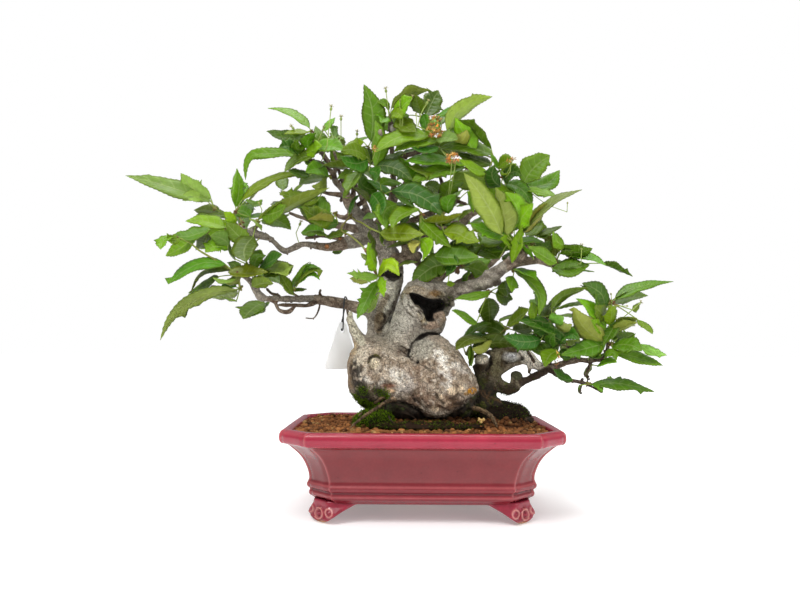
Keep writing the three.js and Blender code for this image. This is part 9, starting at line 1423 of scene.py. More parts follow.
def bark_colour(v, nrm=None, shade=None, thin=False):
    """Grey bark above, speckled cream and brown on the old wood below."""
    n1, n2, n3 = vnoise(v, 26, 11), vnoise(v, 10, 12), vnoise(v, 4.2, 13)
    n4, n5 = vnoise(v, 2.1, 14), vnoise(v, 6.0, 15)
    tile = lambda *c_: np.tile(srgb(*c_), (len(v), 1))
    low = 1 - smoothstep(168, 196, v[:, 2] + 9 * n1)
    grey_ = lerp(tile(112, 105, 94), tile(146, 139, 126), 0.5 + 0.5 * n2)
    grey_ = lerp(grey_, tile(84, 75, 63), smoothstep(0.05, 0.65, n5) * 0.6)
    grey_ = lerp(grey_, tile(170, 163, 150), smoothstep(0.25, 0.8, -n3 * 0.7 - n4 * 0.6) * 0.45)
    old = lerp(tile(146, 130, 110), tile(190, 177, 158), smoothstep(-0.35, 0.6, n2 + 0.5 * n3))
    old = lerp(old, tile(112, 89, 70), smoothstep(0.0, 0.7, n1 * 0.6 + n5 * 0.8) * 0.7)
    old = lerp(old, tile(74, 58, 46), smoothstep(0.35, 0.75, n3 * 0.8 + n4 * 0.7) * 0.85)
    old = lerp(old, tile(218, 208, 192), smoothstep(0.4, 0.85, -n3 * 0.7 - n4 * 0.7) * 0.7)
    c = lerp(grey_, old, low)
    if thin:
        c = lerp(tile(78, 62, 49), tile(124, 109, 93), smoothstep(-0.6, 0.6, n3 + 0.7 * n4))
    return c


shade, nrm = hollow_shade(tv)
col = bark_colour(tv)
n2, n3, n5 = vnoise(tv, 9, 21), vnoise(tv, 4, 22), vnoise(tv, 2.2, 23)
T = lambda *c: np.tile(srgb(*c), (len(tv), 1))
front = smoothstep(-0.05, 0.3, -(nrm * unit(tv - EYE)).sum(1)) * (tv[:, 1] < 14)
VX, VY = pixel(tv)
own = 1 - smoothstep(1.0, 2.4, np.abs(small.value(tv)))
own = np.maximum(own, (VX > 478) * (tv[:, 2] < 150) * (tv[:, 0] > 70))
main_ = 1 - own


def mark(px, py, rx, ry, soft=0.6, turn=0.0):
    """A soft-edged oval drawn on the side that faces front."""
    a_ = math.radians(turn)
    x_, y_ = VX - px, VY - py
    x_, y_ = x_ * math.cos(a_) + y_ * math.sin(a_), -x_ * math.sin(a_) + y_ * math.cos(a_)
    q_ = np.hypot(x_ / rx, y_ / ry)
    return (1 - smoothstep(1 - soft * 0.5, 1 + soft * 0.5, q_ + 0.16 * n2 + 0.12 * n3)) * front


def stroke(path, reach, soft):
    """The same along a drawn line."""
    p_ = np.asarray(path, float)
    out = np.full(len(tv), 1e9)
    for a_, b_ in zip(p_[:-1], p_[1:]):
        ab = b_ - a_
        t_ = np.clip(((VX - a_[0]) * ab[0] + (VY - a_[1]) * ab[1]) / max(ab @ ab, 1e-6), 0, 1)
        out = np.minimum(out, np.hypot(VX - a_[0] - t_ * ab[0], VY - a_[1] - t_ * ab[1]))
    return (1 - smoothstep(reach, reach + soft, out + 0.8 * n3)) * front


old_ = main_
slim_ = (1 - smoothstep(0.9, 2.0, np.abs(slim.value(tv)))) * main_ * smoothstep(186, 200, tv[:, 2])
col = lerp(col, bark_colour(tv, thin=True) * 1.22, slim_ * 0.8)
col = lerp(col, T(190, 185, 171), mark(399, 320, 14, 30, 0.9, 12) * old_ * 0.75)
col = lerp(col, T(112, 104, 92), mark(410, 337, 9, 9, 1.0) * old_ * 0.6)
col = lerp(col, T(158, 148, 130), mark(388, 342, 16, 12, 1.0) * old_ * 0.45)
col = lerp(col, T(194, 190, 174), mark(387, 302, 10, 26, 0.8, 8) * old_ * 0.8)
col = lerp(col, T(214, 204, 182), mark(360, 358, 8, 15, 0.9, -8) * old_ * 0.6 * smoothstep(-0.8, 0.3, -n3))
col = lerp(col, T(184, 178, 156), stroke([(350, 314), (352.6, 324), (356.6, 334), (361, 342)], 3.0, 2.4) * old_ * 0.85)
# top of the bulb is a smooth green-grey; a chalky run goes down its middle
col = lerp(col, T(146, 143, 130), mark(422, 347, 16, 12, 0.8, -35) * old_ * 0.8)
col = lerp(col, T(136, 122, 106), mark(441, 339, 13, 5, 0.8, 12) * old_ * 0.7)
for path, reach, soft, k in (
    ([(438, 354), (446, 362), (444, 372), (448, 380), (446, 386)], 2.5, 6, 0.8),
    ([(446, 362), (458, 366), (466, 372)], 1.5, 5, 0.55),
    ([(394, 374), (403, 378), (410, 384), (404, 390)], 4, 6, 0.6),
    ([(362, 376), (368, 381), (376, 384)], 1.6, 3.5, 0.55),
    ([(380, 382), (386, 378), (394, 378)], 1.2, 3.0, 0.6),
):
    col = lerp(col, T(230, 225, 214), stroke(path, reach, soft) * k * smoothstep(-0.6, 0.2, n3 + 0.5 * n5) * old_)
# brown patches
for px_, py_, rx_, ry_, k in ((418, 372, 14, 8, 0.55), (424, 386, 14, 12, 0.5), (432, 402, 20, 11, 0.75), (448, 400, 14, 9, 0.6), (454, 374, 8, 6, 0.45), (412, 396, 12, 6, 0.6), (401, 353, 7, 4, 0.6), (392, 362, 10, 6, 0.25), (466, 366, 7, 14, 0.35)):
    col = lerp(col, T(104, 80, 64), mark(px_, py_, rx_, ry_, 1.2) * k * smoothstep(-0.6, 0.4, n3 + n5 * 0.6) * old_)
for px_, py_, rx_, ry_ in ((451.6, 391, 4.6, 4.2), (461, 389, 3.8, 3.4), (440.6, 397, 2.6, 2.2), (435, 409, 4, 3)):
    col = lerp(col, T(222, 200, 168), mark(px_, py_, rx_, ry_, 0.7) * 0.85 * old_)
col = lerp(col, T(150, 120, 88), mark(447, 404, 12, 6, 1.0) * 0.5 * old_)
# scar, knots and callus
col = lerp(col, T(150, 102, 78), mark(389, 386.0, 6.4, 2.6, 0.6) * 0.85)
col = lerp(col, T(206, 172, 134), mark(391, 390.6, 5.4, 2.2, 0.7) * 0.85)
col = lerp(col, T(206, 194, 166), mark(373.8, 363.4, 4.4, 5.0, 0.35) * 0.9)
col = lerp(col, T(120, 104, 82), mark(373.4, 366.4, 3.0, 1.8, 0.8) * 0.4)
# painted shade: dark lines along the knot's two slits
col = lerp(col, T(46, 42, 18), stroke([(368.6, 362), (369.4, 358.6), (372.4, 356.4), (376.4, 355.8), (380.0, 358)], 0.8, 1.3) * 0.95)
col = lerp(col, T(92, 88, 34), stroke([(374.6, 354.6), (378.6, 355.6)], 0.5, 1.0) * 0.7)
col = lerp(col, T(80, 64, 46), stroke([(368.4, 364), (370.2, 368.4), (374.4, 370)], 0.3, 1.3) * 0.75)
col = lerp(col, T(170, 152, 120), mark(380.6, 318.0, 3.0, 3.8, 0.5) * 0.85)
# painted shade in the slit round the knot
col = lerp(col, T(34, 26, 18), stroke([(376.8, 320.5), (376.6, 316.0), (379.4, 312.8), (383.4, 313.8), (385.2, 318.2), (383.6, 322.4), (379.6, 323.4), (376.8, 320.5)], 0.4, 1.1) * 0.85)
lip_zone = (near(tv, lip_dense, 3.6, 2.0)) * front
col = lerp(col, T(172, 158, 128), lip_zone * (0.45 + 0.5 * smoothstep(-0.4, 0.5, n3)))
# painted shade along the lip's inner edge, where it drops into the hollow
col = lerp(col, T(58, 46, 28), stroke([(409.6, 294), (412.4, 300), (415.4, 304.8), (420, 308), (423.4, 313)], 0.5, 1.3) * 0.75)
col = lerp(col, T(92, 78, 52), lip_zone * smoothstep(0.0, 0.35, n5) * 0.9)
col = lerp(col, T(204, 194, 164), lip_zone * smoothstep(0.1, 0.5, -n5) * 0.75)
top_zone = near(tv, band_t, 3.6, 2.2) * front
col = lerp(col, T(138, 124, 100), top_zone * 0.6)
col = lerp(col, T(86, 70, 46), top_zone * smoothstep(0.0, 0.5, n5) * 0.7)
col = lerp(col, T(140, 118, 98), near(tv, curl, 3.6, 2.0) * 0.75)
col = lerp(col, T(180, 150, 124), near(tv, curl, 3.4, 1.6) * smoothstep(0.1, 0.5, n3) * 0.6)
col = lerp(col, T(116, 82, 34), mark(435, 293.4, 5.5, 3.4, 0.9) * 0.75)
col = lerp(col, T(58, 56, 24), mark(446, 300, 8.5, 8, 0.9) * (0.5 + 0.4 * n3))
col = lerp(col, T(40, 34, 24), mark(445, 300, 9, 7.6, 0.9) * smoothstep(-0.2, 0.4, n5) * 0.85)
col = lerp(col, T(92, 82, 66), mark(456, 289, 12, 5, 1.0) * 0.5 * smoothstep(-0.5, 0.5, n3))
# lichen
col = lerp(col, T(188, 128, 18), mark(471.4, 391.0, 5.0, 3.4, 0.8) * smoothstep(-0.3, 0.2, n5 + 0.2))
col = lerp(col, T(168, 120, 40), mark(466.4, 393.6, 3.0, 2.0, 0.8) * 0.7)
# bare strip down the left edge, with a burnt one beside it
col = lerp(col, T(132, 106, 72), stroke([(353.6, 345), (350.4, 358), (349.6, 372), (352.4, 386)], 1.8, 2.4) * 0.6 * smoothstep(-0.7, 0.2, n3 + 0.5 * n5))
col = lerp(col, T(172, 150, 112), stroke([(355, 344), (354.0, 352)], 1.6, 2.2) * 0.6)
col = lerp(col, T(30, 28, 26), stroke([(355.4, 366), (357.4, 378), (361, 390), (365, 402)], 4.2, 5.5) * smoothstep(-0.9, 0.1, n3 + 0.7 * n5 - 0.2 + 0.02 * (VY - 370)) * 0.93)
col = lerp(col, T(30, 28, 24), stroke([(378, 391), (382, 393), (384, 397)], 2.6, 4) * 0.8)
col = lerp(col, T(112, 94, 70), stroke([(385.5, 297), (380.6, 308), (377.6, 322), (379, 330)], 2.4, 2.6) * 0.75)
col = lerp(col, T(58, 44, 30), stroke([(389, 312), (384, 322), (380, 329)], 1.2, 2.6) * 0.75)
for px_, py_, rx_, ry_, k in ((497, 283.4, 5.4, 3.4, 0.85), (488, 287, 5, 2.4, 0.7), (501.4, 273, 4.4, 2.6, 0.7), (494, 270, 4, 2.0, 0.5), (509, 262.6, 3.4, 2.2, 0.7), (515, 258.6, 4.4, 2.4, 0.7), (479, 289, 6, 2.2, 0.6), (470, 287, 3, 2, 0.5), (462, 294, 6, 2, 0.6), (520, 262, 5, 2.2, 0.6)):
    col = lerp(col, T(50, 40, 30), mark(px_, py_, rx_, ry_, 0.9) * k * main_)
# the second trunk
oo = own * smoothstep(-0.2, 0.2, -(nrm * unit(tv - EYE)).sum(1))
col = lerp(col, T(112, 103, 84), own * 1.0)
col = lerp(col, T(70, 58, 42), own * smoothstep(-0.1, 0.5, n3 + 0.5 * n5) * 0.8)
# painted highlight: lighter patches on the upper part of the second trunk
col = lerp(col, T(128, 120, 102), own * smoothstep(0.15, 0.6, -n3) * 0.6 * smoothstep(372, 352, VY))


def own_mark(px, py, rx, ry, soft=0.7, turn=0.0):
    return mark(px, py, rx, ry, soft, turn) * own


col = lerp(col, T(212, 203, 182), own_mark(482.4, 359.6, 6.6, 5.0) * 0.92)
col = lerp(col, T(40, 30, 14), own_mark(478.5, 368.4, 7, 5.0, 0.8) * 0.92)
col = lerp(col, T(140, 132, 104), own_mark(497, 354, 6.5, 9, 0.9) * 0.8)
col = lerp(col, T(112, 106, 76), own_mark(496, 368, 6.5, 9, 0.9) * 0.7)
col = lerp(col, T(60, 44, 22), stroke([(502, 352), (502.4, 358), (501.6, 366)], 0.4, 1.2) * own * 0.8)
col = lerp(col, T(50, 36, 20), stroke([(487, 378), (489, 370), (491.4, 362)], 0.6, 1.4) * own * 0.8)
col = lerp(col, T(186, 184, 178), own_mark(512, 356.6, 8.4, 5.0, 0.9) * 0.9)
col = lerp(col, T(216, 216, 218), own_mark(512, 355.6, 5.0, 2.6, 0.9) * 0.8)
col = lerp(col, T(82, 70, 28), own_mark(514.4, 350.4, 7.4, 2.8, 0.9) * 0.85)
col = lerp(col, T(126, 114, 98), own_mark(514, 364.6, 8, 2.2, 0.9) * 0.75)
col = lerp(col, T(226, 218, 202), own_mark(530, 357.5, 9.4, 15, 0.7, -50) * 0.96)
col = lerp(col, T(214, 210, 200), own_mark(524.6, 350.4, 4.0, 4.4, 0.8) * 0.8)
col = lerp(col, T(46, 38, 24), own_mark(508, 387.6, 10, 4.6, 0.9) * 0.9)
col = lerp(col, T(104, 96, 74), own_mark(506, 383, 5, 2.4, 0.9) * 0.7)
col = lerp(col, T(66, 48, 28), own_mark(512, 392, 8, 2.8, 0.9) * 0.85)
col = lerp(col, T(64, 65, 44), own * (np.abs((tv - stub_at) @ stub_n) < 1.4) * (np.linalg.norm(tv - stub_at, axis=1) < 7.2) * 0.95)
col = lerp(col, T(46, 34, 24), stroke([(523, 382), (531, 378.6), (538, 375), (545, 372), (556, 371)], 3.6, 2.0) * own * 0.9)
dark_low = own * smoothstep(372, 390, VY + 5 * n2 - 14 * (VX > 499) * (VY < 396)) * (1 - own_mark(508, 385, 13, 9, 0.3))
col = lerp(col, T(30, 26, 17), dark_low * 0.94)
col = lerp(col, T(92, 68, 44), dark_low * smoothstep(0.1, 0.6, n3 + 0.8 * n5) * 0.7)
col = lerp(col, T(66, 76, 22), dark_low * smoothstep(0.2, 0.5, n2 + 0.5 * n5) * 0.7)
# the plate of roots and peat: its near-black is partly the peat's own colour and partly painted shade under the
# overhang
plate = smoothstep(0.0, 2.6, VY - np.interp(VX, *np.array(LOWER).T) + 1.2 * n3) * (tv[:, 1] < 6) * main_
plate = np.maximum(plate, (1 - smoothstep(101, 112, tv[:, 2] + 4 * n2)) * (tv[:, 1] >= 6))
plate = np.maximum(plate, (1 - smoothstep(94, 99, tv[:, 2])))
col = lerp(col, T(33, 28, 22), plate * 0.96)
col = lerp(col, T(78, 62, 46), plate * smoothstep(0.25, 0.7, n3) * 0.7)
col = lerp(col, T(56, 70, 20), plate * smoothstep(0.0, 0.5, n2) * 0.55)
# painted shade on the undersides that face down, low on the trunk
underside_shade = smoothstep(0.25, 0.8, -nrm[:, 2]) * (1 - smoothstep(118, 136, tv[:, 2])) * (1 - mark(437, 410, 16, 8, 0.6))
col = lerp(col, T(48, 40, 32), underside_shade * 0.75)
hair = np.abs(vnoise(tv, np.array([7.5, 7.5, 5.5]), 9) + 0.35 * vnoise(tv, 3.0, 10))
col = lerp(col, T(48, 38, 29), (1 - smoothstep(0.02, 0.10, hair)) * 0.55 * (1 - smoothstep(230, 250, tv[:, 2])))
# painted shade: dark lines along the crack, the slits and the folds
col = lerp(col, T(22, 18, 14), stroke([(441, 334.4), (434, 333.6), (427, 333.6), (421.5, 336), (417.0, 339.6), (412.4, 343.6), (410, 349), (407.4, 355.0), (410.5, 359.2), (415, 361.4), (418, 362.0)], 0.35, 1.1) * 0.92)
col = lerp(col, T(16, 13, 10), stroke([(420, 337.6), (423.5, 336), (426, 334.6)], 1.6, 1.2) * 0.95)
col = lerp(col, T(30, 24, 18), stroke([(399.5, 349.2), (402.4, 351.6), (406.5, 354.5)], 0.4, 1.0) * 0.8)
col = lerp(col, T(34, 27, 18), stroke(EDGE, 0.25, 1.1) * 0.8 * smoothstep(-0.7, 0.1, n3 + 0.6 * n5))
col = lerp(col, T(40, 32, 22), stroke([(412.5, 306.6), (415.4, 310.0), (418.6, 311.6), (421, 314)], 0.3, 0.9) * 0.8)
col = lerp(col, T(40, 32, 22), stroke([(409, 299), (408.0, 304.4), (411.2, 308)], 0.3, 0.9) * 0.8)
col = lerp(col, T(52, 42, 32), stroke([(418, 363), (425.7, 367), (431, 371)], 0.3, 1.2) * 0.7)
col = lerp(col, T(52, 42, 32), stroke([(436.4, 394.4), (438.4, 398.6), (443.2, 403.6)], 0.3, 1.1) * 0.7)
ROOT_1 = np.array([row[:3] for row in dict(WOOD)["root1"]])[1:]
ROOT_3 = np.array([row[:3] for row in dict(WOOD)["root3"]])[1:]
on_root = np.maximum(near(tv, ROOT_1, 3.0, 1.4), near(tv, ROOT_3, 2.8, 1.2))
col = lerp(col, lerp(T(120, 98, 72), T(58, 44, 30), smoothstep(-0.3, 0.4, n5 + 0.4 * n3)), on_root * 0.9)
# painted shade: the dark inside the crack, the seam, the wound's hollow and the fork's hollow
deep_ = smoothstep(0.25, 0.6, shade)
col = lerp(col, T(15, 12, 10), near(tv, crack_pts + [0, 2.5, 0], 1.9, 1.4) * smoothstep(0.35, 0.6, shade) * 0.97)
col = lerp(col, T(18, 15, 12), near(tv, seam_pts + [0, 3, 0], 2.0, 1.6) * smoothstep(0.3, 0.55, shade) * 0.95)
inside_hole = (1 - smoothstep(-0.6, 0.9, pixel_polygon(tv, WOUND))) * (tv[:, 1] > float(lip[:, 1].min()) + 3.0) * (tv[:, 1] < 6)
col = lerp(col, T(12, 10, 8), inside_hole * 0.97)
fork = (1 - smoothstep(-0.5, 1.6, pixel_polygon(tv, shade_poly))) * (tv[:, 1] < 34)
col = lerp(col, T(26, 20, 15), fork * smoothstep(0.1, 0.4, shade) * 0.92)
col = col * 1.26
# painted shade over every deeply enclosed place on the wood
col = lerp(col, T(34, 28, 22), smoothstep(0.5, 0.95, shade) * 0.8)
# greenish film low on the left
green = stroke([(366, 392), (372, 400), (380, 408)], 6, 6) * smoothstep(-0.5, 0.4, n2) * main_
col = lerp(col, T(52, 74, 14), green * 0.85 * (1 - on_root))


def bark_material():
    m, t, out = material("bark")
    b = principled(t, out)
    vec = objvec(t)
    tint = attribute(t, "tint")
    f1 = noise(t, vec, 820, 4, 0.65)
    f2 = noise(t, vec, 300, 3, 0.6)
    f3 = noise(t, vec, 1900, 2, 0.6)
    # a warped copy of the coordinates, so that the cracks wander
    wob = t.nodes.new("ShaderNodeTexNoise")
    wob.inputs["Scale"].default_value = 210
    wob.inputs["Detail"].default_value = 2
    t.links.new(vec, wob.inputs["Vector"])
    sc_ = t.nodes.new("ShaderNodeVectorMath")
    sc_.operation = "MULTIPLY_ADD"
    sc_.inputs[1].default_value = (0.006, 0.006, 0.006)
    t.links.new(wob.outputs["Color"], sc_.inputs[0])
    t.links.new(vec, sc_.inputs[2])
    vo = t.nodes.new("ShaderNodeTexVoronoi")
    vo.feature = "DISTANCE_TO_EDGE"
    vo.inputs["Scale"].default_value = 165
    t.links.new(sc_.outputs[0], vo.inputs["Vector"])
    crack = ramp(t, vo.outputs["Distance"], [(0.0, grey(1.0)), (0.035, grey(0.75)), (0.10, grey(0.0))])
    crack = mix(t, 1.0, crack, ramp(t, f2, [(0.40, grey(0.15)), (0.56, grey(1.0))]), "MULTIPLY")
    dots = t.nodes.new("ShaderNodeTexVoronoi")
    dots.inputs["Scale"].default_value = 430
    t.links.new(sc_.outputs[0], dots.inputs["Vector"])
    pits = ramp(t, dots.outputs["Distance"], [(0.0, grey(1.0)), (0.20, grey(0.8)), (0.34, grey(0.0))])
    speck = ramp(t, f1, [(0.28, grey(0.28)), (0.41, grey(0.72)), (0.51, grey(1.04)), (0.62, grey(1.32)), (0.74, grey(1.58))])
    c = mix(t, 1.0, tint, speck, "MULTIPLY")
    blot = ramp(t, f2, [(0.28, grey(0.66)), (0.46, grey(0.96)), (0.72, grey(1.18))])
    c = mix(t, 1.0, c, blot, "MULTIPLY")
    fine = ramp(t, f3, [(0.32, grey(0.66)), (0.68, grey(1.32))])
    c = mix(t, 1.0, c, fine, "MULTIPLY")
    apart = t.nodes.new("ShaderNodeSeparateXYZ")
    t.links.new(vec, apart.inputs[0])
    age = t.nodes.new("ShaderNodeMapRange")
    for key, val in (("From Min", 0.165), ("From Max", 0.20), ("To Min", 1.0), ("To Max", 0.5)):
        age.inputs[key].default_value = val
    t.links.new(apart.outputs["Z"], age.inputs["Value"])
    c = mix(t, math_node(t, "MULTIPLY", math_node(t, "MULTIPLY", crack, 0.62), age.outputs["Result"]), c, (0.035, 0.026, 0.020))
    c = mix(t, math_node(t, "MULTIPLY", math_node(t, "MULTIPLY", pits, 0.52), age.outputs["Result"]), c, (0.045, 0.034, 0.026))
    t.links.new(c, b.inputs["Base Color"])
    rough = ramp(t, f2, [(0.2, grey(0.72)), (0.8, grey(0.95))])
    t.links.new(rough, b.inputs["Roughness"])
    b.inputs["Specular IOR Level"].default_value = 0.22
    h = math_node(t, "ADD", math_node(t, "MULTIPLY", f1, 0.6), f2)
    h = math_node(t, "SUBTRACT", h, math_node(t, "MULTIPLY", crack, 0.55))
    h = math_node(t, "SUBTRACT", h, math_node(t, "MULTIPLY", pits, 0.30))
    t.links.new(bump(t, h, 0.95, 0.0017), b.inputs["Normal"])
    return m


BARK = bark_material()
trunk = new_object("trunk", tv, [tq], BARK, col)
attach(trunk, "root")
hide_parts("tree")

# ---------------------------------------------------------- branches and twigs
heap = Heap()
for k, (name, st) in enumerate(WOOD):
    st = np.asarray(st, float).copy()
    if name.startswith("root") or name in ("rta", "rtk", "rtlo", "rtv"):
        continue
    if name == "rt":
        st = st[11:]
    thick = st[:, 3].max()
    sides = 14 if thick > 6 else (11 if thick > 3.4 else 8)
    dense = catmull(st, max(4, int(np.linalg.norm(np.diff(st[:, :3], axis=0), axis=1).sum() / 7)))
    if thick >= 3.4:
        # what the trunk's own mesh already holds isn't drawn twice
        inside = ((dense[:, :3] > LO + 6) & (dense[:, :3] < HI - 6)).all(1)
        if inside.all():
            continue
        first = int(np.argmin(inside)) if inside[0] else 0
        dense = dense[max(0, first - 2) :]
        if len(dense) < 3:
            continue
    # nodes: a twig thickens at each old bud
    rng = np.random.default_rng(100 + k)
    rr = dense[:, 3]
    bumps = np.zeros(len(rr))
    for b in np.arange(1, len(rr) - 1, 2):
        if rng.random() < 0.6:
            bumps[b] = rng.uniform(0.12, 0.42)
    dense[:, 3] = rr * (1 + bumps)
    if thick < 6:
        jitter = rng.normal(0, 0.55, (len(dense), 3))
        jitter[0] = jitter[-1] = 0
        dense[:, :3] += jitter * min(1.0, 2.4 / thick)
    v, tri, quad = tube(dense, sides, 1.7 if thick > 2.5 else 1.6, 0.13, k)
    c = bark_colour(v, thin=thick < 4.2)
    if thick >= 4.2:
        c = lerp(c, bark_colour(v, thin=True), smoothstep(5.5, 3.0, np.interp(np.arange(len(v)), np.linspace(0, len(v), len(dense)), dense[:, 3])) * 0.85)
    c = c * (0.80 + 0.25 * rng.random())
    if name in ("llow", "lmid", "grey", "greyt"):
        c = lerp(c, np.tile(srgb(150, 143, 130), (len(c), 1)), np.full(len(c), 0.45)) * 1.12
    if name.startswith("rt") and name != "rt":
        c = c * 0.72
    heap.add(v, tri, quad, c)
    # bud scars and spurs along it
    along_n = int(len(dense) * (0.9 if thick < 5 else 0.45))
    for _ in range(along_n):
        i = rng.integers(1, len(dense) - 1) if len(dense) > 2 else 1
        d = unit(rng.normal(0, 1, 3))
        r = dense[i, 3]
        size = rng.uniform(0.55, 1.25) * min(1.6, 0.55 + r * 0.22)
        iv, it = ICO1
        p = dense[i, :3] + d * (r * 0.92)
        w = iv * size * np.array([1, 1, 1.2]) * (1 + 0.25 * vnoise(iv * 9, 5, int(rng.integers(1, 999))))[:, None]
        heap.add(p + w + d * np.clip(iv @ d, 0, 1)[:, None] * size * 0.8, it, None, srgb(96, 74, 58) * rng.uniform(0.7, 1.3))

# cut faces where old limbs were sawn off
CUTS = [((327, 246.5), -17, 2.6, (150, 100, 62)), ((340, 238.5), -15, 2.0, (142, 98, 62))]
for (px, py), y, r, c in CUTS:
    p = at_depth(px, py, y - 3.0)
    iv, it = ICO2
    w = iv * np.array([r, 2.2, r * 1.05])
    heap.add(p + w, it, None, srgb(c) * (0.85 + 0.25 * vnoise(p + w, 2.0, 5))[:, None])


# -------------------------------------------------------------------- foliage
OUTLINE_T = [0, 0.05, 0.12, 0.22, 0.34, 0.45, 0.57, 0.69, 0.79, 0.87, 0.93, 0.97, 1.0]
OUTLINE_W = [0.05, 0.30, 0.60, 0.86, 0.985, 1.0, 0.94, 0.78, 0.59, 0.385, 0.22, 0.10, 0.012]
# colour of the side that shows, and of the other side, for each kind of leaf; kinds D and G are darker copies of the
# same green that stand for painted shade
KINDS = {
    "L": ((124, 166, 8), (148, 172, 62), 0.42),
    "B": ((92, 134, 3), (132, 160, 58), 0.34),
    "M": ((100, 138, 7), (134, 156, 66), 0.40),
    "D": ((75, 104, 5), (122, 144, 58), 0.36),
    "G": ((54, 101, 9), (116, 144, 64), 0.26),
    "S": ((134, 156, 62), (98, 132, 22), 0.50),
    "O": ((94, 124, 16), (138, 150, 58), 0.48),
    "P": ((154, 176, 68), (148, 170, 76), 0.45),
}
COLUMNS = np.array([-1, -0.68, -0.34, 0, 0.34, 0.68, 1.0])


def leaf(heap, row, seed):
    hub, p, normal, width, kind, lobes, teeth = row
    rng = np.random.default_rng(seed)
    p, normal = np.asarray(p, float), unit(normal)
    length = np.linalg.norm(np.diff(p, axis=0), axis=1).sum()
    nt = int(np.clip(length / 3.6, 7, 15)) if not (lobes or teeth) else int(np.clip(length / 3.2, 9, 15))
    ts = [0.0, 0.035]
    for k in range(nt):
        a, b = 0.07 + 0.89 * k / nt, 0.07 + 0.89 * (k + 1) / nt
        ts += [a, a + 0.72 * (b - a)]
    ts += [0.975, 1.0]
    ts = np.array(ts)
    valley = np.zeros(len(ts))
    valley[2:-2:2] = -1
    valley[3:-2:2] = 1
    m = len(ts)
    fine = catmull(p, 60)
    c = np.column_stack([np.interp(ts, np.linspace(0, 1, 60), fine[:, k]) for k in range(3)])
    t = unit(np.gradient(c, axis=0))
    a = unit(np.cross(normal, t))
    up = np.cross(t, a)
    peak = rng.uniform(-0.05, 0.06)
    w = np.interp(np.clip(ts + peak * np.sin(math.pi * ts), 0, 1), OUTLINE_T, OUTLINE_W) * width / 2
    tooth = min(0.85, 0.065 * width) * smoothstep(0.03, 0.16, ts) * (1 - smoothstep(0.9, 1.0, ts))
    # no two margins run alike: each side swells and pinches in its own way
    waver = [1 + 0.10 * np.sin(2 * math.pi * (rng.uniform(1.2, 2.6) * ts + rng.random())) * smoothstep(0.08, 0.3, ts) * (1 - smoothstep(0.8, 1.0, ts)) for _ in (0, 1)]
    half = np.stack([w * waver[0] + valley * tooth * 0.5, w * waver[1] + valley * tooth * 0.5])  # side -1, side +1
    for k, scale in ((lobes, 0.2), (teeth, 0.09)):
        for t0, sd, reach in k:
            reach = min(reach, width * 1.0)
            rise = np.clip((ts - (t0 - scale)) / scale, 0, 1) ** 1.25
            fall = np.clip(((t0 + 0.055) - ts) / 0.055, 0, 1)
            shape = np.minimum(rise, 1) * np.where(ts > t0, fall, 1)
            side = 1 if sd > 0 else 0
            half[side] = np.maximum(half[side] * (1 - 0.18 * shape), reach * shape)
    half[:, -1], half[:, 0] = 0.05, 0.35
    # shape across: a shallow keel, margins that droop, a slow wave, and the blade quilted between its veins
    keel = math.tan(math.radians(rng.uniform(7, 24)))
    droop = rng.uniform(0.05, 0.30)
    wave, phase, freq = rng.uniform(0.2, 0.95), rng.uniform(0, 6.28, 2), rng.uniform(1.4, 2.7)
    twist = rng.normal(0, 0.10)
    s = COLUMNS[None, :]
    h = np.where(s < 0, half[0][:, None], half[1][:, None])
    x = s * h
    z = np.abs(x) * keel - droop * np.abs(x) * s * s
    z = z + wave * np.sin(2 * math.pi * freq * ts[:, None] + np.where(s < 0, phase[0], phase[1])) * s * s * np.minimum(1, h / 7)
    veins = 7.0
    vein = np.cos(2 * math.pi * (veins * ts[:, None] - 0.9 * np.abs(s)))
    z = z + 0.22 * (-vein) * np.where(np.abs(s) < 0.9, 1, 0.2) * np.minimum(1, h / 6)
    z[:, 3] -= 0.18
    z = z + twist * x
    z += 0.012 * length * rng.normal(0, 1) * np.sin(2 * math.pi * ts)[:, None]
    # the blade lies evenly about its own run of points
    z = z - 0.9 * z.mean(axis=1, keepdims=True)
    top = c[:, None] + a[:, None] * x[..., None] + up[:, None] * z[..., None]
    thick = 0.30 * np.array([0, 1, 1, 1, 1, 1, 0])[None] + np.zeros((m, 1))
    rib = np.interp(ts, [0, 0.5, 1], [0.75, 0.45, 0.1])
    thick[:, 3] += rib
    low = top - up[:, None] * thick[..., None]
    # top has 7 columns; the lower skin shares its two margins
    low_in = low[:, 1:6]
    v = np.concatenate([top.reshape(-1, 3), low_in.reshape(-1, 3)])
    T = np.arange(m * 7).reshape(m, 7)
    L_ = np.column_stack([T[:, 0], m * 7 + np.arange(m * 5).reshape(m, 5), T[:, 6]])
    quads = [np.stack([T[:-1, j], T[:-1, j + 1], T[1:, j + 1], T[1:, j]], -1) for j in range(6)]
    quads += [np.stack([L_[:-1, j], L_[1:, j], L_[1:, j + 1], L_[:-1, j + 1]], -1) for j in range(6)]
    q = np.concatenate(quads)
    tris = []
    for row_, flip in ((0, False), (m - 1, True)):
        for j in range(6):
            poly = [T[row_, j], L_[row_, j], L_[row_, j + 1], T[row_, j + 1]]
            poly = [k for n_, k in enumerate(poly) if k not in poly[:n_]]
            for k in range(1, len(poly) - 1):
                f = [poly[0], poly[k], poly[k + 1]]
                tris.append(f[::-1] if flip else f)
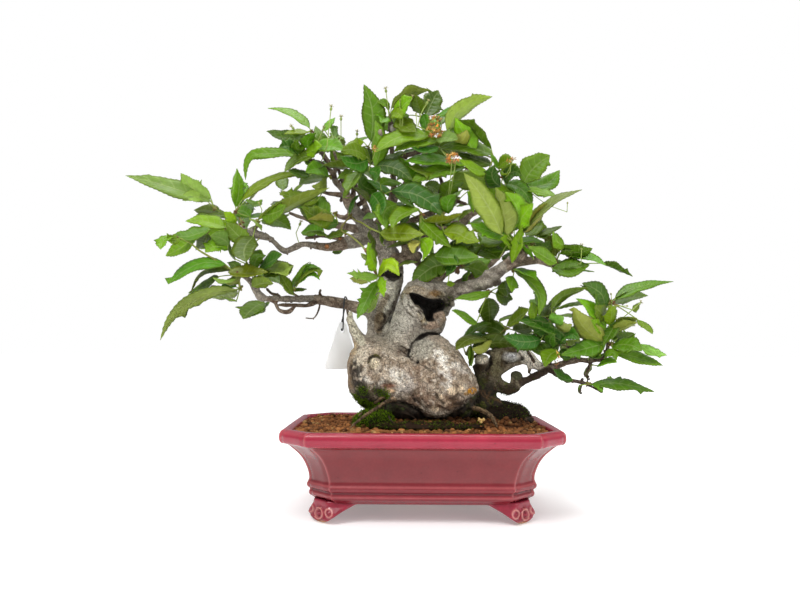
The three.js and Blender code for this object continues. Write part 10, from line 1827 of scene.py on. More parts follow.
    # which way is out
    mid = q[3 * (m - 1) + (m - 1) // 2]
    n_here = np.cross(v[mid[1]] - v[mid[0]], v[mid[3]] - v[mid[0]])
    if n_here @ up[m // 2] < 0:
        q = q[:, ::-1]
        tris = [f[::-1] for f in tris]
    shows_top = normal @ unit(EYE - c[m // 2]) > 0
    near_c, far_c, rough = KINDS[kind]
    top_c, low_c = (near_c, far_c) if shows_top else (far_c, near_c)
    if not shows_top and kind != "S":
        top_c = tuple(0.8 * k for k in near_c)
    jit = rng.normal(0, 0.055, 3) * np.array([1.2, 0.8, 1.4]) + rng.normal(0, 0.07)
    def paint(base, cols, is_top):
        base = srgb(np.clip(np.array(base) * (1 + jit), 4, 250))
        vv = np.broadcast_to(ts[:, None], cols.shape)
        out = np.broadcast_to(base, (*cols.shape, 3)).copy()
        yellow = srgb(168, 176, 60)
        f = 0.16 * smoothstep(0.75, 1.0, np.abs(cols)) + 0.10 * smoothstep(0.8, 1, vv)
        out = out * (1 - f[..., None]) + yellow * f[..., None]
        spot_ = vnoise(np.stack([cols * 9 + seed, vv * 26, vv * 0], -1), 3.0, seed % 97)
        return (out * (1 + 0.13 * spot_[..., None])).reshape(-1, 3)
    cols = np.broadcast_to(s, (m, 7))
    colour = np.concatenate([paint(top_c, cols, True), paint(low_c, cols[:, 1:6], False)])
    place = np.concatenate([
        np.stack([cols, np.broadcast_to(ts[:, None], (m, 7)), np.full((m, 7), 1.0)], -1).reshape(-1, 3),
        np.stack([cols[:, 1:6], np.broadcast_to(ts[:, None], (m, 5)), np.full((m, 5), 0.6)], -1).reshape(-1, 3),
    ])
    heap.add(v, tris, q, colour, place)
    heap.rough.append(rough)
    # petiole
    hub = np.asarray(hub, float)
    gap = np.linalg.norm(c[0] - hub)
    if gap > 1.2:
        bow = unit(rng.normal(0, 1, 3)) * gap * 0.05
        r0, r1 = (0.85, 0.6) if gap < 20 else (0.95, 0.6)
        pts_ = [[*hub, r0 * 1.25], [*(hub + (c[0] - hub) * 0.35 + bow), r0 * 0.8], [*(hub + (c[0] - hub) * 0.75 + bow * 0.6), r1], [*(c[0] + t[0] * 0.8), r1 * 0.95]]
        pv, pt, pq = tube(pts_, 6, 2.6)
        f = np.linspace(0, 1, len(pv))
        pc = lerp(np.tile(srgb(126, 96, 56) if rng.random() < 0.4 else srgb(132, 140, 62), (len(pv), 1)), np.tile(srgb(150, 172, 78), (len(pv), 1)), smoothstep(0.0, 0.6, f))
        heap.add(pv, pt, pq, pc)
    return c[0]


def leaf_material():
    m, t, out = material("leaf")
    b = t.nodes.new("ShaderNodeBsdfPrincipled")
    vec = objvec(t)
    tint = attribute(t, "tint")
    sep = t.nodes.new("ShaderNodeSeparateXYZ")
    t.links.new(attribute(t, "place", "Vector"), sep.inputs[0])
    across = math_node(t, "ABSOLUTE", sep.outputs[0])
    # midrib and the side veins that sweep forward from it
    rib = ramp(t, across, [(0.0, grey(1)), (0.035, grey(0.85)), (0.085, grey(0))])
    run = math_node(t, "SUBTRACT", math_node(t, "MULTIPLY", sep.outputs[1], 7.0), math_node(t, "MULTIPLY", across, 0.9))
    tri = math_node(t, "ABSOLUTE", math_node(t, "SUBTRACT", math_node(t, "FRACT", run), 0.5))
    side = ramp(t, tri, [(0.0, grey(0)), (0.40, grey(0)), (0.47, grey(0.55)), (0.5, grey(0.7))])
    edge = ramp(t, across, [(0.0, grey(1)), (0.75, grey(0.8)), (0.98, grey(0.1))])
    side = mix(t, 1.0, side, edge, "MULTIPLY")
    net = t.nodes.new("ShaderNodeTexVoronoi")
    net.feature = "DISTANCE_TO_EDGE"
    net.inputs["Scale"].default_value = 620
    t.links.new(vec, net.inputs["Vector"])
    netc = ramp(t, net.outputs["Distance"], [(0.0, grey(1.0)), (0.12, grey(0.0))])
    veins = mix(t, 1.0, rib, side, "SCREEN")
    is_leaf = math_node(t, "GREATER_THAN", sep.outputs[2], 0.3)
    amount = math_node(t, "MULTIPLY", veins, is_leaf, True)
    pale = mix(t, 0.46, tint, (0.52, 0.58, 0.25))
    c = mix(t, math_node(t, "MULTIPLY", amount, 0.52), tint, pale)
    c = mix(t, math_node(t, "MULTIPLY", netc, 0.10), c, pale)
    mott = ramp(t, noise(t, vec, 240, 3), [(0.25, grey(0.86)), (0.75, grey(1.12))])
    c = mix(t, 1.0, c, mott, "MULTIPLY")
    t.links.new(c, b.inputs["Base Color"])
    r = ramp(t, noise(t, vec, 160, 2), [(0.2, grey(0.30)), (0.8, grey(0.46))])
    t.links.new(r, b.inputs["Roughness"])
    b.inputs["Specular IOR Level"].default_value = 0.32
    h = math_node(t, "SUBTRACT", math_node(t, "MULTIPLY", noise(t, vec, 520, 2), 0.25), math_node(t, "MULTIPLY", amount, 0.8))
    h = math_node(t, "SUBTRACT", h, math_node(t, "MULTIPLY", netc, 0.12))
    t.links.new(bump(t, h, 0.5, 0.0005), b.inputs["Normal"])
    tr = t.nodes.new("ShaderNodeBsdfTranslucent")
    glow = mix(t, 1.0, c, (1.35, 1.45, 0.55), "MULTIPLY")
    t.links.new(glow, tr.inputs["Color"])
    mx = t.nodes.new("ShaderNodeMixShader")
    mx.inputs[0].default_value = 0.26
    t.links.new(b.outputs[0], mx.inputs[1])
    t.links.new(tr.outputs[0], mx.inputs[2])
    t.links.new(mx.outputs[0], out.inputs["Surface"])
    return m


LEAF = leaf_material()
for number, (name, rows) in enumerate(LEAVES.items()):
    h_ = Heap()
    h_.rough = []
    hubs = {}
    for k, row in enumerate(rows):
        leaf(h_, row, 1000 + number * 40 + k)
        hubs[tuple(row[0])] = hubs.get(tuple(row[0]), 0) + 1
    for st in SHOOTS.get(name, []):
        v, tri, quad = tube(st, 9, 2.0, 0.06, number)
        c = lerp(np.tile(srgb(112, 92, 52), (len(v), 1)), np.tile(srgb(142, 158, 66), (len(v), 1)), np.linspace(0.1, 1, len(v)))
        h_.add(v, tri, quad, c)
    # short bud scales and stipules round each hub
    rng = np.random.default_rng(5000 + number)
    for hub, count in hubs.items():
        hub = np.array(hub, float)
        if count < 2:
            continue
        for _ in range(4 + count // 2):
            d = unit(rng.normal(0, 1, 3))
            iv, it = ICO1
            size = rng.uniform(0.8, 1.7)
            w = iv * size + d * np.clip(iv @ d, 0, 1)[:, None] * size * 1.1
            c = srgb(120, 84, 48) if rng.random() < 0.6 else srgb(132, 128, 58)
            h_.add(hub + d * size * 0.9 + w, it, None, c * rng.uniform(0.7, 1.25))
    ob = h_.build("foliage_" + name[-2:], LEAF)
    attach(ob, "root")
    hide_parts(name)

# narrow leaves that stand up from a spur of the lower left limb
spur_y = dict(WOOD)["llow7"][-1][1]
for run, wd_, kind_ in (
    (((292.4, 291), (296, 284), (302, 274), (309, 266.4), (321, 268.5)), 9.5, "D"),
    (((292.4, 291), (295.6, 283), (299.5, 273.5), (304.5, 266), (310, 261.6)), 6.0, "B"),
    (((292.4, 291), (298, 284), (304.6, 276), (313, 273.6), (320, 280)), 7.0, "M"),
):
    p_ = [at_depth(a_, b_, spur_y + d_).tolist() for (a_, b_), d_ in zip(run[1:], (-1, -4, -7, -9))]
    INNER_LEAVES.append((at_depth(*run[0], spur_y).tolist(), p_, [0.25, -0.75, 0.6], wd_, kind_, [], []))

for number in range(0, len(INNER_LEAVES), 40):
    h_ = Heap()
    h_.rough = []
    for k, row in enumerate(INNER_LEAVES[number : number + 40]):
        leaf(h_, row, 9000 + number + k)
    ob = h_.build("foliage_inner_%02d" % (number // 40 + 1), LEAF)
    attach(ob, "root")


# ------------------------------------------------------- buds, spent flowers
def depth_near(px, py):
    """Depth of the foliage that shows nearest to a place in the frame."""
    best, where = 1e9, 0.0
    for rows in LEAVES.values():
        for row in rows:
            for p in [row[0], *row[1]]:
                if p[1] > 55:
                    continue
                x, y = pixel(np.array(p))
                d = math.hypot(x - px, y - py)
                if d < best:
                    best, where = d, p[1]
    return where


trim = Heap()
GREEN_, BROWN_, RUST_, CREAM_ = srgb(140, 158, 74), srgb(128, 84, 44), srgb(206, 132, 46), srgb(206, 196, 150)


ANCHORS = [row[0] for rows in LEAVES.values() for row in rows]
for name, st in WOOD:
    st = np.asarray(st, float)
    if not name.startswith("root") and st[:, 3].min() < 5:
        ANCHORS += catmull(st, max(4, int(np.linalg.norm(np.diff(st[:, :3], axis=0), axis=1).sum() / 3)))[:, :3].tolist()
ANCHORS = np.array(ANCHORS)


def tether(p, r=0.45, colour=GREEN_, least=1.0):
    """A thin stalk from the nearest twig or leaf base to p."""
    q = ANCHORS[np.argmin(np.linalg.norm(ANCHORS - p, axis=1))]
    gap = np.linalg.norm(p - q)
    if gap < least:
        return
    mid = (p + q) / 2 + np.array([0.0, 0, -0.08 * gap])
    v, tri, quad = tube([[*q, r * 1.3], [*mid, r], [*p, r]], 6, 2.4, 0.05, 7)
    trim.add(v, tri, quad, colour)


def stalk(points, y, r=0.55, colour=GREEN_):
    pts_ = [[*at_depth(px, py, y), r] for px, py in points]
    tether(np.array(pts_[0][:3]), r, colour)
    v, tri, quad = tube(pts_, 6, 2.2, 0.05, 3)
    trim.add(v, tri, quad, colour)
    return np.array(pts_[-1][:3]), unit(np.array(pts_[-1][:3]) - np.array(pts_[-2][:3]))


def pod(p, d, long, fat, colour, seed=0):
    iv, it = ICO2
    side = unit(np.cross(d, [0.3, 1, 0.2]))
    up = np.cross(side, d)
    w = iv[:, 0:1] * side * fat + iv[:, 1:2] * up * fat + iv[:, 2:3] * d * long
    w *= (1 + 0.08 * vnoise(iv * 7, 4, seed + 1))[:, None]
    trim.add(p + w, it, None, colour * (0.9 + 0.2 * vnoise(p + w, 2.2, seed))[:, None])


def sepals(p, d, size, colour, count=5, seed=0):
    rng = np.random.default_rng(seed)
    side = unit(np.cross(d, [0.3, 1, 0.2]))
    up = np.cross(side, d)
    for k in range(count):
        a = 2 * math.pi * (k + 0.3 * rng.random()) / count
        o = side * math.cos(a) + up * math.sin(a)
        n_ = np.cross(d, o)
        tip = p + (d * rng.uniform(0.35, 0.9) + o) * size
        m_ = p + (d * 0.75 + o * 0.35) * size * 0.5
        v = np.array([p - n_ * 0.3, p + n_ * 0.3, m_ + n_ * size * 0.22, tip, m_ - n_ * size * 0.22])
        v = np.concatenate([v, v - d * 0.22])
        tri = [[0, 1, 2], [0, 2, 4], [4, 2, 3], [5, 7, 6], [5, 9, 7], [9, 8, 7]]
        q = [[0, 5, 6, 1], [1, 6, 7, 2], [2, 7, 8, 3], [3, 8, 9, 4], [4, 9, 5, 0]]
        trim.add(v, tri, q, colour * rng.uniform(0.8, 1.15))


def threads(p, d, count, long, colour, seed):
    rng = np.random.default_rng(seed)
    for _ in range(count):
        o = unit(d * 1.1 + rng.normal(0, 0.42, 3))
        l_ = long * rng.uniform(0.7, 1.1)
        v, tri, quad = tube([[*p, 0.16], [*(p + o * l_ * 0.5 + rng.normal(0, 0.2, 3)), 0.14], [*(p + o * l_), 0.16]], 4, 2.5)
        trim.add(v, tri, quad, colour)
        pod(p + o * l_, o, 0.5, 0.36, colour * 0.8, 1)


for n_, (stem_, kind_) in enumerate([
    ([(389, 117), (386, 91)], "calyx"), ([(357, 146), (357, 134)], "calyx"), ([(327, 146), (331, 109)], "calyx"),
    ([(341, 138), (341, 119)], "calyx"), ([(297, 133), (293, 128)], "calyx"), ([(402, 126), (404, 112), (411, 99)], "calyx"),
    ([(400, 126), (400, 112), (400, 100)], "bare"), ([(418, 126), (421, 114), (427, 103)], "calyx"), ([(417, 126), (416, 114)], "bare"),
    ([(567, 212), (567.5, 203)], "bare"), ([(581, 263), (581.5, 248)], "calyx"), ([(618, 322), (631, 311), (639, 304)], "calyx"),
    ([(612, 306), (627, 306)], "bare"), ([(612, 303), (611, 294)], "bare"), ([(510, 172), (511, 163)], "thread"),
    ([(318, 141), (323, 130)], "calyx"), ([(452, 172), (455, 163)], "bare"), ([(296, 233), (300, 224)], "calyx"), ([(262, 210), (259, 203)], "bare"),
]):
    y_ = depth_near(*stem_[0]) - 3
    p_, d_ = stalk(stem_, y_, 0.5 if kind_ != "bare" else 0.42)
    if kind_ == "calyx":
        pod(p_, d_, 2.2, 1.45, GREEN_ * 0.9, n_)
        sepals(p_ + d_ * 1.9, d_, 3.0, srgb(152, 150, 84), 5, n_)
        threads(p_ + d_ * 2.0, d_, 5, 3.0, CREAM_ * 0.9, n_)
    elif kind_ == "thread":
        pod(p_, d_, 1.8, 1.3, GREEN_, n_)
        threads(p_, d_, 12, 6.0, CREAM_, n_)
    else:
        pod(p_, d_, 1.3, 0.9, srgb(150, 150, 80), n_)

# spent flowers: small crumpled rust-brown tufts
rng = np.random.default_rng(77)
# a spent flower that fell on the soil by the root
for _ in range(16):
    iv, it = ICO1
    place_ = at_depth(rng.uniform(478.5, 485), rng.uniform(418.6, 422.4), -40)
    trim.add(place_ + iv * rng.uniform(0.5, 1.5, 3), it, None, srgb(222, 184, 112) * rng.uniform(0.7, 1.2))
for (x0, y0, x1, y1), count in (((429, 116, 440, 126), 34), ((427, 124, 442, 137), 44), ((446, 153, 459, 163), 34), ((372, 146, 380, 152), 5), ((556, 352, 560, 368), 9), ((508, 158, 516, 164), 4)):
    y_ = depth_near((x0 + x1) / 2, (y0 + y1) / 2) - (9 if count > 20 else 4)
    for _ in range(4 if count > 20 else 1):
        tether(at_depth(rng.uniform(x0 + 2, x1 - 2), rng.uniform(y0 + 2, y1 - 2), y_), 0.5)
    for _ in range(count):
        p_ = at_depth(rng.uniform(x0, x1), rng.uniform(y0, y1), y_ + rng.uniform(-4, 4))
        d_ = unit(rng.normal(0, 1, 3))
        if rng.random() < 0.55:
            sepals(p_, d_, rng.uniform(1.6, 3.4), (RUST_ if rng.random() < 0.6 else srgb(224, 176, 92)) * rng.uniform(0.7, 1.25), 4, int(rng.integers(1e6)))
        else:
            pod(p_, d_, rng.uniform(0.8, 1.5), rng.uniform(0.5, 0.9), BROWN_ * rng.uniform(0.7, 1.5), int(rng.integers(1e6)))
        if rng.random() < 0.3:
            threads(p_, d_, 3, 4.0, srgb(170, 130, 60), int(rng.integers(1e6)))
for (px, py, long, fat, c_) in [(457, 270, 4.6, 2.6, srgb(122, 88, 58)), (393, 128, 4.4, 3.6, srgb(176, 170, 158)), (380, 132, 3.2, 2.2, srgb(140, 126, 110)),
                                (582, 380, 2.6, 1.6, srgb(70, 58, 40)), (580, 391, 2.2, 1.4, srgb(70, 58, 40)), (588, 377, 2.0, 1.3, srgb(86, 62, 40)),
                                (366, 250, 2.6, 1.8, srgb(130, 90, 60)), (345, 232, 2.4, 1.7, srgb(150, 96, 60))]:
    y_ = depth_near(px, py) - 2
    tether(at_depth(px, py, y_), 0.8, c_ * 0.8)
    pod(at_depth(px, py, y_), unit([0.3, -0.4, 0.9]), long, fat, c_, 5)
    pod(at_depth(px + 1.2, py + 2.2, y_ + 1), unit([-0.3, -0.2, -0.9]), long * 0.6, fat * 0.7, c_ * 0.7, 6)


def trim_material():
    m, t, out = material("bud")
    b = principled(t, out)
    vec = objvec(t)
    f = noise(t, vec, 700, 3)
    c = mix(t, 1.0, attribute(t, "tint"), ramp(t, f, [(0.2, grey(0.75)), (0.8, grey(1.2))]), "MULTIPLY")
    t.links.new(c, b.inputs["Base Color"])
    b.inputs["Roughness"].default_value = 0.6
    t.links.new(bump(t, f, 0.4, 0.0004), b.inputs["Normal"])
    return m


BUD = trim_material()
ob = trim.build("spent_flowers_and_buds", BUD)
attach(ob, "root")

branches = heap.build("branches", BARK)
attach(branches, "root")
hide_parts("tree")


# ------------------------------------------------------------------------ pot
def dense_profile(rows, per=6):
    r = np.asarray(rows, float)
    n_ = (len(r) - 1) * per + 1
    return catmull(np.column_stack([r[:, 0], r[:, 1], r[:, 2], np.zeros(len(r))]), n_)[:, :3]


SIDE_D = np.array([0, 0.7, 1.5, 2.6, 4.2, 8.0])
CUT_S = np.array([0.0, 0.03, 0.075, 0.13, 0.2, 0.3, 0.42, 0.5, 0.58, 0.7, 0.8, 0.87, 0.925, 0.97])


def section(hx, hy, c, notch=1.0):
    """Points round the pot at one level, with how near each is to an upright ridge."""
    corners = [(-(hx - c), -hy), (hx - c, -hy), (hx, -(hy - c)), (hx, hy - c), (hx - c, hy), (-(hx - c), hy), (-hx, hy - c), (-hx, -(hy - c))]
    pts_, near_ = [], []
    for k in range(8):
        a, b = np.array(corners[k]), np.array(corners[(k + 1) % 8])
        long = np.linalg.norm(b - a)
        t = (b - a) / long
        inward = np.array([-t[1], t[0]])
        if k % 2 == 0:
            d = np.concatenate([SIDE_D, np.linspace(8, long - 8, 11)[1:-1], long - SIDE_D[::-1]])[:-1]
            inset = 0.75 * np.exp(-((np.minimum(d, long - d) / 1.1) ** 2))
            # the long faces swell very slightly
            inset -= 0.5 * np.sin(math.pi * np.clip(d / long, 0, 1)) * notch
        else:
            d = CUT_S * long
            e = np.minimum(d, long - d)
            inset = 0.75 * np.exp(-((e / 1.1) ** 2)) + notch * (1.7 * np.exp(-(((e - 2.6) / 1.9) ** 2)) + 1.0 * np.sin(math.pi * d / long))
        pts_.append(a + t * d[:, None] + inward * inset[:, None])
        near_.append(np.minimum(d, long - d))
    return np.concatenate(pts_), np.concatenate(near_)


OUT = dense_profile(OUTER, 4)
INN = dense_profile(INNER, 3)
V, C = [], []
WALL_C, RIM_C, BAND_C, RIDGE_C = srgb(119, 37, 41), srgb(150, 32, 55), srgb(119, 27, 38), srgb(186, 94, 96)
for k, (h_x, z, c_) in enumerate(np.vstack([OUT, INN])):
    inner = k >= len(OUT)
    p2, e = section(h_x, h_x - POT_DEPTH_LESS, c_, 0.5 if inner else 1.0)
    V.append(np.column_stack([p2, np.full(len(p2), z)]))
    base = WALL_C + (RIM_C - WALL_C) * smoothstep(76.5, 80, z)
    base = base + (BAND_C - base) * (1 - smoothstep(38.5, 43, z))
    line = 0.0
    if not inner:
        # lighter lines round the pot; those at 89.6 on the rim's top and at 37.4 on the band's bead are painted
        # highlight
        for z0, w0, a0 in ((78.3, 0.7, 0.35), (89.6, 1.2, 0.28), (37.4, 1.1, 0.6), (27.2, 1.2, 0.42), (33.6, 0.8, 0.2)):
            line = max(line, a0 * math.exp(-(((z - z0) / w0) ** 2)))
        # painted shade in the groove of the band (30.6) and under the rim (76.0)
        groove_shade = 0.45 * math.exp(-(((z - 30.6) / 1.1) ** 2)) + 0.25 * math.exp(-(((z - 76.0) / 1.1) ** 2))
        base = base * (1 - groove_shade)
    ridge_ = 0.62 * np.exp(-((e / 1.5) ** 2))
    f = np.clip(np.maximum(ridge_, line), 0, 0.8)[:, None]
    C.append(base * (1 - f) + RIDGE_C * f)
n_ = len(V[0])
rings = len(V)
V, C = np.concatenate(V), np.concatenate(C)
a = np.arange(rings - 1)[:, None] * n_
j = np.arange(n_)[None]
quads = np.stack([a + j, a + (j + 1) % n_, a + n_ + (j + 1) % n_, a + n_ + j], -1).reshape(-1, 4)
# floor and base, both pierced by the two drain holes
from mathutils.geometry import tessellate_polygon

circle = np.column_stack([np.cos(np.arange(32) * math.pi / 16), np.sin(np.arange(32) * math.pi / 16)]) * DRAIN_R
tris = []
for ring0, z, up_ in ((0, BASE_Z, False), ((rings - 1) * n_, FLOOR_Z, True)):
    loops = [[Vector((*V[ring0 + q][:2], 0)) for q in range(n_)]]
    ids = [ring0 + q for q in range(n_)]
    for s_ in (-1, 1):
        first = len(V)
        V = np.vstack([V, np.column_stack([circle + [s_ * DRAIN_X, 0], np.full(32, z)])])
        C = np.vstack([C, np.tile(srgb(150, 96, 74), (32, 1))])
        loops.append([Vector((*p, 0)) for p in V[first : first + 32, :2]][::-1])
        ids += list(range(first, first + 32))[::-1]
    for tri in tessellate_polygon(loops):
        t3 = [ids[q] for q in tri]
        nz = np.cross(V[t3[1]] - V[t3[0]], V[t3[2]] - V[t3[0]])[2]
        if (nz > 0) != up_:
            t3 = t3[::-1]
        tris.append(t3)
first = len(V) - 128
for s_ in (0, 1):
    lo_, hi_ = first + 32 * s_, first + 64 + 32 * s_
    for q in range(32):
        r_ = (q + 1) % 32
        quads = np.vstack([quads, [[lo_ + q, hi_ + q, hi_ + r_, lo_ + r_]]])
pot = Heap()
pot.v, pot.c, pot.e, pot.n = [V], [C], [np.zeros_like(V)], len(V)
pot.q, pot.t = [quads], [np.array(tris)]


def polygon_distance(x, y, poly):
    p = np.asarray(poly, float)
    d = np.full(x.shape, 1e9)
    inside = np.zeros(x.shape, bool)
    for a_, b_ in zip(p, np.roll(p, -1, axis=0)):
        ab = b_ - a_
        t = np.clip(((x - a_[0]) * ab[0] + (y - a_[1]) * ab[1]) / (ab @ ab), 0, 1)
        d = np.minimum(d, np.hypot(x - a_[0] - t * ab[0], y - a_[1] - t * ab[1]))
        cross = (a_[1] > y) != (b_[1] > y)
        with np.errstate(divide="ignore", invalid="ignore"):
            xi = a_[0] + (y - a_[1]) * ab[0] / ab[1]
        inside ^= cross & (x < xi)
    return np.where(inside, -d, d)


def smax(a_, b_, k):
    h = np.maximum(k - np.abs(a_ - b_), 0) / k
    return np.maximum(a_, b_) + h * h * k * 0.25


FOOT = [(107, 26), (110.2, 16.4), (113.4, 11.4), (116.0, 7.0), (114.9, 2.8), (110.6, -0.6), (99, -0.6), (95.6, 0.8), (88.4, 6.0), (78.6, 12.0), (71.5, 15.6), (66, 18.6), (58, 19.6), (58, 26)]
fs = 0.75
gx, gy, gz = (np.arange(a_, b_, fs) for a_, b_ in ((54, 122, ), (14, 82), (-3, 25)))
X, Y, Z = np.meshgrid(gx, gy, gz, indexing="ij")
d = smax(polygon_distance(X, Z, FOOT), polygon_distance(Y + 40, Z, FOOT), 3.0)
d_out = smax(smax(X - 116.0, Y - 76.0, 3), (X + Y - 165.0) / math.sqrt(2), 4)
d_in = smax(smax(X - 96.5, Y - 56.5, 2), (X + Y - 137) / math.sqrt(2), 2)
# the outer face leans in towards the base, and carries two curls either side of the corner
d_out = d_out + 0.11 * np.clip(Z - 7, 0, 20) + 0.03 * np.clip(5 - Z, 0, 6) ** 2
for u_, keep in ((X, Y > 60), (Y + 40, X > 100)):
    for cx, cz, big in ((103.8, 9.2, 5.2), (91.8, 11.4, 3.7)):
        rho = np.hypot(u_ - cx, Z - cz)
        relief = 1.0 * np.exp(-(((rho - big) / 1.05) ** 2)) + 1.2 * np.exp(-((rho / (0.4 * big)) ** 2)) - 0.9 * np.exp(-(((rho - 0.6 * big) / 0.8) ** 2)) - 0.7 * np.exp(-(((rho - big - 2.0) / 1.0) ** 2))
        d_out = d_out - np.where(keep, relief, 0)
d = smax(smax(d, d_out, 2.0), -d_in, 2.0)
d = np.maximum(d, Z - 21.6)
d = np.maximum(d, -Z + 0.02)
g = openvdb.FloatGrid()
g.copyFromArray(d.astype(np.float32))
fv, fq = g.convertToQuads(isovalue=0.0)
fv = np.asarray(fv, float) * fs + np.array([gx[0], gy[0], gz[0]])
fq = np.asarray(fq, np.int64)
fv[:, 2] = np.maximum(fv[:, 2], 0.0)
if (np.cross(fv[fq[:, 2]] - fv[fq[:, 0]], fv[fq[:, 3]] - fv[fq[:, 1]]) * (fv[fq[:, 0]] - fv.mean(0))).sum() < 0:
    fq = fq[:, ::-1]
foot_c = np.tile(srgb(146, 40, 58), (len(fv), 1))
foot_c = foot_c * (0.9 + 0.18 * vnoise(fv, 5, 31))[:, None]
# painted highlight round the raised curls on the feet
curl_highlight = np.zeros(len(fv))
for u_, keep in ((fv[:, 0], fv[:, 1] > 60), (fv[:, 1] + 40, fv[:, 0] > 100)):
    for cx, cz, big in ((103.8, 9.2, 5.2), (91.8, 11.4, 3.7)):
        rho = np.hypot(u_ - cx, fv[:, 2] - cz)
        curl_highlight = np.maximum(curl_highlight, np.where(keep, np.exp(-(((rho - big) / 0.8) ** 2)), 0))
foot_c = lerp(foot_c, np.tile(srgb(218, 150, 140), (len(fv), 1)), curl_highlight * 0.65)
foot_c = lerp(foot_c, np.tile(srgb(176, 132, 72), (len(fv), 1)), (1 - smoothstep(0.8, 3.4, fv[:, 2] + 1.2 * vnoise(fv, 6, 33))) * 0.9)
for sx in (-1, 1):
    for sy in (-1, 1):
        v = fv * np.array([sx, sy, 1])
        pot.add(v, None, fq if sx * sy > 0 else fq[:, ::-1], foot_c)


def glaze_material():
    m, t, out = material("crimson_glaze")
    b = principled(t, out)
    vec = objvec(t)
    tint = attribute(t, "tint")
    f1, f2, f3 = noise(t, vec, 42, 4, 0.6), noise(t, vec, 420, 4, 0.6), noise(t, vec, 9, 2)
    c = mix(t, 1.0, tint, ramp(t, f1, [(0.25, (0.86, 0.84, 0.85)), (0.75, (1.1, 1.14, 1.12))]), "MULTIPLY")
    c = mix(t, 1.0, c, ramp(t, f2, [(0.3, grey(0.93)), (0.7, grey(1.06))]), "MULTIPLY")
    c = mix(t, 1.0, c, ramp(t, f3, [(0.3, grey(0.94)), (0.7, grey(1.06))]), "MULTIPLY")
    # pinholes
    vo = t.nodes.new("ShaderNodeTexVoronoi")
    vo.inputs["Scale"].default_value = 85
    t.links.new(vec, vo.inputs["Vector"])
    hole = ramp(t, vo.outputs["Distance"], [(0.0, grey(0.25)), (0.035, grey(0.35)), (0.055, grey(1.0))])
    c = mix(t, 1.0, c, hole, "MULTIPLY")
    t.links.new(c, b.inputs["Base Color"])
    t.links.new(ramp(t, f1, [(0.2, grey(0.17)), (0.8, grey(0.27))]), b.inputs["Roughness"])
    b.inputs["Specular IOR Level"].default_value = 0.4
    b.inputs["Coat Weight"].default_value = 0.14
    b.inputs["Coat Roughness"].default_value = 0.06
    t.links.new(bump(t, math_node(t, "ADD", f3, math_node(t, "MULTIPLY", f1, 0.25)), 0.25, 0.0012), b.inputs["Normal"])
    return m


GLAZE = glaze_material()
pot_ob = pot.build("glazed_pot", GLAZE)
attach(pot_ob, "root")
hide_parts("pot")


# ------------------------------------------------------------------- the soil
def inner_at(z):
    i = np.array(INNER)[::-1]
    return np.interp(z, i[:, 1], i[:, 0]), np.interp(z, i[:, 1], i[:, 2])


def inside_pot(x, y, z=88.0, less=2.0):
    h, c = inner_at(z)
    h, k = h - less, c + h * 0
    hy = h - POT_DEPTH_LESS
    return (np.abs(x) < h) & (np.abs(y) < hy) & (np.abs(x) + np.abs(y) < h + hy - c)


def dome(x, y, c, r):
    q = 1 - ((x - c[0]) / r[0]) ** 2 - ((y - c[1]) / r[1]) ** 2
    return c[2] + r[2] * np.sqrt(np.clip(q, 0, 1)) * (q > 0) - 100 * (q <= 0)


def soil_height(x, y):
    z = np.full(np.shape(x), 87.6)
    z = np.maximum(z, dome(x, y, (8, 2, 85), (104, 66, 9.5)))
    z = np.maximum(z, dome(x, y, (86, 14, 85), (40, 44, 13)))
    p = np.stack([x, y, np.zeros(np.shape(x))], -1)
    return z + 1.1 * vnoise(p, 14, 41) + 0.5 * vnoise(p, 5, 42)


rings_n, around = 44, 120
h_, c_ = inner_at(87.6)
poly, _ = section(h_ - 0.9, h_ - 0.9 - POT_DEPTH_LESS, c_, 0.5)
d_ = np.concatenate([[0], np.cumsum(np.linalg.norm(np.diff(np.vstack([poly, poly[:1]]), axis=0), axis=1))])
ss = np.linspace(0, d_[-1], around + 1)[:-1]
edge = np.column_stack([np.interp(ss, d_, np.append(poly[:, k], poly[0, k])) for k in (0, 1)])
V = []
for k in range(1, rings_n + 1):
    q = edge * (k / rings_n) ** 0.9
    V.append(np.column_stack([q, soil_height(q[:, 0], q[:, 1])]))
for z in (80.0, 66.0, 50.0, 41.6):
    h2, c2 = inner_at(z)
    V.append(np.column_stack([edge * ((h2 - 0.9) / (h_ - 0.9)), np.full(around, z)]))
V = np.concatenate(V)
total = rings_n + 4
a = np.arange(total - 1)[:, None] * around
j = np.arange(around)[None]
quads = np.stack([a + j, a + around + j, a + around + (j + 1) % around, a + (j + 1) % around], -1).reshape(-1, 4)
top_i, low_i = len(V), len(V) + 1
V = np.vstack([V, [[0, 0, float(soil_height(np.array(0.0), np.array(0.0)))], [0, 0, 41.6]]])
tris = [[top_i, q, (q + 1) % around] for q in range(around)] + [[low_i, (total - 1) * around + (q + 1) % around, (total - 1) * around + q] for q in range(around)]
C = np.tile(srgb(92, 60, 40), (len(V), 1)) * (0.8 + 0.35 * vnoise(V, 6, 43))[:, None]


def soil_material():
    m, t, out = material("fired_clay_soil")
    b = principled(t, out)
    vec = objvec(t)
    f1, f2 = noise(t, vec, 1300, 3, 0.6), noise(t, vec, 420, 3)
    c = mix(t, 1.0, attribute(t, "tint"), ramp(t, f1, [(0.2, grey(0.6)), (0.5, grey(1.0)), (0.85, grey(1.35))]), "MULTIPLY")
    c = mix(t, 1.0, c, ramp(t, f2, [(0.3, grey(0.8)), (0.7, grey(1.12))]), "MULTIPLY")
    t.links.new(c, b.inputs["Base Color"])
    t.links.new(ramp(t, f2, [(0.2, grey(0.86)), (0.8, grey(1.0))]), b.inputs["Roughness"])
    b.inputs["Specular IOR Level"].default_value = 0.15
    t.links.new(bump(t, f1, 0.7, 0.0007), b.inputs["Normal"])
    return m


SOIL = soil_material()
ob = new_object("soil_body", V, [quads, np.array(tris)], SOIL, C)
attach(ob, "root")
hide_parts("soil")

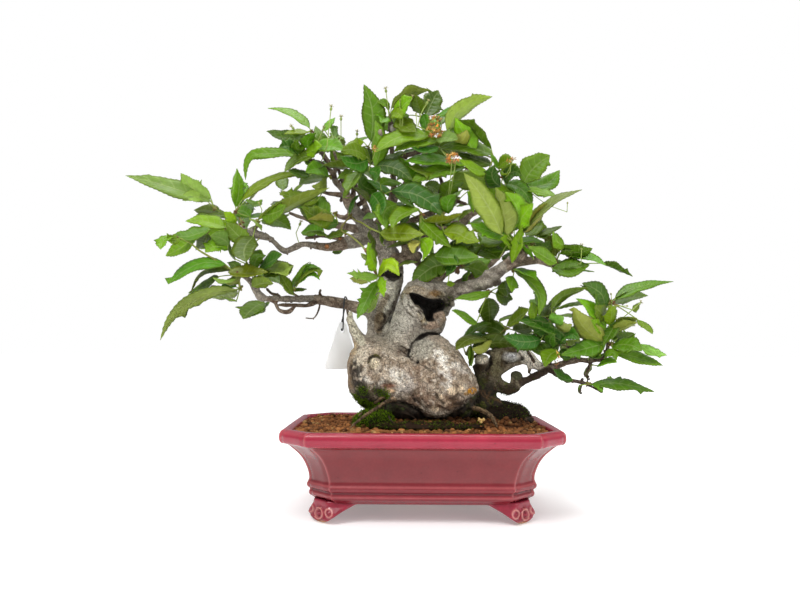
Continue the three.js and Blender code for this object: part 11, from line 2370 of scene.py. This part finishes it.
# granules
rng = np.random.default_rng(9)
grains = Heap()
n_ = 9800
x = rng.uniform(-132, 132, n_)
y = rng.uniform(-92, 92, n_)
z = soil_height(x, y)
r = np.clip(rng.lognormal(math.log(1.95), 0.26, n_), 1.1, 3.6)
ok = inside_pot(x, y, 88, r + 0.6)
wv = wood.value(np.clip(np.stack([x, y, z], -1), LO + 1, HI - 1))
ok &= wv > 0.4 * r
x, y, z, r = x[ok], y[ok], z[ok], r[ok]
# thin the pile where grains would sit in each other
order = rng.permutation(len(x))
cells, kept = {}, []
for i in order:
    key = (int(x[i] // 4), int(y[i] // 4))
    crowd = [q for dx in (-1, 0, 1) for dy in (-1, 0, 1) for q in cells.get((key[0] + dx, key[1] + dy), [])]
    lift = 0.0
    close = sum(1 for q in crowd if math.hypot(x[i] - x[q], y[i] - y[q]) < 0.78 * (r[i] + r[q]))
    if close > 1:
        continue
    if close == 1:
        lift = 0.75 * r[i]
    z[i] += lift
    cells.setdefault(key, []).append(i)
    kept.append(i)
dark = np.stack([x, y, z], -1)
for i in kept:
    iv, it = ICO1 if y[i] < -12 else ICO0
    p = np.array([x[i], y[i], z[i] + 0.25 * r[i]])
    s_ = int(rng.integers(1, 9999))
    w = iv * (1 + 0.22 * vnoise(iv * 3.1, 2.0, s_))[:, None] * r[i] * np.array([rng.uniform(0.85, 1.2), rng.uniform(0.85, 1.2), rng.uniform(0.7, 0.95)])
    k = rng.random()
    c = srgb(128, 82, 48) if k < 0.55 else (srgb(158, 104, 60) if k < 0.8 else (srgb(94, 60, 38) if k < 0.94 else srgb(176, 136, 86)))
    m_ = 1.0
    if 55 < x[i] < 135 and y[i] > -38:
        m_ = 0.5
    elif math.hypot(x[i] / 78, (y[i] + 8) / 52) < 1:
        m_ = 0.55
    grains.add(p + w, it, None, c * rng.uniform(0.75, 1.2) * m_)
ob = grains.build("soil_granules", SOIL)
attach(ob, "root")


# -------------------------------------------------------------------- the moss
def moss_material():
    m, t, out = material("moss")
    b = principled(t, out)
    vec = objvec(t)
    f = noise(t, vec, 800, 3)
    c = mix(t, 1.0, attribute(t, "tint"), ramp(t, f, [(0.2, grey(0.6)), (0.8, grey(1.35))]), "MULTIPLY")
    t.links.new(c, b.inputs["Base Color"])
    b.inputs["Roughness"].default_value = 0.9
    b.inputs["Specular IOR Level"].default_value = 0.1
    t.links.new(bump(t, f, 0.6, 0.0006), b.inputs["Normal"])
    return m


MOSS_M = moss_material()


def tufts(h, points, normals, size, light, seed, dark_share=0.3, brown=0.0):
    rng = np.random.default_rng(seed)
    for p, n_ in zip(points, normals):
        for _ in range(3):
            d = unit(n_ + rng.normal(0, 0.55, 3) + np.array([0, 0, 0.25]))
            o = p + rng.normal(0, 0.9, 3) - n_ * 0.3
            l_ = size * rng.uniform(0.5, 1.15)
            u = unit(np.cross(d, rng.normal(0, 1, 3)))
            w = np.cross(d, u)
            b_ = rng.uniform(0.28, 0.5)
            v = np.array([o + u * b_, o + (-0.5 * u + 0.87 * w) * b_, o + (-0.5 * u - 0.87 * w) * b_, o + d * l_])
            c = srgb(104, 136, 18) * rng.uniform(0.7, 1.35) if rng.random() > dark_share else srgb(52, 72, 12) * rng.uniform(0.6, 1.2)
            if rng.random() < brown:
                c = srgb(72, 54, 36) * rng.uniform(0.35, 1.2)
            c = c * light
            h.add(v, [[0, 2, 1], [0, 1, 3], [1, 2, 3], [2, 0, 3]], None, np.array([c * 0.45, c * 0.45, c * 0.45, c * 1.15]))


def pad(name, node_, c, r, count, light, seed, under=(30, 34, 12), dark_share=0.3, keep=None, size=2.6, brown=0.0):
    h = Heap()
    v, f = ball(4)
    c, r = np.array(c, float), np.array(r, float)
    p = c + v * r
    nz = unit(v / r)
    p = p + nz * (1.6 * vnoise(p, 8, seed) + 0.8 * vnoise(p, 3.4, seed + 1))[:, None] - nz * 1.2
    p[:, 2] = np.maximum(p[:, 2], 84.0)
    if keep is not None:
        pass
    h.add(p, f, None, np.tile(srgb(*under), (len(p), 1)) * (0.75 + 0.5 * vnoise(p, 3, seed + 2))[:, None])
    rng = np.random.default_rng(seed)
    pick = rng.choice(len(p), min(count, len(p)), replace=False)
    q = p[pick]
    ok = (q[:, 2] > soil_height(q[:, 0], q[:, 1]) - 1.5) & (wood.value(np.clip(q, LO + 1, HI - 1)) > -1.0)
    if keep is not None:
        ok &= keep(q)
    ok &= near(q, ROOT_1 + [0, -1.5, 1.5], 4.2, 0.6) < 0.5
    tufts(h, q[ok], nz[pick][ok], size, light, seed + 5, dark_share, brown)
    ob = h.build(name, MOSS_M)
    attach(ob, "root")
    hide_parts(node_)


pad("moss_cushion_left", "moss_left", [-50, -20, 93], [22.5, 23.5, 15.5], 2400, 1.15, 51, dark_share=0.3, brown=0.08)
pad("moss_cushion_front", "moss_front", [6, -44, 93], [60, 18.0, 5.2], 2400, 0.95, 61, under=(50, 36, 24), dark_share=0.5, size=2.0, brown=0.62,
    keep=lambda q: vnoise(q, 9, 66) > -0.5)
pad("moss_cushion_mound", "moss_mound", [88, 18, 96], [36, 31, 18.5], 2400, 0.8, 71, under=(34, 26, 19), dark_share=0.6, size=2.0, brown=0.72,
    keep=lambda q: vnoise(q, 10, 76) > -0.5)

# moss that climbs the wood, and a few tufts in the soil
h = Heap()
zones = [(S(364, 396), 13, 0.95), (S(372, 406), 13, 0.95), (S(381, 413), 12, 0.8), (S(358, 404), 9, 0.95), (S(392, 419), 10, 0.5), (S(408, 421), 10, 0.5), (S(425, 424), 12, 0.5), (S(443, 424), 12, 0.45), (S(458, 418), 10, 0.45), (S(470, 412), 9, 0.4)]
rng = np.random.default_rng(81)
prob = np.zeros(len(tv))
for c, rad, k in zones:
    prob = np.maximum(prob, k * (1 - smoothstep(rad * 0.45, rad, np.linalg.norm(tv - c, axis=1))))
prob = np.maximum(prob, 0.5 * own * (VY > 372) * (vnoise(tv, 8, 82) > 0.05))
prob = np.maximum(prob, 0.55 * mark(447, 301, 7, 6))
prob = prob * (1 - on_root)
prob *= smoothstep(-0.45, 0.3, vnoise(tv, 6, 83)) * (tv[:, 2] > 88)
pick = np.nonzero(rng.random(len(tv)) < prob * 0.42)[0]
tufts(h, tv[pick], nrm[pick], 2.2, 0.85, 84, 0.45, 0.25)
left_ = np.maximum(stroke([(360, 392), (368, 396), (376, 394), (383, 396)], 5, 5), stroke([(362, 404), (372, 406)], 8, 5)) * main_
pick = np.nonzero(rng.random(len(tv)) < left_ * (1 - on_root) * smoothstep(-0.5, 0.1, vnoise(tv, 6, 83)) * 0.8)[0]
tufts(h, tv[pick], nrm[pick], 2.2, 1.2, 85, 0.25)
sx_ = rng.uniform(-120, 120, 420)
sy_ = rng.uniform(-80, 70, 420)
q = np.stack([sx_, sy_, soil_height(sx_, sy_) + 1.2], -1)
ok = inside_pot(sx_, sy_, 88, 4) & (vnoise(q, 16, 85) > 0.25) & (np.hypot(sx_ / 92, sy_ / 60) < 1) & (wood.value(np.clip(q, LO + 1, HI - 1)) > 1)
tufts(h, q[ok], np.tile([0, 0, 1.0], (ok.sum(), 1)), 2.0, 0.8, 86, 0.4)
ob = h.build("moss_on_bark", MOSS_M)
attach(ob, "root")

# fine surface roots and a fallen dry leaf on the soil
roots = Heap()
ROOTLETS = [[(384, 396.5), (375, 402.5), (365, 410.0), (359, 415.5)], [(390, 408), (388, 413.5), (391, 420.5), (395, 424.5)], [(477, 408), (487, 412), (493, 417), (496, 424)],
            [(396, 404), (405, 407), (411, 413)], [(402, 412), (412, 416), (418, 422)], [(446, 421), (456, 420), (464, 424)], [(384, 402), (393, 402), (401, 405)]]
for k, line_ in enumerate(ROOTLETS):
    r0 = [2.3, 1.3, 2.1, 1.2, 1.2, 1.0, 1.4][k]
    q = []
    for i, (px, py) in enumerate(line_):
        s_ = S(px, py)
        d_ = ray(px, py)
        # on the wood if the ray meets it, or else on the soil
        t_ = (90.5 - EYE[2]) / d_[2]
        g_ = EYE + d_ * t_
        zz = float(soil_height(np.array(g_[0]), np.array(g_[1])))
        g_ = EYE + d_ * ((zz + 1.0 - EYE[2]) / d_[2])
        p = s_ if abs(wood.value(s_)) < 2 and s_[1] < g_[1] else g_
        q.append([*p, r0 * (1 - 0.22 * i)])
    v, tri, quad = tube(q, 9, 2.0, 0.14, 90 + k)
    c = np.tile(srgb(126, 104, 76) if k in (0, 2) else srgb(66, 54, 42), (len(v), 1)) * (0.85 + 0.3 * vnoise(v, 3, 91))[:, None]
    roots.add(v, tri, quad, c)
p = EYE + ray(482, 422) * ((91.0 - EYE[2]) / ray(482, 422)[2])
for k in range(5):
    d_ = unit(np.array([math.cos(k * 1.3), math.sin(k * 1.3), 0.5]))
    v, tri, quad = tube([[*p, 0.9], [*(p + d_ * 3), 1.2], [*(p + d_ * 5 + np.array([0, 0, 0.8])), 0.4]], 6, 1.5, 0.2, k)
    roots.add(v, tri, quad, srgb(206, 168, 96) * (0.9 + 0.1 * k / 5))
ob = roots.build("surface_roots", BARK)
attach(ob, "root")
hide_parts("tree")


# ----------------------------------------------------------- tag and its cord
def quad_curve(a_, b_, c_, n=7):
    t = np.linspace(0, 1, n)[:, None]
    return (1 - t) ** 2 * np.array(a_) + 2 * (1 - t) * t * np.array(b_) + t * t * np.array(c_)


shape = np.vstack([
    [[-5.2, 6.6]], quad_curve((-22.3, -35.9), (-24.4, -43.2), (-18.4, -43.4)), quad_curve((18.4, -43.4), (24.4, -43.2), (22.3, -35.9)), [[5.2, 6.6]],
    quad_curve((4.6, 8.0), (3.4, 9.2), (0.0, 9.2), 5), quad_curve((-0.1, 9.2), (-3.4, 9.2), (-4.6, 8.0), 5)])
hole = np.column_stack([np.cos(np.arange(24) * math.pi / 12), np.sin(np.arange(24) * math.pi / 12)]) * 2.5
yaw = math.radians(TAG_YAW)
U_, N_ = np.array([math.cos(yaw), math.sin(yaw), 0]), np.array([math.sin(yaw), -math.cos(yaw), 0])


def shrink(poly, by):
    e = np.roll(poly, -1, axis=0) - poly
    t = unit(e)
    n_ = np.column_stack([-t[:, 1], t[:, 0]])
    m_ = unit(n_ + np.roll(n_, 1, axis=0))
    return poly + m_ * by


area = 0.5 * np.sum(shape[:, 0] * np.roll(shape[:, 1], -1) - np.roll(shape[:, 0], -1) * shape[:, 1])
if area < 0:
    shape = shape[::-1]
layers = []
for off, w in ((0.12, -0.45), (0.0, -0.32), (0.0, 0.32), (0.12, 0.45)):
    layers.append((shrink(shape, off), w))
V, quads, tris = [], [], []
k_ = len(shape)
bow = lambda p2: 0.0004 * (p2[:, 0] ** 2)
for poly, w in layers:
    V.append(poly[:, :1] * U_ + poly[:, 1:] * np.array([0, 0, 1.0]) + N_ * w)
for poly, w in ((hole * 1.06, -0.45), (hole, -0.3), (hole, 0.3), (hole * 1.06, 0.45)):
    V.append(poly[:, :1] * U_ + poly[:, 1:] * np.array([0, 0, 1.0]) + N_ * w)
V = np.concatenate(V) + np.array(TAG_HOLE)
for l_ in range(3):
    for q in range(k_):
        r_ = (q + 1) % k_
        quads.append([l_ * k_ + q, l_ * k_ + r_, (l_ + 1) * k_ + r_, (l_ + 1) * k_ + q])
base_ = 4 * k_
for l_ in range(3):
    for q in range(24):
        r_ = (q + 1) % 24
        quads.append([base_ + l_ * 24 + r_, base_ + l_ * 24 + q, base_ + (l_ + 1) * 24 + q, base_ + (l_ + 1) * 24 + r_])
for side_ in (0, 3):
    loops = [[Vector((*p, 0)) for p in layers[side_][0]], [Vector((*p, 0)) for p in (hole * 1.06)][::-1]]
    ids = [side_ * k_ + q for q in range(k_)] + [base_ + side_ * 24 + q for q in range(24)][::-1]
    for tri in tessellate_polygon(loops):
        t3 = [ids[q] for q in tri]
        n3 = np.cross(V[t3[1]] - V[t3[0]], V[t3[2]] - V[t3[0]]) @ N_
        if (n3 > 0) != (side_ == 3):
            t3 = t3[::-1]
        tris.append(t3)
quads, tris = np.array(quads), np.array(tris)
q0 = quads[k_]
if np.cross(V[q0[1]] - V[q0[0]], V[q0[3]] - V[q0[0]]) @ (V[q0[0]] - V[:base_].mean(0)) < 0:
    quads = quads[:, ::-1]


def tag_material():
    m, t, out = material("white_plastic")
    b = principled(t, out)
    # the white plastic glows faintly: painted light that brightens the tag
    b.inputs["Emission Color"].default_value = (1.0, 1.0, 0.98, 1)
    b.inputs["Emission Strength"].default_value = 0.13
    vec = objvec(t)
    f = noise(t, vec, 90, 3)
    t.links.new(ramp(t, f, [(0.2, (0.90, 0.92, 0.92)), (0.8, (0.95, 0.96, 0.96))]), b.inputs["Base Color"])
    t.links.new(ramp(t, noise(t, vec, 500, 2), [(0.2, grey(0.30)), (0.8, grey(0.42))]), b.inputs["Roughness"])
    t.links.new(bump(t, f, 0.15, 0.0006), b.inputs["Normal"])
    return m


tag = new_object("blank_tag", V, [quads, tris], tag_material(), smooth=False)
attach(tag, "root")
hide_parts("label_tag")

cord_mm = catmull([[*(np.array(p) + np.array(CORD_AT)), 0.8] for p in CORD_PATH], 36)[:, :3]
cu = bpy.data.curves.new("tag_cord", "CURVE")
cu.dimensions = "3D"
cu.bevel_depth, cu.bevel_resolution, cu.use_fill_caps = 0.0008, 4, True
sp = cu.splines.new("POLY")
sp.points.add(len(cord_mm) - 1)
for pt_, q in zip(sp.points, metres(cord_mm)):
    pt_.co = (*q, 1)
cord_ob = bpy.data.objects.new("tag_cord", cu)
bpy.context.scene.collection.objects.link(cord_ob)


def cord_material():
    m, t, out = material("black_cord")
    b = principled(t, out)
    vec = objvec(t)
    w = t.nodes.new("ShaderNodeTexWave")
    w.wave_type, w.bands_direction = "BANDS", "DIAGONAL"
    w.inputs["Scale"].default_value = 420
    w.inputs["Distortion"].default_value = 1.5
    t.links.new(vec, w.inputs["Vector"])
    t.links.new(ramp(t, w.outputs["Fac"], [(0.2, grey(0.010)), (0.8, grey(0.035))]), b.inputs["Base Color"])
    t.links.new(ramp(t, noise(t, vec, 900, 2), [(0.2, grey(0.5)), (0.8, grey(0.75))]), b.inputs["Roughness"])
    t.links.new(bump(t, w.outputs["Fac"], 0.6, 0.0003), b.inputs["Normal"])
    return m


CORD_M = cord_material()
cu.materials.append(CORD_M)
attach(cord_ob, "root")
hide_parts("tag_loop")
knot = Heap()
ends = (cord_mm[0] + cord_mm[-1]) / 2
for k in range(3):
    a_ = np.linspace(0, 2 * math.pi, 13)[:-1]
    ax = unit(np.random.default_rng(k + 3).normal(0, 1, 3))
    u = unit(np.cross(ax, [0.2, 1, 0.1]))
    w = np.cross(ax, u)
    loop = ends + (np.cos(a_)[:, None] * u + np.sin(a_)[:, None] * w) * 1.15
    pts_ = np.column_stack([np.vstack([loop, loop[:1]]), np.full(13, 0.62)])
    v, tri, quad = tube(pts_, 7, 0.8)
    knot.add(v, tri, quad)
knot_ob = knot.build("cord_knot", CORD_M)
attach(knot_ob, "root")


# --------------------------------------- what stays as the CAD made it, inside
def plain(name, colour, lo_r, hi_r, scale, strength=0.4, metal=0.0, spread=0.25):
    m, t, out = material(name)
    b = principled(t, out)
    vec = objvec(t)
    f = noise(t, vec, scale, 3)
    c0, c1 = tuple(colour * (1 - spread)), tuple(np.clip(colour * (1 + spread), 0, 1))
    t.links.new(ramp(t, f, [(0.2, c0), (0.8, c1)]), b.inputs["Base Color"])
    t.links.new(ramp(t, f, [(0.2, grey(lo_r)), (0.8, grey(hi_r))]), b.inputs["Roughness"])
    b.inputs["Metallic"].default_value = metal
    t.links.new(bump(t, f, strength, 0.0006), b.inputs["Normal"])
    return m


NET = plain("black_net", srgb(44, 46, 48), 0.55, 0.75, 300, 0.2)
WIRE = plain("bonsai_wire", srgb(150, 152, 156), 0.3, 0.45, 500, 0.1, 1.0, 0.1)
GRIT = plain("grit", srgb(150, 132, 104), 0.85, 1.0, 260, 1.0)
for n_, m_ in (("drain_mesh_left", NET), ("drain_mesh_right", NET), ("mesh_wire_left", WIRE), ("mesh_wire_right", WIRE), ("drainage_layer", GRIT)):
    ob = frame["nodes"][n_]
    ob = ob if hasattr(ob, "material_slots") else bpy.data.objects[n_]
    for s_ in ob.material_slots:
        s_.material = m_

# --------------------------------------------------------------- stage, lights
m, t, out = material("pale_floor")
b = principled(t, out)
vec = objvec(t)
f = noise(t, vec, 3.0, 2)
t.links.new(ramp(t, f, [(0.2, grey(0.90)), (0.8, grey(0.93))]), b.inputs["Base Color"])
b.inputs["Roughness"].default_value = 0.95
b.inputs["Specular IOR Level"].default_value = 0.1
# the floor gives off light of its own, more of it a metre or two out
far = t.nodes.new("ShaderNodeVectorMath")
far.operation = "LENGTH"
t.links.new(vec, far.inputs[0])
lift = ramp(t, math_node(t, "MULTIPLY", far.outputs["Value"], 0.25), [(0.0, grey(0.24)), (0.09, grey(0.25)), (0.22, grey(0.42)), (0.5, grey(0.62)), (1.0, grey(0.7))])
t.links.new(lift, b.inputs["Emission Color"])
b.inputs["Emission Strength"].default_value = 1.0
me = bpy.data.meshes.new("floor")
ring = [(9 * math.cos(a_), 9 * math.sin(a_), -0.0002) for a_ in np.linspace(0, 2 * math.pi, 65)[:-1]]
me.from_pydata(ring, [], [list(range(64))])
floor = bpy.data.objects.new("floor", me)
me.materials.append(m)
bpy.context.scene.collection.objects.link(floor)

world = bpy.data.worlds.new("studio")
bpy.context.scene.world = world
world.use_nodes = True
wt = world.node_tree
wt.nodes.clear()
wo = wt.nodes.new("ShaderNodeOutputWorld")
bg = wt.nodes.new("ShaderNodeBackground")
tc = wt.nodes.new("ShaderNodeTexCoord")
sz = wt.nodes.new("ShaderNodeSeparateXYZ")
wt.links.new(tc.outputs["Generated"], sz.inputs[0])
# the studio walls are white where they are seen, and give less light than the softboxes
wr = ramp(wt, sz.outputs[2], [(0.0, grey(0.36)), (0.3, grey(0.42)), (0.6, grey(0.56)), (1.0, grey(0.62))])
lp = wt.nodes.new("ShaderNodeLightPath")
wm = mix(wt, lp.outputs["Is Camera Ray"], wr, grey(1.0))
wt.links.new(wm, bg.inputs["Color"])
bg.inputs["Strength"].default_value = 1.0
wt.links.new(bg.outputs[0], wo.inputs[0])


def softbox(name, at, to, size, watts, tint_=(1, 1, 1)):
    l_ = bpy.data.lights.new(name, "AREA")
    l_.shape, l_.size, l_.size_y = "RECTANGLE", size[0], size[1]
    l_.energy, l_.color = watts, tint_
    o = bpy.data.objects.new(name, l_)
    o.location = at
    o.rotation_euler = (Vector(to) - Vector(at)).to_track_quat("-Z", "Y").to_euler()
    bpy.context.scene.collection.objects.link(o)


softbox("key", (-0.75, -1.25, 1.7), (0, -0.05, 0.22), (0.9, 0.9), 28)
softbox("fill", (1.25, -1.1, 0.95), (0, -0.03, 0.22), (0.9, 1.0), 9.5)
softbox("top", (0.1, 0.2, 1.9), (0, 0, 0.2), (1.1, 0.9), 17)

sc = bpy.context.scene
sc.view_settings.view_transform = "Standard"
sc.view_settings.look = "None"
sc.view_settings.exposure = 0.0
sc.view_settings.gamma = 1.0

import json
